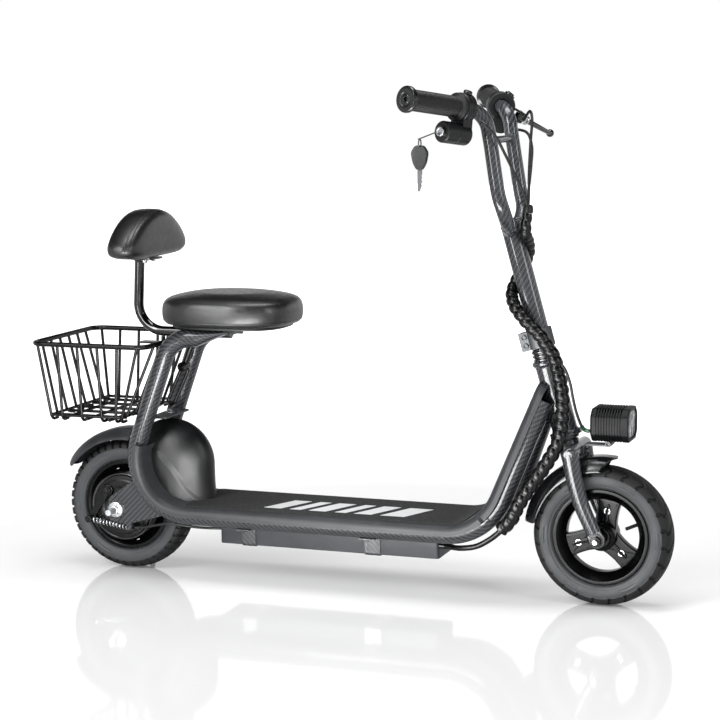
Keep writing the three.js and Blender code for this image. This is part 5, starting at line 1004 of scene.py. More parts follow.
def guard(centre, radius, side_radius, half, wall, from_deg, to_deg, taper=0.55, run=9, swept=0.0):
    """A mudguard swept round an axle; its free end narrows over its run, and its first end is swept back."""
    steps = 72
    rings = []
    for k, turn in enumerate(np.linspace(from_deg, to_deg, steps + 1)):
        left = min(1, (steps - k) / run)
        narrow = 1 - (1 - taper) * (1 - math.sqrt(max(0.0, 1 - (1 - left) ** 2)))
        back = swept * max(0.0, 1 - k / 24)
        ring = []
        for y, r in guard_section(radius, side_radius, half, wall):
            lift = (radius - r) * (1 - narrow)
            ring.append(polar(centre, r + lift * 0.95, turn + back * (y / half) ** 2, y * narrow))
        rings.append(ring)
    return Skin().loft(rings)


def build_rear_mudguard():
    f = sizes("frame")
    skin = guard(REAR, 150, 132, 42, 2.5, 84, 153, 0.14, 24)
    half = f.track - f.tube
    low = 305
    skin.plate(rectangle(67, 101, half), 4, 4, (0, 0, low), X, Y, 4)
    reach = [(11.7, 276.0), (15.7, 276.0), (71, low + 0.5), (71, low + 4), (67, low + 4)]
    skin.slab(reach, (0, 17, 0), X, Z, 34, 0.6)
    skin.dressed("Rear mudguard", "deck moulding", "moulded_black", "frame", "rear_mudguard")
    bolt = Skin().hex_bolt((84, 0, low + 4), Z, 5, 4, 8.5)
    bolt.dressed("Mudguard bolt", "plated steel", "bright_steel", "frame")


def build_battery_box():
    b = sizes("body")
    middle = (b.box_from_x + b.box_to_x) / 2
    half = (b.box_to_x - b.box_from_x) / 2
    skin = Skin()
    outline = softened(rectangle(-half, half, b.box_half), 7, 6, closed=True)
    parting = 14
    skin.slab(outline, (middle, 0, b.box_low), X, Y, b.box_high - b.box_low - parting, 1.6)
    skin.slab([p * 0.996 for p in outline], (middle, 0, b.box_high - parting - 1.2), X, Y, 2.4, 0.3)
    skin.slab(outline, (middle, 0, b.box_high - parting + 1.2), X, Y, parting - 1.2, 1.0)
    skin.dressed("Battery box", "powder coat", "battery_grey", "frame", "battery_box")


def build_battery_straps():
    f, b = sizes("frame"), sizes("body")
    under = f.deck_z - f.tube - 0.3
    straps = (("rear", b.strap_rear_x, b.strap_rear_width), ("front", b.strap_front_x, b.strap_front_width))
    for name, x, width in straps:
        inside, low, wall = b.box_half + 0.3, b.box_low - 0.3, 2.0
        side, top, foot = inside + wall / 2, under - wall / 2, low - wall / 2
        line = softened([(-78, top), (-side, top), (-side, foot), (side, foot), (side, top), (78, top)], 5, 5)
        across = np.gradient(np.array(line), axis=0)
        rings = []
        for (y, z), (dy, dz) in zip(line, across):
            n = unit([0, -dz, dy]) * wall / 2
            rings.append([np.array([x + sx * width / 2, y, z]) + sn * n for sx, sn in
                          ((-1, -1), (1, -1), (1, 1), (-1, 1))])
        strap = Skin().loft(rings)
        strap.dressed("Battery strap " + name, "strap weave", "strap_print", "frame", "battery_strap_" + name,
                      crease=30)
        bolts = Skin()
        for side in (-1, 1):
            bolts.hex_bolt((x, side * 66, under - wall), -Z, 4.5, 3, 7)
        bolts.dressed("Strap bolts " + name, "satin enamel", "bright_steel", "frame")


def finish_hidden_parts():
    """The CAD's own pieces stay for what no view shows; they only get their finish."""
    for node, material, slot in (("battery_pack", "powder coat", "matte_black"),
                                 ("motor_controller", "cast alloy", "cast_alloy"),
                                 ("motor_stator", "copper", "winding_copper")):
        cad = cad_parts[node]
        cad.data.materials.clear()
        cad.data.materials.append(finish(material))


# Seat and backrest


def oblong(share, height, count=96):
    """A round-ended ring of the seat's outline."""
    s = sizes("seat")
    out = []
    for turn in np.arange(count) * 2 * math.pi / count:
        c, n = math.cos(turn), math.sin(turn)
        reach = (abs(c) ** 2.7 + abs(n) ** 2.7) ** (-1 / 2.7)
        out.append([s.seat_x + share * s.seat_length / 2 * reach * c, share * s.seat_width / 2 * reach * n, height])
    return out


def moon(share, depth, count=96):
    """A ring of the backrest's half-moon outline, at a depth from its rear face."""
    s = sizes("seat")
    middle, waist = s.back_height * 0.42, 24
    out = []
    for turn in np.arange(count) * 2 * math.pi / count:
        c, n = math.cos(turn), math.sin(turn)
        reach = math.copysign(abs(c) ** 0.45, c) if n < 0 else c
        rise = -waist * abs(n) ** 0.55 if n < 0 else (s.back_height - waist) * n ** 1.6
        out.append([s.back_x + (depth - 0.5) * s.back_thick, share * s.back_half * reach,
                    s.back_base + middle + share * (waist + rise - middle)])
    return out


FOAM_PASSES = 60
CLOTH_FRAMES = 20


def stuffed(skin, name, pressure, reach, pinned):
    """Cloth sewn to a cushion's shape and blown up: it crowns and draws in as a stuffed cover does."""
    piece = skin.object(name, 180)
    remesh = piece.modifiers.new("Even cloth", "REMESH")
    remesh.mode, remesh.voxel_size = "VOXEL", 0.005
    mesh = bpy.data.meshes.new_from_object(piece.evaluated_get(bpy.context.evaluated_depsgraph_get()))
    piece.modifiers.clear()
    piece.data = mesh
    rest = np.array([v.co for v in mesh.vertices])
    final = rest
    pins = piece.vertex_groups.new(name="Sewn down")
    pins.add([i for i, p in enumerate(rest / MM) if pinned(p)], 1.0, "REPLACE")
    cloth = piece.modifiers.new("Cover", "CLOTH")
    cloth.settings.quality = 6
    cloth.settings.mass = 0.3
    cloth.settings.tension_stiffness = 40
    cloth.settings.bending_stiffness = 1.5
    cloth.settings.use_pressure = True
    cloth.settings.uniform_pressure_force = pressure
    cloth.settings.vertex_group_mass = "Sewn down"
    cloth.settings.effector_weights.gravity = 0
    cloth.collision_settings.use_collision = False
    for number in range(1, CLOTH_FRAMES + 1):
        bpy.context.scene.frame_set(number)
    moved = piece.evaluated_get(bpy.context.evaluated_depsgraph_get())
    final = np.array([v.co for v in moved.data.vertices])
    piece.modifiers.clear()
    bpy.context.scene.frame_set(1)
    shift = final - rest
    # Foam below the cover evens out single folds and keeps the crown.
    ends = np.zeros(2 * len(mesh.edges), int)
    mesh.edges.foreach_get("vertices", ends)
    first, second = ends[::2], ends[1::2]
    beside = np.bincount(ends, minlength=len(rest))[:, None]
    for _ in range(FOAM_PASSES):
        total = np.zeros_like(shift)
        np.add.at(total, first, shift[second])
        np.add.at(total, second, shift[first])
        shift = total / beside
    far = np.linalg.norm(shift, axis=1)
    shift *= np.minimum(1, reach * MM / np.maximum(far, 1e-9))[:, None]
    mesh.vertices.foreach_set("co", (rest + shift).astype(np.float32).ravel())
    even = piece.modifiers.new("Even out", "SMOOTH")
    even.factor, even.iterations = 0.5, 6
    finer = piece.modifiers.new("Finer", "SUBSURF")
    finer.levels = finer.render_levels = 1
    mesh = bpy.data.meshes.new_from_object(piece.evaluated_get(bpy.context.evaluated_depsgraph_get()))
    piece.modifiers.clear()
    piece.data = mesh
    mesh.polygons.foreach_set("use_smooth", [True] * len(mesh.polygons))
    return piece


def lay_on(piece, points, sink=0.0):
    """Points moved onto a piece's surface, each sunk a little along its normal."""
    tree = BVHTree.FromObject(piece, bpy.context.evaluated_depsgraph_get())
    out = []
    for p in points:
        place, normal, _, _ = tree.find_nearest(Vector((np.asarray(p) + ORIGIN / MM) * MM))
        out.append((np.array(place) - np.array(normal) * sink * MM) / MM - ORIGIN / MM)
    return np.array(out)


def closed_seam(skin, line, radius):
    """A welt along a closed line."""
    line = spaced(np.vstack([line, line[:1]]), 3.0)[:-1]
    for _ in range(3):
        line = (np.roll(line, 1, axis=0) + 2 * line + np.roll(line, -1, axis=0)) / 4
    along = np.roll(line, -1, axis=0) - np.roll(line, 1, axis=0)
    centre = line.mean(axis=0)
    rings = []
    for p, a in zip(line, along):
        a = unit(a)
        out = unit((p - centre) - a * ((p - centre) @ a))
        up = np.cross(a, out)
        rings.append([p + radius * (u * out + v * up) for u, v in round_section(10)])
    return skin.loft(rings, caps=False, loop=True)


def build_seat():
    s = sizes("seat")
    shares = [(0.94, 0), (0.99, 0.14), (1, 0.38), (1, 0.6), (0.975, 0.8), (0.91, 0.92), (0.72, 0.985), (0.36, 1)]
    rings = [oblong(share * 0.985, s.seat_base + up * (s.seat_height - 3) + 0.5, 72)
             for share, up in softened(shares, 12, 3)]
    foot = s.seat_base + 6
    seat = stuffed(Skin().loft(rings), "Seat cushion", 4.0, 6.0, lambda p: p[2] < foot)
    dress(seat, finish("leatherette"), "frame", ["seat_cushion"])
    welt = Skin()
    closed_seam(welt, lay_on(seat, oblong(1.0, s.seat_base + 0.1 * s.seat_height, 140), 0.7), s.welt)
    welt.dressed("Seat welt", "leatherette", "leatherette", "frame")
    pan = Skin()
    share = 1 - 36 / s.seat_width
    low = s.seat_base - 5.3
    rings = [oblong(share - inset / 111, low + up) for inset, up in softened([(6, 0), (0, 0), (0, 5), (6, 5)], 1.2)]
    pan.loft(rings)
    for side in (-1, 1):
        pan.block((240, side * 58, low - 4), (24, 3, 4), soft=0.8)
    pan.dressed("Seat pan", "satin moulding", "matte_black", "frame", "seat_pan")


def build_backrest():
    s = sizes("seat")
    shares = [(0.86, 0.02), (0.95, 0.1), (0.995, 0.35), (0.995, 0.6), (0.96, 0.79), (0.87, 0.92), (0.66, 0.98),
              (0.34, 0.99)]
    rings = [moon(share * 0.985, depth, 72) for share, depth in softened(shares, 0.1, 3)]
    rear = s.back_x - s.back_thick / 2 + 5
    back = stuffed(Skin().loft(rings), "Backrest cushion", 4.0, 5.0, lambda p: p[0] < rear)
    dress(back, finish("leatherette"), "frame", ["backrest_cushion"])
    welt = Skin()
    for share, depth in ((0.995, 0.72), (0.975, 0.83)):
        closed_seam(welt, lay_on(back, moon(share, depth, 140), 0.5), s.welt * 0.75)
    welt.dressed("Backrest welts", "leatherette", "leatherette", "frame")


def build_post():
    f, s = sizes("frame"), sizes("seat")
    z = f.seat_z + f.tube - 6.3 - s.post
    top = s.back_base - 4.3
    line = bent([(216, 0, z), (20, 0, z), (27, 0, top + 2)], [52], 3.0)
    skin = Skin().sweep(line, s.post, 28)
    skin.plate(rectangle(18, 65, 26), 6, 5, (0, 0, top), X, Y, 4)
    skin.knob((27, 0, top - 6), Z, [(9, 0), (12.5, 6), (9, 6)], 32, 1.2)
    skin.dressed("Backrest post", "enamel", "black_enamel", "frame", "backrest_post")
    bolts = Skin()
    for y in (-16, 16):
        bolts.hex_bolt((46, y, top), -Z, 5, 4, 8)
    bolts.dressed("Backrest bolts", "plated steel", "bright_steel", "frame")


# Basket


def between(low, high, share):
    return low + (high - low) * share


def basket_long_wall(side):
    """A long wall: rail with its corner bends, and wires that turn under the floor."""
    b = sizes("basket")
    y, turn = side * b.half, side * (b.half - b.corner)
    rail = bent([(b.rear_x, turn, b.rim_z), (b.rear_x, y, b.rim_z), (b.front_x, y, b.rim_z),
                 (b.front_x, turn, b.rim_z)], [b.corner * 0.98] * 2, 3.0)
    skin = Skin().sweep(rail, b.rim, 20)
    for i in range(b.side_wires):
        x = between(b.rear_x, b.front_x, (i + 0.35) / (b.side_wires - 0.3))
        low_x = min(max(x, b.floor_rear_x), b.floor_front_x - (b.side_wires - 1 - i) * b.wire_step)
        low = np.array([low_x, side * b.floor_half, b.floor_z - 6])
        foot = low - Y * side * 22
        skin.sweep(bent([(x, y, b.rim_z), low, foot], [12], 2.5), b.wire, 14)
        skin.ball(foot, (b.wire,) * 3, 8)
    ends = [np.array([x, side * b.floor_half, b.floor_z + b.wire]) for x in (b.floor_rear_x, b.floor_front_x)]
    return skin.rod(*ends, b.wire, 14)


def basket_short_wall(top_x, low_x):
    b = sizes("basket")
    half, low = b.half - b.corner, b.floor_half - b.wire
    skin = Skin().rod((top_x, -half, b.rim_z), (top_x, half, b.rim_z), b.rim, 20, 0.2)
    inward = math.copysign(16, -low_x)
    for i in range(b.end_wires):
        share = (i + 0.5) / b.end_wires * 2 - 1
        foot = np.array([low_x, share * low, b.floor_z])
        skin.sweep(bent([(top_x, share * half, b.rim_z), foot, foot + X * inward], [9], 2.5), b.wire, 14)
    return skin.rod((low_x, -low, b.floor_z + b.wire), (low_x, low, b.floor_z + b.wire), b.wire, 14)


def build_basket():
    b = sizes("basket")
    for side, name in ((-1, "right"), (1, "left")):
        basket_long_wall(side).dressed("Basket side " + name, "satin enamel", "black_enamel", "frame",
                                       "basket_wall_" + name)
    for name, top_x, low_x in (("rear", b.rear_x, b.floor_rear_x), ("front", b.front_x, b.floor_front_x)):
        basket_short_wall(top_x, low_x).dressed("Basket end " + name, "satin enamel", "black_enamel", "frame",
                                                "basket_wall_" + name)
    floor = Skin()
    for i in range(5):
        y = between(-b.floor_half, b.floor_half, (i + 0.5) / 5)
        floor.rod((b.floor_rear_x, y, b.floor_z), (b.floor_front_x, y, b.floor_z), b.wire, 14)
    for i in range(3):
        x = between(b.floor_rear_x, b.floor_front_x, (i + 0.5) / 3)
        floor.rod((x, -b.floor_half, b.floor_z - b.wire), (x, b.floor_half, b.floor_z - b.wire), b.wire, 14)
    floor.dressed("Basket floor", "satin enamel", "black_enamel", "frame", "basket_floor")
    top = b.rim_z - b.rim - 0.3
    rack = Skin().plate(rectangle(26, 101, 13), 4, 4, (0, 0, top - 3), X, Y, 3)
    for x in (73, 83.5):
        rack.rod((x, 0, top - 3), (x, 0, 457.9), 4, 20)
        rack.hex_bolt((x, 0, top - 3), -Z, 6, 4, 8)
    rack.dressed("Basket rack", "satin enamel", "black_enamel", "frame", "basket_rack")


# Wheels

TYRE_WALK = 151.0


def stepped(value, edge, soft=0.6):
    """One above the edge and nought below it, with a soft step."""
    return np.clip((value - edge) / soft + 0.5, 0, 1)


def street_grooves(around, across):
    """Depth of the front tread: a zig-zag round the middle and curved grooves out to each shoulder."""
    pitch = 2 * math.pi * TYRE_RADIUS / 24
    phase = around / pitch
    zigzag = 2.6 * (4 * np.abs(phase - np.floor(phase) - 0.5) - 1)
    middle = 1 - stepped(np.abs(across - zigzag), 1.3)
    out = np.abs(across)
    swept = phase + 0.55 * np.sin(np.clip((out - 6) / 24, 0, 1) * 2.4) + 0.5 * (across > 0)
    curve = np.abs(swept - np.floor(swept) - 0.5) * pitch
    shoulder = (1 - stepped(curve, 3.0)) * stepped(out, 7) * (1 - stepped(out, 38, 3))
    return np.maximum(middle, shoulder)


def block_grooves(around, across):
    """Depth of the rear tread: two straight grooves and offset cross cuts that leave blocks."""
    pitch = 2 * math.pi * TYRE_RADIUS / 44
    out = np.abs(across)
    rings = 1 - stepped(np.abs(out - 8), 1.5)
    phase = around / pitch + np.where(out > 8, 0.5, 0) + out * 0.012 * np.sign(across)
    cut = (1 - stepped(np.abs(phase - np.floor(phase) - 0.5) * pitch, 2.6)) * (1 - stepped(out, 36, 3))
    return np.maximum(rings, cut)


def tyre(centre, grooves, depth):
    """A tyre turned from its section, with its tread cut in and raised bands on its walls."""
    w = sizes("wheels")
    key = [(w.lip + 0.6, w.rim_half - 2.9), (w.lip + 3.2, w.half - 3.2), (98, w.half - 0.4), (107, w.half),
           (115.5, w.half - 2.4), (121.6, w.half - 7), (125.6, w.tread), (TYRE_RADIUS - 0.3, 8), (TYRE_RADIUS, 0)]
    half = smooth([(r, y, 0) for r, y in key], 1.15)[:, :2]
    section = np.vstack([half, (half * [1, -1])[-2::-1]])
    walk = np.concatenate([[0], np.cumsum(np.linalg.norm(np.diff(section, axis=0), axis=1))])
    across = walk - walk[-1] / 2
    slope = np.gradient(section, axis=0)
    outward = np.stack([np.abs(slope[:, 1]), -slope[:, 0] * np.sign(slope[:, 1])], axis=1)
    outward /= np.linalg.norm(outward, axis=1)[:, None]
    steps = 600
    turns = np.arange(steps) * 2 * math.pi / steps
    sunk = grooves(*np.meshgrid(turns * TYRE_RADIUS, across, indexing="ij")) * depth
    sunk *= stepped(section[:, 0], 112, 3)[None, :]
    wall = section[:, 0]
    raised = sum((1 - stepped(np.abs(wall - r), 0.7, 0.7)) * 0.7 for r in (94.5, 111.5))
    bars = (1 - stepped(np.abs(wall - 103), 3.4, 0.8))[None, :] * (np.cos(turns * 6) > 0.55)[:, None]
    bars = bars * (np.abs(np.sin(turns * 60)) > 0.4)[:, None]
    lift = raised[None, :] + 0.6 * bars - sunk
    rings = []
    for turn, up in zip(turns, lift):
        radius = section[:, 0] + outward[:, 0] * up
        side = section[:, 1] + outward[:, 1] * up
        rings.append(np.stack([centre[0] + radius * math.cos(turn), side, centre[2] + radius * math.sin(turn)],
                              axis=1))
    inner = [(w.seat + 0.6, -w.rim_half + 3.2), (w.seat + 0.6, w.rim_half - 3.2)]
    rings = [np.vstack([ring, [polar(centre, r, math.degrees(t), y) for r, y in inner]])
             for t, ring in zip(turns, rings)]
    return Skin().loft(rings, loop=True)


def rim_ring(centre, inner):
    """A rim turned from its section: lips, bead seats, well and the inner edge given."""
    w = sizes("wheels")
    lip = w.rim_half - 2.8
    profile = [(w.lip, -w.rim_half + 1), (w.lip, -lip), (w.seat, -lip), (w.seat, -14.6), (w.well, -12),
               (w.well, 12), (w.seat, 14.6), (w.seat, lip), (w.lip, lip), (w.lip, w.rim_half - 1),
               (w.lip - 1.4, w.rim_half), (w.seat - 2.6, w.rim_half), *inner, (w.seat - 2.6, -w.rim_half),
               (w.lip - 1.4, -w.rim_half)]
    return Skin().ring(centre, Y, profile, 120, 0.8, 3)


def build_tyres():
    w = sizes("wheels")
    front, rear = tyre(FRONT, street_grooves, w.groove), tyre(REAR, block_grooves, w.groove * 1.2)
    front.dressed("Front tyre", "tyre", "tyre", "front_wheel", "front_tyre", crease=50)
    rear.dressed("Rear tyre", "tyre", "tyre", "rear_wheel", "rear_tyre", crease=50)


def build_front_wheel():
    w = sizes("wheels")
    skin = rim_ring(FRONT, [(w.well - 5.2, 9.4), (w.well - 5.2, -9.4)])
    hub = [(w.front_axle + 0.6, -30), (w.hub - 8, -30), (w.hub - 7, -26), (w.hub, -22), (w.hub, 22),
           (w.hub - 7, 26), (w.hub - 8, 30), (w.front_axle + 0.6, 30)]
    skin.ring(FRONT, Y, hub, 64, 1.2, 3)
    bolts = Skin()
    for k in range(3):
        turn = 79.5 + 120 * k
        u = polar((0, 0, 0), 1, turn)
        v = np.cross(u, Y)
        root, tip, end = 23, 19, w.well - 4
        spoke = [(10, -root), (30, -root + 4), (50, -tip), (end, -tip - 3), (end, tip + 3), (50, tip),
                 (30, root - 4), (10, root)]
        skin.plate(spoke, 8, 5, FRONT + Y * 9, u, v, 18, 2.2)
        rib = [(16, -5), (56, -3.5), (60, 0), (56, 3.5), (16, 5)]
        skin.plate(rib, 3, 4, FRONT - Y * 7, u, v, 5.0, 1.2)
        bolts.cap_bolt(FRONT + 46 * u - 9 * Y, -Y, 6, 3)
    skin.dressed("Front rim", "wheel enamel", "black_enamel", "front_wheel", "front_rim", crease=40)
    bolts.dressed("Front rim bolts", "plated steel", "bright_steel", "front_wheel")
    valve = Skin().rod(polar(FRONT, w.well - 4, 20, -2), polar(FRONT, w.well - 26, 20, -14), 3.2, 16)
    valve.dressed("Front valve", "grip rubber", "tyre", "front_wheel")


def build_rear_wheel():
    w = sizes("wheels")
    motor_seat = 66.3
    skin = rim_ring(REAR, [(motor_seat, 17.2), (motor_seat, -17.2)])
    bolts = Skin()
    for k in range(6):
        bolts.cap_bolt(polar(REAR, 75, 46 + 60 * k, -17.6), -Y, 4.5, 4)
        bolts.cap_bolt(polar(REAR, 75, 46 + 60 * k, 17.6), Y, 4.5, 4)
    skin.dressed("Rear rim", "wheel enamel", "black_enamel", "rear_wheel", "rear_rim", crease=40)
    bolts.dressed("Rear rim bolts", "plated steel", "bright_steel", "rear_wheel")
    bore, left, right, drum, wall = w.axle + 0.5, 60, 46, 22, 4
    outer, inner = 66, 62
    profile = [(bore, left), (bore, left - wall), (26, left - wall), (inner, left - 12),
               (inner, drum - right + wall), (bore, drum - right + wall), (bore, drum - right),
               (inner, drum - right), (inner, -right), (outer - 1, -right), (outer, -right + 1.5)]
    for k in range(4):
        at = -right + 5 + k * 5
        profile += [(outer, at), (outer - 1.6, at + 0.8), (outer - 1.6, at + 2), (outer, at + 2.8)]
    profile += [(outer, left - 8), (52, left - 5), (50, left - 3.4), (26, left)]
    motor = Skin().ring(REAR, Y, profile, 96, 0.7, 2)
    motor.dressed("Hub motor", "enamel", "black_enamel", "rear_wheel", "hub_motor", crease=40)
    valve = Skin().rod(polar(REAR, w.well - 2, -36, -16), polar(REAR, w.well - 14, -36, -34), 3.0, 16)
    valve.dressed("Rear valve", "grip rubber", "tyre", "rear_wheel")


def build_drum_brake():
    w = sizes("wheels")
    bore, face = w.axle + 0.5, -50.7
    profile = [(bore, face + 5), (bore, face - 5), (14, face - 5), (16, face), (26, face), (28, face + 1.6),
               (38, face + 1.6), (40, face), (52, face), (54, face + 1.4), (61.2, face + 1.4), (61.2, face + 5)]
    skin = Skin().ring(REAR, Y, profile, 96, 0.9, 3)
    pivot = np.array([-29, 0, 159])
    skin.knob(pivot + Y * (face + 1), -Y, [(0, 0), (13, 0), (11, 4), (0, 4)], 40, 0.8)
    skin.dressed("Brake backplate", "satin enamel", "cast_alloy", "frame", "brake_backplate")
    end = np.array([-64, 0, 103])
    u = unit(end - pivot)
    v = np.cross(u, Y)
    reach = np.linalg.norm(end - pivot)
    arm = Skin().slab(arc(7.8, 90, 270, 13) + arc(6, -90, 90, 13, reach), pivot - Y * 53, u, v, 4, 0.8)
    arm.rod(pivot - Y * 51, pivot - Y * 60.5, 5, 24)
    arm.hex_bolt(pivot - Y * 57, -Y, 6, 4, 8)
    arm.rod(end - Y * 69, end - Y * 53, 7, 28)
    arm.cap_bolt(end - Y * 69, -Y, 4, 2)
    arm.dressed("Brake arm", "satin enamel", "bright_steel", "drum_arm", "brake_arm")
    start, stop = end - Y * 62, CABLE_STOP
    way = unit(stop - start)
    start, stop = start + way * 8.2, stop - way * 1.5
    side, up = Y, np.cross(way, Y)
    curls, coil = 11, []
    for t in np.linspace(0, 1, curls * 20):
        turn = 2 * math.pi * curls * t
        coil.append(start + (stop - start) * t + 5.3 * (math.cos(turn) * side + math.sin(turn) * up))
    spring = Skin().sweep(np.array(coil), 1.25, 8).object("Brake spring")
    tuple((start * MM) + ORIGIN)
    tuple((stop * MM) + ORIGIN)
    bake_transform(spring)
    dress(spring, finish("plated steel"), None, ["brake_spring"])


def build_rear_axle():
    f, w = sizes("frame"), sizes("wheels")
    face = f.dropout_y + f.plate / 2 + 0.3
    for side, name, node in ((-1, "nut", "rear_axle_nut"), (1, "bolt", "rear_axle")):
        skin = Skin()
        skin.ring(REAR + Y * side * face, Y * side, band(w.axle + 0.4, 15, 0, 2.5), 40, 0.5, 3)
        nut = [(w.axle + 0.4, 0), (11, 0), (11, 9), (9.6, 10), (w.axle + 0.4, 10)]
        skin.ring(REAR + Y * side * (face + 2.5), Y * side, nut, 6, 0.4, 2)
        if side > 0:
            thread = [(w.axle - (0.5 if k % 2 else 0), -108 + k * 1.0) for k in range(28)]
            outline = [(0, -108), *thread, (w.axle, -78), (w.axle, 104), (w.axle - 1, 106), (0, 106)]
            skin.turned(REAR, Y, outline, 28)
        skin.dressed("Rear axle " + name, "plated steel", "bright_steel", "frame", node)


def build_kickstand():
    skin = Skin().ring(STAND_PIVOT, Y, band(4.9, 11, 83.6, 95.2), 40, 1, 3)
    start, foot = STAND_PIVOT + Y * 89.5, np.array([-14, 128, 4])
    way = unit(foot - start)
    skin.sweep(spaced([start + way * 9, foot + way * -2], 4), 5, 24)
    skin.knob((-14, 128, 0), Z, [(0, 0), (10, 0), (10, 6), (7, 8), (0, 8)], 36, 1.4, 4)
    skin.dressed("Kickstand", "enamel", "black_enamel", "stand", "kickstand")


# Fork and stem

LEG_ROUTE = [(12, -36), (8, -82), (8.5, -128), (13, -160), (17, -184)]


def crown_place():
    return steered(LEG_ROUTE[0][0], 0, LEG_ROUTE[0][1])


def build_fork():
    s = sizes("steering")
    skin = Skin()
    _, _, up = steering_axes()
    for side in (-1, 1):
        leg = smooth([steered(t, side * s.leg_y, z) for t, z in LEG_ROUTE], 3.0)
        share = np.linspace(0, 1, len(leg))
        skin.sweep(leg, s.leg * (1.13 - 0.2 * share), 32)
        foot = steered(LEG_ROUTE[-1][0], 0, LEG_ROUTE[-1][1])
        u = unit(foot - FRONT)
        reach = np.linalg.norm(foot - FRONT) + 10
        y = 55 if side > 0 else -49
        eye = arc(14, 90, 270, 15) + [(reach, -11), (reach, 11)]
        skin.slab(eye, FRONT + Y * y, u, np.cross(u, Y), 6, 0.9)
    crown = [(0, -s.leg_y - 15), (s.crown - 4, -s.leg_y - 15), (s.crown, -s.leg_y - 10), (s.crown, s.leg_y + 10),
             (s.crown - 4, s.leg_y + 15), (0, s.leg_y + 15)]
    skin.knob(crown_place(), Y, crown, 40, 3, 4)
    low = -8.3
    race = [(0, -49), (20, -49), (20, low - 7.5), (17.5, low - 7.5), (17.5, low - 5), (22.5, low - 5), (22.5, low),
            (15, low), (15, 186), (0, 186)]
    skin.knob(steered(0, 0, 0), up, race, 56, 0.8, 3)
    skin.dressed("Fork", "weave", "print_tube", "steering", "fork")


def build_front_axle():
    w = sizes("wheels")
    skin = Skin().rod(FRONT - Y * 73, FRONT + Y * 73, w.front_axle, 24, 1.2)
    nuts = Skin()
    for side in (-1, 1):
        nuts.hex_bolt(FRONT + Y * side * 55.3, Y * side, 9.5, 8, 12)
        skin.ring(FRONT + Y * side * 30.4, Y * side, band(5.2, 9, 0, 18), 32, 0.6, 3)
    skin.dressed("Front axle", "plated steel", "bright_steel", "steering", "front_axle")
    nuts.dressed("Front axle nuts", "satin enamel", "bright_steel", "steering")


def build_front_mudguard():
    skin = guard(FRONT, 145, 122, 37.4, 2.4, 80, 172, 0.75, swept=11)
    middle = crown_place()
    toward = unit(FRONT - middle)
    reach = np.linalg.norm(FRONT - middle) - 144
    skin.rod(middle, middle + toward * reach, 8, 28)
    skin.dressed("Front mudguard", "gloss moulding", "moulded_black", "steering", "front_mudguard")


def build_stem():
    f, s = sizes("frame"), sizes("steering")
    root, (ahead, _, up) = steered(0, 0, 0), steering_axes()
    low = f.head_length + f.cup_height + 0.3
    profile = [(15.4, low)]
    for k in range(3):
        at = low + k * 22 / 3
        profile += [(23, at), (23, at + 3.6), (21, at + 4.2), (21, at + 22 / 3 - 0.6)]
    profile += [(15.4, low + 22)]
    cover = Skin().ring(root, up, profile, 56, 0.8, 3)
    cover.dressed("Headset cover", "enamel", "black_enamel", "steering", "headset_cover")
    foot = low + 22.6
    profile = [(15.8, foot), (s.stem, foot), (s.stem, s.stem_top - 2), (s.stem - 2, s.stem_top), (0, s.stem_top),
               (0, s.stem_top - 16), (15.8, s.stem_top - 18)]
    stem = Skin().ring(root, up, profile, 56, 0.6, 3)
    stem.dressed("Stem tube", "weave", "print_tube", "steering", "stem_tube")
    clamp_low, tall, inner = foot + 0.3, 34, s.stem + 0.3
    clamp = Skin().ring(root, up, band(inner, inner + 4.5, clamp_low, clamp_low + tall), 64, 1.2, 4)
    for side in (-1, 1):
        centre = root - ahead * (inner + 34) / 2 - ahead * 1.5 + Y * side * 7 + up * (clamp_low + tall / 2)
        clamp.block(centre, (8.2, 6.1, tall / 2), (ahead, Y, up), 1.4)
    clamp.dressed("Stem clamp", "dull zinc", "bright_steel", "steering", "stem_clamp")
    bolts = Skin()
    for at in (clamp_low + 9, clamp_low + tall - 9):
        place = root - ahead * 27 + up * at
        bolts.cap_bolt(place - Y * 13, -Y, 5, 4)
        bolts.hex_bolt(place + Y * 13, Y, 5, 3)
        bolts.rod(place - Y * 12, place + Y * 12, 3.5, 16)
    bolts.dressed("Clamp bolts", "dull zinc", "bright_steel", "steering")


# Handlebar and controls

BAR_ROUTE = [(0, 15, 374), (8, 48, 392), (12, 66, 412), (13, 73, 440), (24, 73, 540), (26, 77, 568), (20, 90, 588)]
GRIP_ENDS = ((10, 108, 598), (-50, 250, 634))


class GripFrame:
    """Directions at a grip: out along it, ahead of it, and down from it."""

    def __init__(self, side):
        start, end = (steered(t, side * y, s) for t, y, s in GRIP_ENDS)
        self.start, self.out, self.length = start, unit(end - start), np.linalg.norm(end - start)
        self.down = unit(-Z + self.out * self.out[2])
        self.ahead = unit(np.cross(self.out, self.down) * -side)

    def at(self, out, ahead=0.0, down=0.0):
        return self.start + out * self.out + ahead * self.ahead + down * self.down


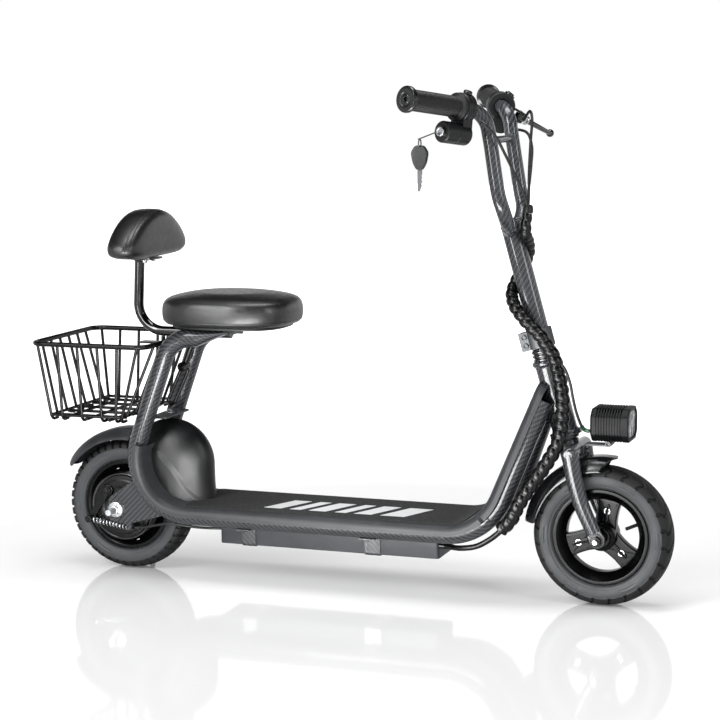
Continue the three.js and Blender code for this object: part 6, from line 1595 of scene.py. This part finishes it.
def build_handlebar():
    s = sizes("steering")
    skin = Skin()
    for side in (-1, 1):
        grip = GripFrame(side)
        route = smooth([steered(t, side * y, z) for t, y, z in BAR_ROUTE] + [grip.start], 3.0)
        line = np.vstack([route, spaced([grip.start, grip.at(grip.length - 6)], 5)[1:]])
        skin.sweep(line, s.bar, 32)
        weld = [(s.bar - 0.5, -3), (s.bar + 1.3, -1), (s.bar + 1.3, 1), (s.bar - 0.5, 3)]
        skin.knob(route[7], unit(route[8] - route[6]), weld, 32, 1.0)
    ends = [steered(24, y, 536) for y in (-73, 73)]
    skin.rod(*ends, s.cross, 28)
    weld = [(s.cross - 0.5, 0), (s.cross + 2, 0.6), (s.cross + 1.6, 3), (s.cross - 0.5, 4)]
    for end, way in zip(ends, (Y, -Y)):
        skin.knob(end + way * (s.bar - 1.5), way, weld, 28, 0.8)
    skin.dressed("Handlebar", "weave", "print_tube", "steering", "handlebar")


def grip_sleeve(side):
    """A ribbed rubber grip with its flange, and an end cap with a ring and a hole."""
    s = sizes("steering")
    grip = GripFrame(side)
    span = grip.length - 26
    bore, core = s.bar + 0.4, s.grip - 1.1
    profile = [(bore, 0), (25, 0), (25, 5), (s.grip + 1, 8), (core, 10)]
    ribs = int((span - 26) // 4.4)
    for k in range(ribs):
        at = 12 + k * 4.4
        profile += [(core, at), (s.grip, at + 0.8), (s.grip, at + 2.6), (core, at + 3.4)]
    profile += [(core, span - 9), (bore, span - 9)]
    sleeve = Skin().ring(grip.at(26), grip.out, profile, 56, 0.5, 2)
    cap = [(core - 2, span - 10), (core, span - 9), (23, span - 7), (23, span - 2), (21, span), (13, span),
           (12, span - 1.2), (8, span - 1.2), (7, span), (4, span), (4, span - 5), (core - 2, span - 5)]
    return sleeve, Skin().ring(grip.at(26), grip.out, cap, 56, 0.5, 3)


def build_grips():
    grips = ((-1, "Throttle grip", "throttle", "throttle_grip"), (1, "Left grip", "steering", "left_grip"))
    for side, name, body, node in grips:
        sleeve, cap = grip_sleeve(side)
        sleeve.dressed(name, "grip rubber", "tyre", body, node, crease=45)
        cap.dressed(name + " cap", "gloss moulding", "tyre", body, crease=45)


def shell(skin, grip, radius, start, end, down=0.0, bore=None):
    """A moulded round shell along a grip, with a parting groove round its middle."""
    middle = (start + end) / 2
    profile = [(bore or 0, start), (radius - 2, start), (radius, start + 2), (radius, middle - 0.8),
               (radius - 1, middle - 0.4), (radius - 1, middle + 0.4), (radius, middle + 0.8), (radius, end - 2),
               (radius - 2, end), (bore or 0, end)]
    if bore:
        return skin.ring(grip.at(0, 0, down), grip.out, profile, 64, 0.7, 3)
    return skin.knob(grip.at(0, 0, down), grip.out, profile, 64, 0.7, 3)


KEY_STRAP = (np.array([677.71, -157.45, 853.46]), np.array([645.71, -157.45, 841.46]))


def build_throttle():
    s = sizes("steering")
    grip = GripFrame(-1)
    skin = shell(Skin(), grip, s.housing, 2, 25, 0, s.bar + 0.8)
    shell(skin, grip, s.barrel, 2, 62, 45.5)
    skin.block(grip.at(13.5, 0, 25), (15, 11.5, 20), (grip.ahead, grip.out, np.cross(grip.ahead, grip.out)), 3)
    skin.knob(grip.at(2, 0, 45.5), -grip.out, [(0, 0), (8, 0), (7, 9), (0, 9)], 28, 1.0)
    start, end = KEY_STRAP
    way = unit(end - start)
    line = spaced([start - way * 4, end + way * 3], 1.5)
    skin.sweep(line, 1.0, section=[(-1, -2.5), (1, -2.5), (1, 2.5), (-1, 2.5)])
    skin.dressed("Throttle housing", "satin moulding", "moulded_black", "steering", "throttle_housing")
    knob = Skin().knob(grip.at(13, 8, -s.housing * 0.94), -grip.down * 0.9 + grip.ahead * 0.3,
                       [(0, 0), (8, 0), (8, 4), (6, 6), (0, 6)], 32, 1.2)
    knob.dressed("Throttle switch", "gloss moulding", "moulded_black", "steering")
    plug = Skin()
    base = grip.at(62.3, 0, 45.5)
    profile = [(0, 0), (9, 0), (9, 5), (8, 6), (5.4, 6), (5.0, 5.2), (0, 5.2)]
    plug.knob(base, grip.out, profile, 40, 0.4, 3)
    plug.block(base + grip.out * 5.6, (1.0, 4.0, 0.5), (grip.ahead, grip.down, grip.out), 0.2)
    plug.dressed("Lock plug", "plated steel", "bright_steel", "lock", "lock_plug")


def build_spare_key():
    hook = KEY_STRAP[1]
    ring_z = hook[2] - 8.35
    ring = [np.array([hook[0], hook[1] + 8 * math.cos(a), ring_z + 8 * math.sin(a)])
            for a in np.radians(np.arange(0, 360, 10))]
    bright = closed_seam(Skin(), np.array(ring), 1.2)
    top = ring_z - 3
    tooth = [(-4, -80), (-4, -42), (4, -42), (4, -50), (2.6, -53), (3.4, -56), (2.2, -59), (3.6, -62), (2.4, -66),
             (3.4, -70), (1.6, -74), (0, -80)]
    bright.slab([(hook[0] + x, top + z) for x, z in tooth], (0, hook[1] + 1.2, 0), X, Z, 2.4, 0.3)
    bright.dressed("Spare key blade", "dull zinc", "bright_steel", "key")
    bow = [(-8, 0), (8, 0), (16, -12), (12.8, -30), (5.6, -43), (-5.6, -43), (-12.8, -30), (-16, -12)]
    bow = softened(bow, 5, 5, closed=True)
    head = Skin().slab([(hook[0] + x, top + z) for x, z in bow], (0, hook[1] + 3.5, 0), X, Z, 7, 1.6)
    head.dressed("Spare key head", "satin moulding", "matte_black", "key", "spare_key")


def lever_frame():
    grip = GripFrame(1)
    tilt, splay = math.radians(30), math.radians(48)
    ahead = grip.ahead * math.cos(tilt) + grip.down * math.sin(tilt)
    axis = unit(np.cross(grip.out, ahead))
    along = grip.out * math.cos(splay) + ahead * math.sin(splay)
    return grip, ahead, axis, along, grip.at(16) + ahead * 40


def build_left_housing():
    s = sizes("steering")
    grip, ahead, axis, _, pivot = lever_frame()
    skin = shell(Skin(), grip, s.housing, 2, 25, 0, s.bar + 0.8)
    shell(skin, grip, 20, 2, 25, 30)
    for side in (-1, 1):
        outline = arc(10, -90, 90, 15) + [(-27, 10), (-27, -10)]
        across = np.cross(axis, ahead)
        base = pivot + axis * (6.3 if side > 0 else -10.3)
        skin.slab(outline, base, ahead, across, 4, 0.7)
    skin.dressed("Left housing", "satin moulding", "moulded_black", "steering", "left_housing")
    pin = Skin().rod(pivot - axis * 11.5, pivot + axis * 11.5, 3, 20)
    pin.cap_bolt(pivot + axis * 10.4, axis, 5.5, 2.6)
    pin.dressed("Lever pivot", "plated steel", "bright_steel", "steering")
    lift = math.radians(50)
    way = grip.ahead * math.cos(lift) - grip.down * math.sin(lift)
    root = grip.at(13) + way * (s.housing - 4)
    collar = Skin().ring(root, way, band(7.4, 10, 2, 6), 36, 0.8, 3)
    collar.dressed("Horn button collar", "gloss moulding", "moulded_black", "steering")
    button = Skin().knob(root, way, [(0, 0), (7, 0), (7, 8), (5.5, 9), (0, 9)], 36, 1.0, 3)
    button.dressed("Horn button", "gloss moulding", "matte_black", "horn", "horn_button")


def build_lever():
    _, _, axis, along, pivot = lever_frame()
    skin = Skin().ring(pivot, axis, band(3.3, 8, -5.8, 5.8), 36, 1.0, 3)
    across = np.cross(axis, along)
    reach = np.linspace(5, 116, 40)
    share = reach / 124
    line = [pivot + along * r + across * 3.0 * math.sin(math.pi * t) for r, t in zip(reach, share)]
    oval = round_section(24) * [0.75, 1.0]
    skin.sweep(np.array(line), 7.6 - 2.4 * share, section=oval)
    skin.ball(pivot + along * 116.5, (7.5, 7.5, 7.5), 20)
    skin.dressed("Brake lever", "enamel", "black_enamel", "lever", "brake_lever")
    barrel = [(7.4, 12), (9.2, 13), (9.2, 17), (8.2, 18), (8.2, 22), (9.2, 23), (9.2, 26), (7.2, 27)]
    barrel = Skin().ring(pivot, along, barrel, 32, 0.6, 3)
    barrel.dressed("Lever barrel", "plated steel", "bright_steel", "lever")


# Headlight

LAMP_UP = 19


def lamp_ring(x, inset, top_drop=0.0):
    """An eight-sided ring of the lamp at a place along it."""
    f, s = sizes("frame"), sizes("steering")
    half, high, corner = s.lamp_width / 2 - inset, s.lamp_height / 2 - inset, 13 - inset / 2
    middle = f.head_z + LAMP_UP
    ring = [(-half, -high + corner), (-half + corner, -high), (half - corner, -high), (half, -high + corner),
            (half, high - corner), (half - corner, high - top_drop), (-half + corner, high - top_drop),
            (-half, high - corner)]
    return [(x, y, middle + z) for y, z in softened(ring, 2.5, 3, closed=True)]


def build_headlight():
    f, s = sizes("frame"), sizes("steering")
    middle_x, middle_z = f.head_x + 88, f.head_z + LAMP_UP
    back, front = middle_x - s.lamp_length / 2, middle_x + s.lamp_length / 2
    stations = [(back, 5, 0), (back + 1.5, 1.5, 0), (back + 4, 0, 0)]
    fins = 10
    zone = s.lamp_length - 26
    for k in range(fins):
        at = back + 11 + zone * k / (fins - 1)
        stations += [(at - 0.2, 0, 0), (at, 1.6, 4.0), (at + 2.2, 1.6, 4.0), (at + 2.4, 0, 0)]
    stations += [(front - 1.5, 0, 0), (front, 1.2, 0), (front, 5.4, 0), (front - 6, 6.0, 0)]
    skin = Skin().loft([lamp_ring(x, inset, drop) for x, inset, drop in stations])
    skin.dressed("Headlight box", "anodised", "lamp_body", "steering", "headlight_box", crease=25)
    stations = ((front - 5.5, 6.6), (front - 2.2, 6.6), (front - 1.4, 8.0))
    lens = Skin().loft([lamp_ring(x, inset) for x, inset in stations])
    lens.dressed("Headlight lens", "lens", "lamp_lens", "steering", "headlight_lens")
    cup, cups = [(0, 0.1), (2, 0.1), (8, 0.3), (9.4, 0.4), (9.4, 0), (0, 0)], Skin()
    for y in (-16, 16):
        for z in (-9, 9):
            cups.knob((front - 5.9, y, middle_z + z), X, cup, 28, 0.1, 2)
    cups.dressed("Headlight reflectors", "plated steel", "lamp_lens", "steering")
    x = crown_place()[0] + s.crown + 0.3
    lamp_low = middle_z - s.lamp_height / 2 - 0.3
    shelf = lamp_low - 11
    line = softened([(x + 1.5, shelf - 19), (x + 1.5, shelf + 1.5), (middle_x - 1.5, shelf + 1.5),
                     (middle_x - 1.5, lamp_low)], 5, 6)
    ways = np.gradient(np.array(line), axis=0)
    rings = []
    for (px, pz), (dx, dz) in zip(line, ways):
        n = unit([-dz, 0, dx]) * 1.5
        rings.append([np.array([px, y, pz]) + side * n for y, side in ((-13, -1), (13, -1), (13, 1), (-13, 1))])
    strip = Skin().loft(rings)
    strip.block((middle_x - 6, 0, lamp_low - 2), (6, 13, 2), soft=0.6)
    strip.cap_bolt((middle_x - 6, -12.5, shelf + 5.5), -Y, 5, 5)
    strip.hex_bolt((x + 3, 0, shelf - 11), X, 5, 4, 8)
    strip.dressed("Headlight bracket", "dull zinc", "bright_steel", "steering", "headlight_bracket")


# Looms and cables

LOOM_UPPER = [(803, -25, 706), (801, -27, 690), (800, -22, 670), (798, 4, 652), (793, 23, 630), (782, 27, 606),
              (771, 19, 582), (768, -1, 560), (779, -22, 540), (798, -34, 520), (815, -38, 504), (832, -39, 488),
              (846, -39.6, 468), (856.5, -38.9, 451.3), (862, -38.5, 430)]
LOOM_BEND = [(862.2, -38.5, 429.1), (868, -38, 406.8), (872.5, -39.5, 375), (873, -45, 342), (872, -49, 322),
             (868, -55, 300), (856, -60, 275), (842, -64, 252), (822, -70, 222), (803, -78, 190), (788, -78, 160),
             (770, -77, 141)]
LOOM_TAIL = [(774, -77, 145), (766, -76, 136), (748, -74, 121), (722, -72, 106), (690, -66, 99), (668, -50, 96),
             (656, -44, 95), (643.6, -43, 95)]
LAMP_WIRE = [(859, -38.7, 446), (875, -44, 436), (887, -46, 410), (892, -43, 382), (897, -36, 354),
             (904, -28, 330), (909, -22, 321), (919.4, -22, 319)]
BAR_CABLES = [
    [(742, -106, 868), (762, -94, 846), (776, -76, 812), (789, -52, 772), (801, -34, 735), (803, -26, 716)],
    [(760, 108, 868), (775, 92, 884), (786, 68, 872), (790, 44, 832), (797, 8, 780), (803, -18, 735),
     (803, -24, 716)],
    [(742, 100, 852), (768, 96, 846), (784, 74, 822), (792, 40, 788), (798, 4, 752), (803, -18, 726),
     (803, -24, 714)],
]
REAR_CABLE = [(33, -62, 91), (52, -63, 93), (80, -66, 100), (112, -70, 106), (148, -64, 102), (178, -42, 96),
              (194, -34, 95), (205.6, -33, 95)]


def spiral_wrap(points, start_turn=0.0, first=1.0):
    """A spiral-wrapped bundle: one rounded strip wound round it, each turn standing proud of the next.
    Its first end can be thinner by a share."""
    s = sizes("steering")
    path = smooth(points, 1.4)
    pitch, sides = 17.0, 28
    walk = np.arange(len(path)) * np.linalg.norm(path[1] - path[0])
    outline = round_section(sides)
    turn = np.arange(sides) / sides
    rings = []
    shares = np.linspace(first, 1.0, len(path))
    for p, at, share, (_, side, up) in zip(path, walk, shares, travelling_frames(path)):
        phase = at / pitch + turn + start_turn
        bulge = np.sqrt(np.abs(np.sin(math.pi * phase)))
        radius = share * (s.loom - 3.4 + 3.4 * bulge)
        rings.append([p + r * (u * side + v * up) for (u, v), r in zip(outline, radius)])
    return Skin().loft(rings)


def build_loom_upper():
    skin = spiral_wrap(LOOM_UPPER, first=0.74)
    skin.dressed("Upper loom", "spiral wrap", "loom_black", "steering", "loom_upper", crease=70)
    s = sizes("steering")
    wire = Skin().sweep(smooth(LAMP_WIRE, 2.5), s.cable, 14)
    wire.dressed("Headlight wire", "grip rubber", "loom_black", "steering")
    sleeve = Skin().sweep(smooth(LAMP_WIRE, 2.5)[-9:-1], s.cable + 1.0, 16)
    sleeve.dressed("Headlight wire sleeve", "sleeve", "loom_black", "steering")


def build_loom_bend():
    skin = spiral_wrap(LOOM_BEND, 0.4)
    skin.sweep(smooth(LOOM_TAIL, 3.0), 5.2, 20)
    piece = skin.object("Bending loom", 70)
    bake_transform(piece)
    dress(piece, finish("spiral wrap"), None, ["loom_bend"])


def build_cables():
    s = sizes("steering")
    skin = Skin()
    for points in BAR_CABLES:
        skin.sweep(smooth(points, 2.5), s.cable, 14)
    top, below = (np.array(p, float) for p in LOOM_UPPER[:2])
    up = unit(top - below)
    skin.knob(top + up * 0.6, up, [(0, 0), (9.5, 0), (9.5, 8), (7, 15), (0, 16)], 28, 1.6)
    skin.dressed("Handlebar cables", "grip rubber", "loom_black", "steering", "handlebar_cables")
    rear = Skin().sweep(smooth(REAR_CABLE, 2.5), s.cable, 14)
    rear.sweep(smooth(REAR_CABLE, 2.5)[:6], s.cable + 1.1, 16)
    rear.dressed("Rear cable", "grip rubber", "tyre", "frame", "rear_cable")


# Stage

CAMERA = {"turn": 19.85, "lift": 7.965, "roll": 0.484, "distance": 3722.0, "aim": (475.6, 0, 426.9), "lens": 100.0}


def build_camera():
    turn, lift, roll = (math.radians(CAMERA[k]) for k in ("turn", "lift", "roll"))
    forward = np.array([-math.sin(turn) * math.cos(lift), math.cos(turn) * math.cos(lift), -math.sin(lift)])
    right = unit(np.cross(forward, Z))
    down = np.cross(forward, right)
    right, down = (math.cos(roll) * right + math.sin(roll) * down, -math.sin(roll) * right + math.cos(roll) * down)
    place = (np.array(CAMERA["aim"]) - forward * CAMERA["distance"]) * MM + ORIGIN
    data = bpy.data.cameras.new("Camera")
    data.lens, data.sensor_width = CAMERA["lens"], 36
    data.clip_end = 60
    camera = bpy.data.objects.new("Camera", data)
    bpy.context.scene.collection.objects.link(camera)
    camera.matrix_world = Matrix.Translation(place) @ Matrix(np.stack([right, -down, -forward], axis=1)).to_4x4()
    bpy.context.scene.camera = camera


def softbox(name, place, aim, size, watts, gloss_only=False):
    """An area lamp; one for gloss only draws a highlight and leaves the exposure alone."""
    data = bpy.data.lights.new(name, "AREA")
    data.shape, data.size, data.size_y, data.energy = "RECTANGLE", *size, watts
    lamp = bpy.data.objects.new(name, data)
    bpy.context.scene.collection.objects.link(lamp)
    lamp.location = place
    lamp.rotation_euler = (Vector(aim) - Vector(place)).to_track_quat("-Z", "Y").to_euler()
    lamp.visible_camera = False
    lamp.visible_diffuse = not gloss_only


def seen_white(tree, weak):
    """A strength of one for what the camera, gloss and glass see, and a weaker one for soft light."""
    path = add_node(tree, "ShaderNodeLightPath").outputs
    seen = path["Is Camera Ray"]
    for other in ("Is Glossy Ray", "Is Transmission Ray"):
        seen = maths(tree, "MAXIMUM", seen, path[other])
    return add_node(tree, "ShaderNodeMapRange", {"Value": seen, "To Min": weak, "To Max": 1.0}).outputs["Result"]


FLOOR_LIFT = 0.1


def build_stage():
    scene = bpy.context.scene
    scene.view_settings.view_transform = "Standard"
    world = bpy.data.worlds.new("Studio")
    scene.world = world
    world.use_nodes = True
    tree = world.node_tree
    background = tree.nodes["Background"]
    background.inputs["Color"].default_value = (1, 1, 1, 1)
    tree.links.new(seen_white(tree, 0.26), background.inputs["Strength"])
    mesh = bpy.data.meshes.new("Floor")
    reach = 14
    mesh.from_pydata([(-reach, -reach, 0), (reach, -reach, 0), (reach, reach, 0), (-reach, reach, 0)], [],
                     [(0, 1, 2, 3)])
    floor = bpy.data.objects.new("Floor", mesh)
    scene.collection.objects.link(floor)
    # Polished white acrylic floor, lifted to white for the camera: it shows the shadow and a faint reflection.
    material, tree, base = surface("White acrylic floor", Roughness=0.07, IOR=1.55)
    base.inputs["Base Color"].default_value = scene.scooter_colours.floor
    path = add_node(tree, "ShaderNodeLightPath").outputs
    place = object_place(tree)
    away = add_node(tree, "ShaderNodeVectorMath", {0: place}, operation="LENGTH").outputs["Value"]
    lift = ramp_between(tree, away, FLOOR_LIFT, 1.0, 0.9, 2.4)
    glow = add_node(tree, "ShaderNodeEmission", {"Strength": maths(tree, "MULTIPLY", path["Is Camera Ray"], lift)})
    both = add_node(tree, "ShaderNodeAddShader", {0: base.outputs["BSDF"], 1: glow.outputs[0]})
    tree.links.new(both.outputs[0], tree.nodes["Material Output"].inputs["Surface"])
    mesh.materials.append(material)
    softbox("Key", (-1.6, -3.0, 2.9), (0, 0, 0.4), (1.6, 1.6), 75)
    softbox("Overhead", (0.2, -0.2, 3.3), (0, 0, 0.3), (2.6, 0.8), 60)
    softbox("Side", (3.2, -1.2, 1.7), (0, 0, 0.4), (0.9, 1.8), 34)
    softbox("Upright strip", (-1.2, -3.0, 1.5), (0.4, 0, 1.2), (0.6, 2.6), 78, True)
    softbox("Rear kicker", (-0.02, -0.8, 0.16), (0.02, 0, 0.16), (0.62, 0.32), 13, True)
    softbox("Front kicker", (0.4, -0.85, 0.14), (0.75, 0, 0.2), (0.26, 0.28), 3.6, True)
    # Black felt round the set keeps the white surround out of upright gloss; only gloss sees it.
    felt = Skin().turned((WHEELBASE / 2, 0, 0), Z, [(5200, 2000), (5200, 3300), (1900, 4300)],
                         48).object("Black flags")
    material, tree, base = surface("Black felt", Roughness=1.0, Specular_IOR_Level=0.0)
    base.inputs["Base Color"].default_value = linear("0a0a0a")
    felt.data.materials.append(material)
    for sight in ("camera", "diffuse", "shadow", "transmission"):
        setattr(felt, "visible_" + sight, False)


# Operators


class SCOOTER_OT_stage(bpy.types.Operator):
    """Sets up the camera, the lights, the floor and the white surround"""
    bl_idname = "scooter.stage"
    bl_label = "Stage"

    def execute(self, context):
        build_camera()
        build_stage()
        return {"FINISHED"}


class SCOOTER_OT_frame(bpy.types.Operator):
    """Builds the main tubes, head tube, seat bridge and axle plates"""
    bl_idname = "scooter.frame"
    bl_label = "Frame"

    def execute(self, context):
        build_main_tubes()
        build_head_tube()
        build_seat_bridge()
        build_seat_stay()
        build_dropouts()
        return {"FINISHED"}


class SCOOTER_OT_deck(bpy.types.Operator):
    """Builds the deck tray, its grip mat and stripes, the inner fender and the rear mudguard"""
    bl_idname = "scooter.deck"
    bl_label = "Deck and covers"

    def execute(self, context):
        build_tray()
        build_mat()
        build_inner_fender()
        build_rear_mudguard()
        return {"FINISHED"}


class SCOOTER_OT_battery(bpy.types.Operator):
    """Builds the battery box and its straps"""
    bl_idname = "scooter.battery"
    bl_label = "Battery box"

    def execute(self, context):
        build_battery_box()
        build_battery_straps()
        finish_hidden_parts()
        return {"FINISHED"}


class SCOOTER_OT_seat(bpy.types.Operator):
    """Builds the stuffed seat, the backrest and its post"""
    bl_idname = "scooter.seat"
    bl_label = "Seat and backrest"

    def execute(self, context):
        build_seat()
        build_backrest()
        build_post()
        return {"FINISHED"}


class SCOOTER_OT_basket(bpy.types.Operator):
    """Builds the wire basket and its rack"""
    bl_idname = "scooter.basket"
    bl_label = "Basket"

    def execute(self, context):
        build_basket()
        return {"FINISHED"}


class SCOOTER_OT_wheels(bpy.types.Operator):
    """Builds both tyres, the rims, the hub motor and the valves"""
    bl_idname = "scooter.wheels"
    bl_label = "Wheels"

    def execute(self, context):
        build_tyres()
        build_front_wheel()
        build_rear_wheel()
        return {"FINISHED"}


class SCOOTER_OT_rear_fittings(bpy.types.Operator):
    """Builds the drum brake, the rear axle and the kickstand"""
    bl_idname = "scooter.rear_fittings"
    bl_label = "Brake, axle and stand"

    def execute(self, context):
        build_drum_brake()
        build_rear_axle()
        build_kickstand()
        return {"FINISHED"}


class SCOOTER_OT_steering(bpy.types.Operator):
    """Builds the fork, front axle, front mudguard, stem and handlebar"""
    bl_idname = "scooter.steering"
    bl_label = "Fork, stem and handlebar"

    def execute(self, context):
        build_fork()
        build_front_axle()
        build_front_mudguard()
        build_stem()
        build_handlebar()
        return {"FINISHED"}


class SCOOTER_OT_controls(bpy.types.Operator):
    """Builds the grips, housings, lock, spare key, brake lever and horn button"""
    bl_idname = "scooter.controls"
    bl_label = "Controls"

    def execute(self, context):
        build_grips()
        build_throttle()
        build_spare_key()
        build_left_housing()
        build_lever()
        return {"FINISHED"}


class SCOOTER_OT_headlight(bpy.types.Operator):
    """Builds the finned headlight, its lens and its bracket"""
    bl_idname = "scooter.headlight"
    bl_label = "Headlight"

    def execute(self, context):
        build_headlight()
        return {"FINISHED"}


class SCOOTER_OT_looms(bpy.types.Operator):
    """Builds the spiral-wrapped looms and the bare cables"""
    bl_idname = "scooter.looms"
    bl_label = "Looms and cables"

    def execute(self, context):
        build_loom_upper()
        build_loom_bend()
        build_cables()
        return {"FINISHED"}


OPERATORS = (SCOOTER_OT_stage, SCOOTER_OT_frame, SCOOTER_OT_deck, SCOOTER_OT_battery, SCOOTER_OT_seat,
             SCOOTER_OT_basket, SCOOTER_OT_wheels, SCOOTER_OT_rear_fittings, SCOOTER_OT_steering,
             SCOOTER_OT_controls, SCOOTER_OT_headlight, SCOOTER_OT_looms)
SETTINGS = {"scooter_frame": FrameSizes, "scooter_body": BodySizes, "scooter_seat": SeatSizes,
            "scooter_basket": BasketSizes, "scooter_wheels": WheelSizes, "scooter_steering": SteeringSizes,
            "scooter_colours": Colours}


class SCOOTER_PT_build(bpy.types.Panel):
    """Lists the pieces of the scooter"""
    bl_idname = "SCOOTER_PT_build"
    bl_label = "Seated scooter"
    bl_space_type = "VIEW_3D"
    bl_region_type = "UI"
    bl_category = "Scooter"

    def draw(self, context):
        for operator in OPERATORS:
            self.layout.operator(operator.bl_idname)


def register():
    for settings in SETTINGS.values():
        bpy.utils.register_class(settings)
    for name, settings in SETTINGS.items():
        setattr(bpy.types.Scene, name, PointerProperty(type=settings))
    for operator in (*OPERATORS, SCOOTER_PT_build):
        bpy.utils.register_class(operator)


def unregister():
    for operator in (*OPERATORS, SCOOTER_PT_build):
        bpy.utils.unregister_class(operator)
    for name, settings in SETTINGS.items():
        delattr(bpy.types.Scene, name)
        bpy.utils.unregister_class(settings)


def main():
    register()
    for operator in OPERATORS:
        group, name = operator.bl_idname.split(".")
        getattr(getattr(bpy.ops, group), name)()


if __name__ == "__main__":
    main()
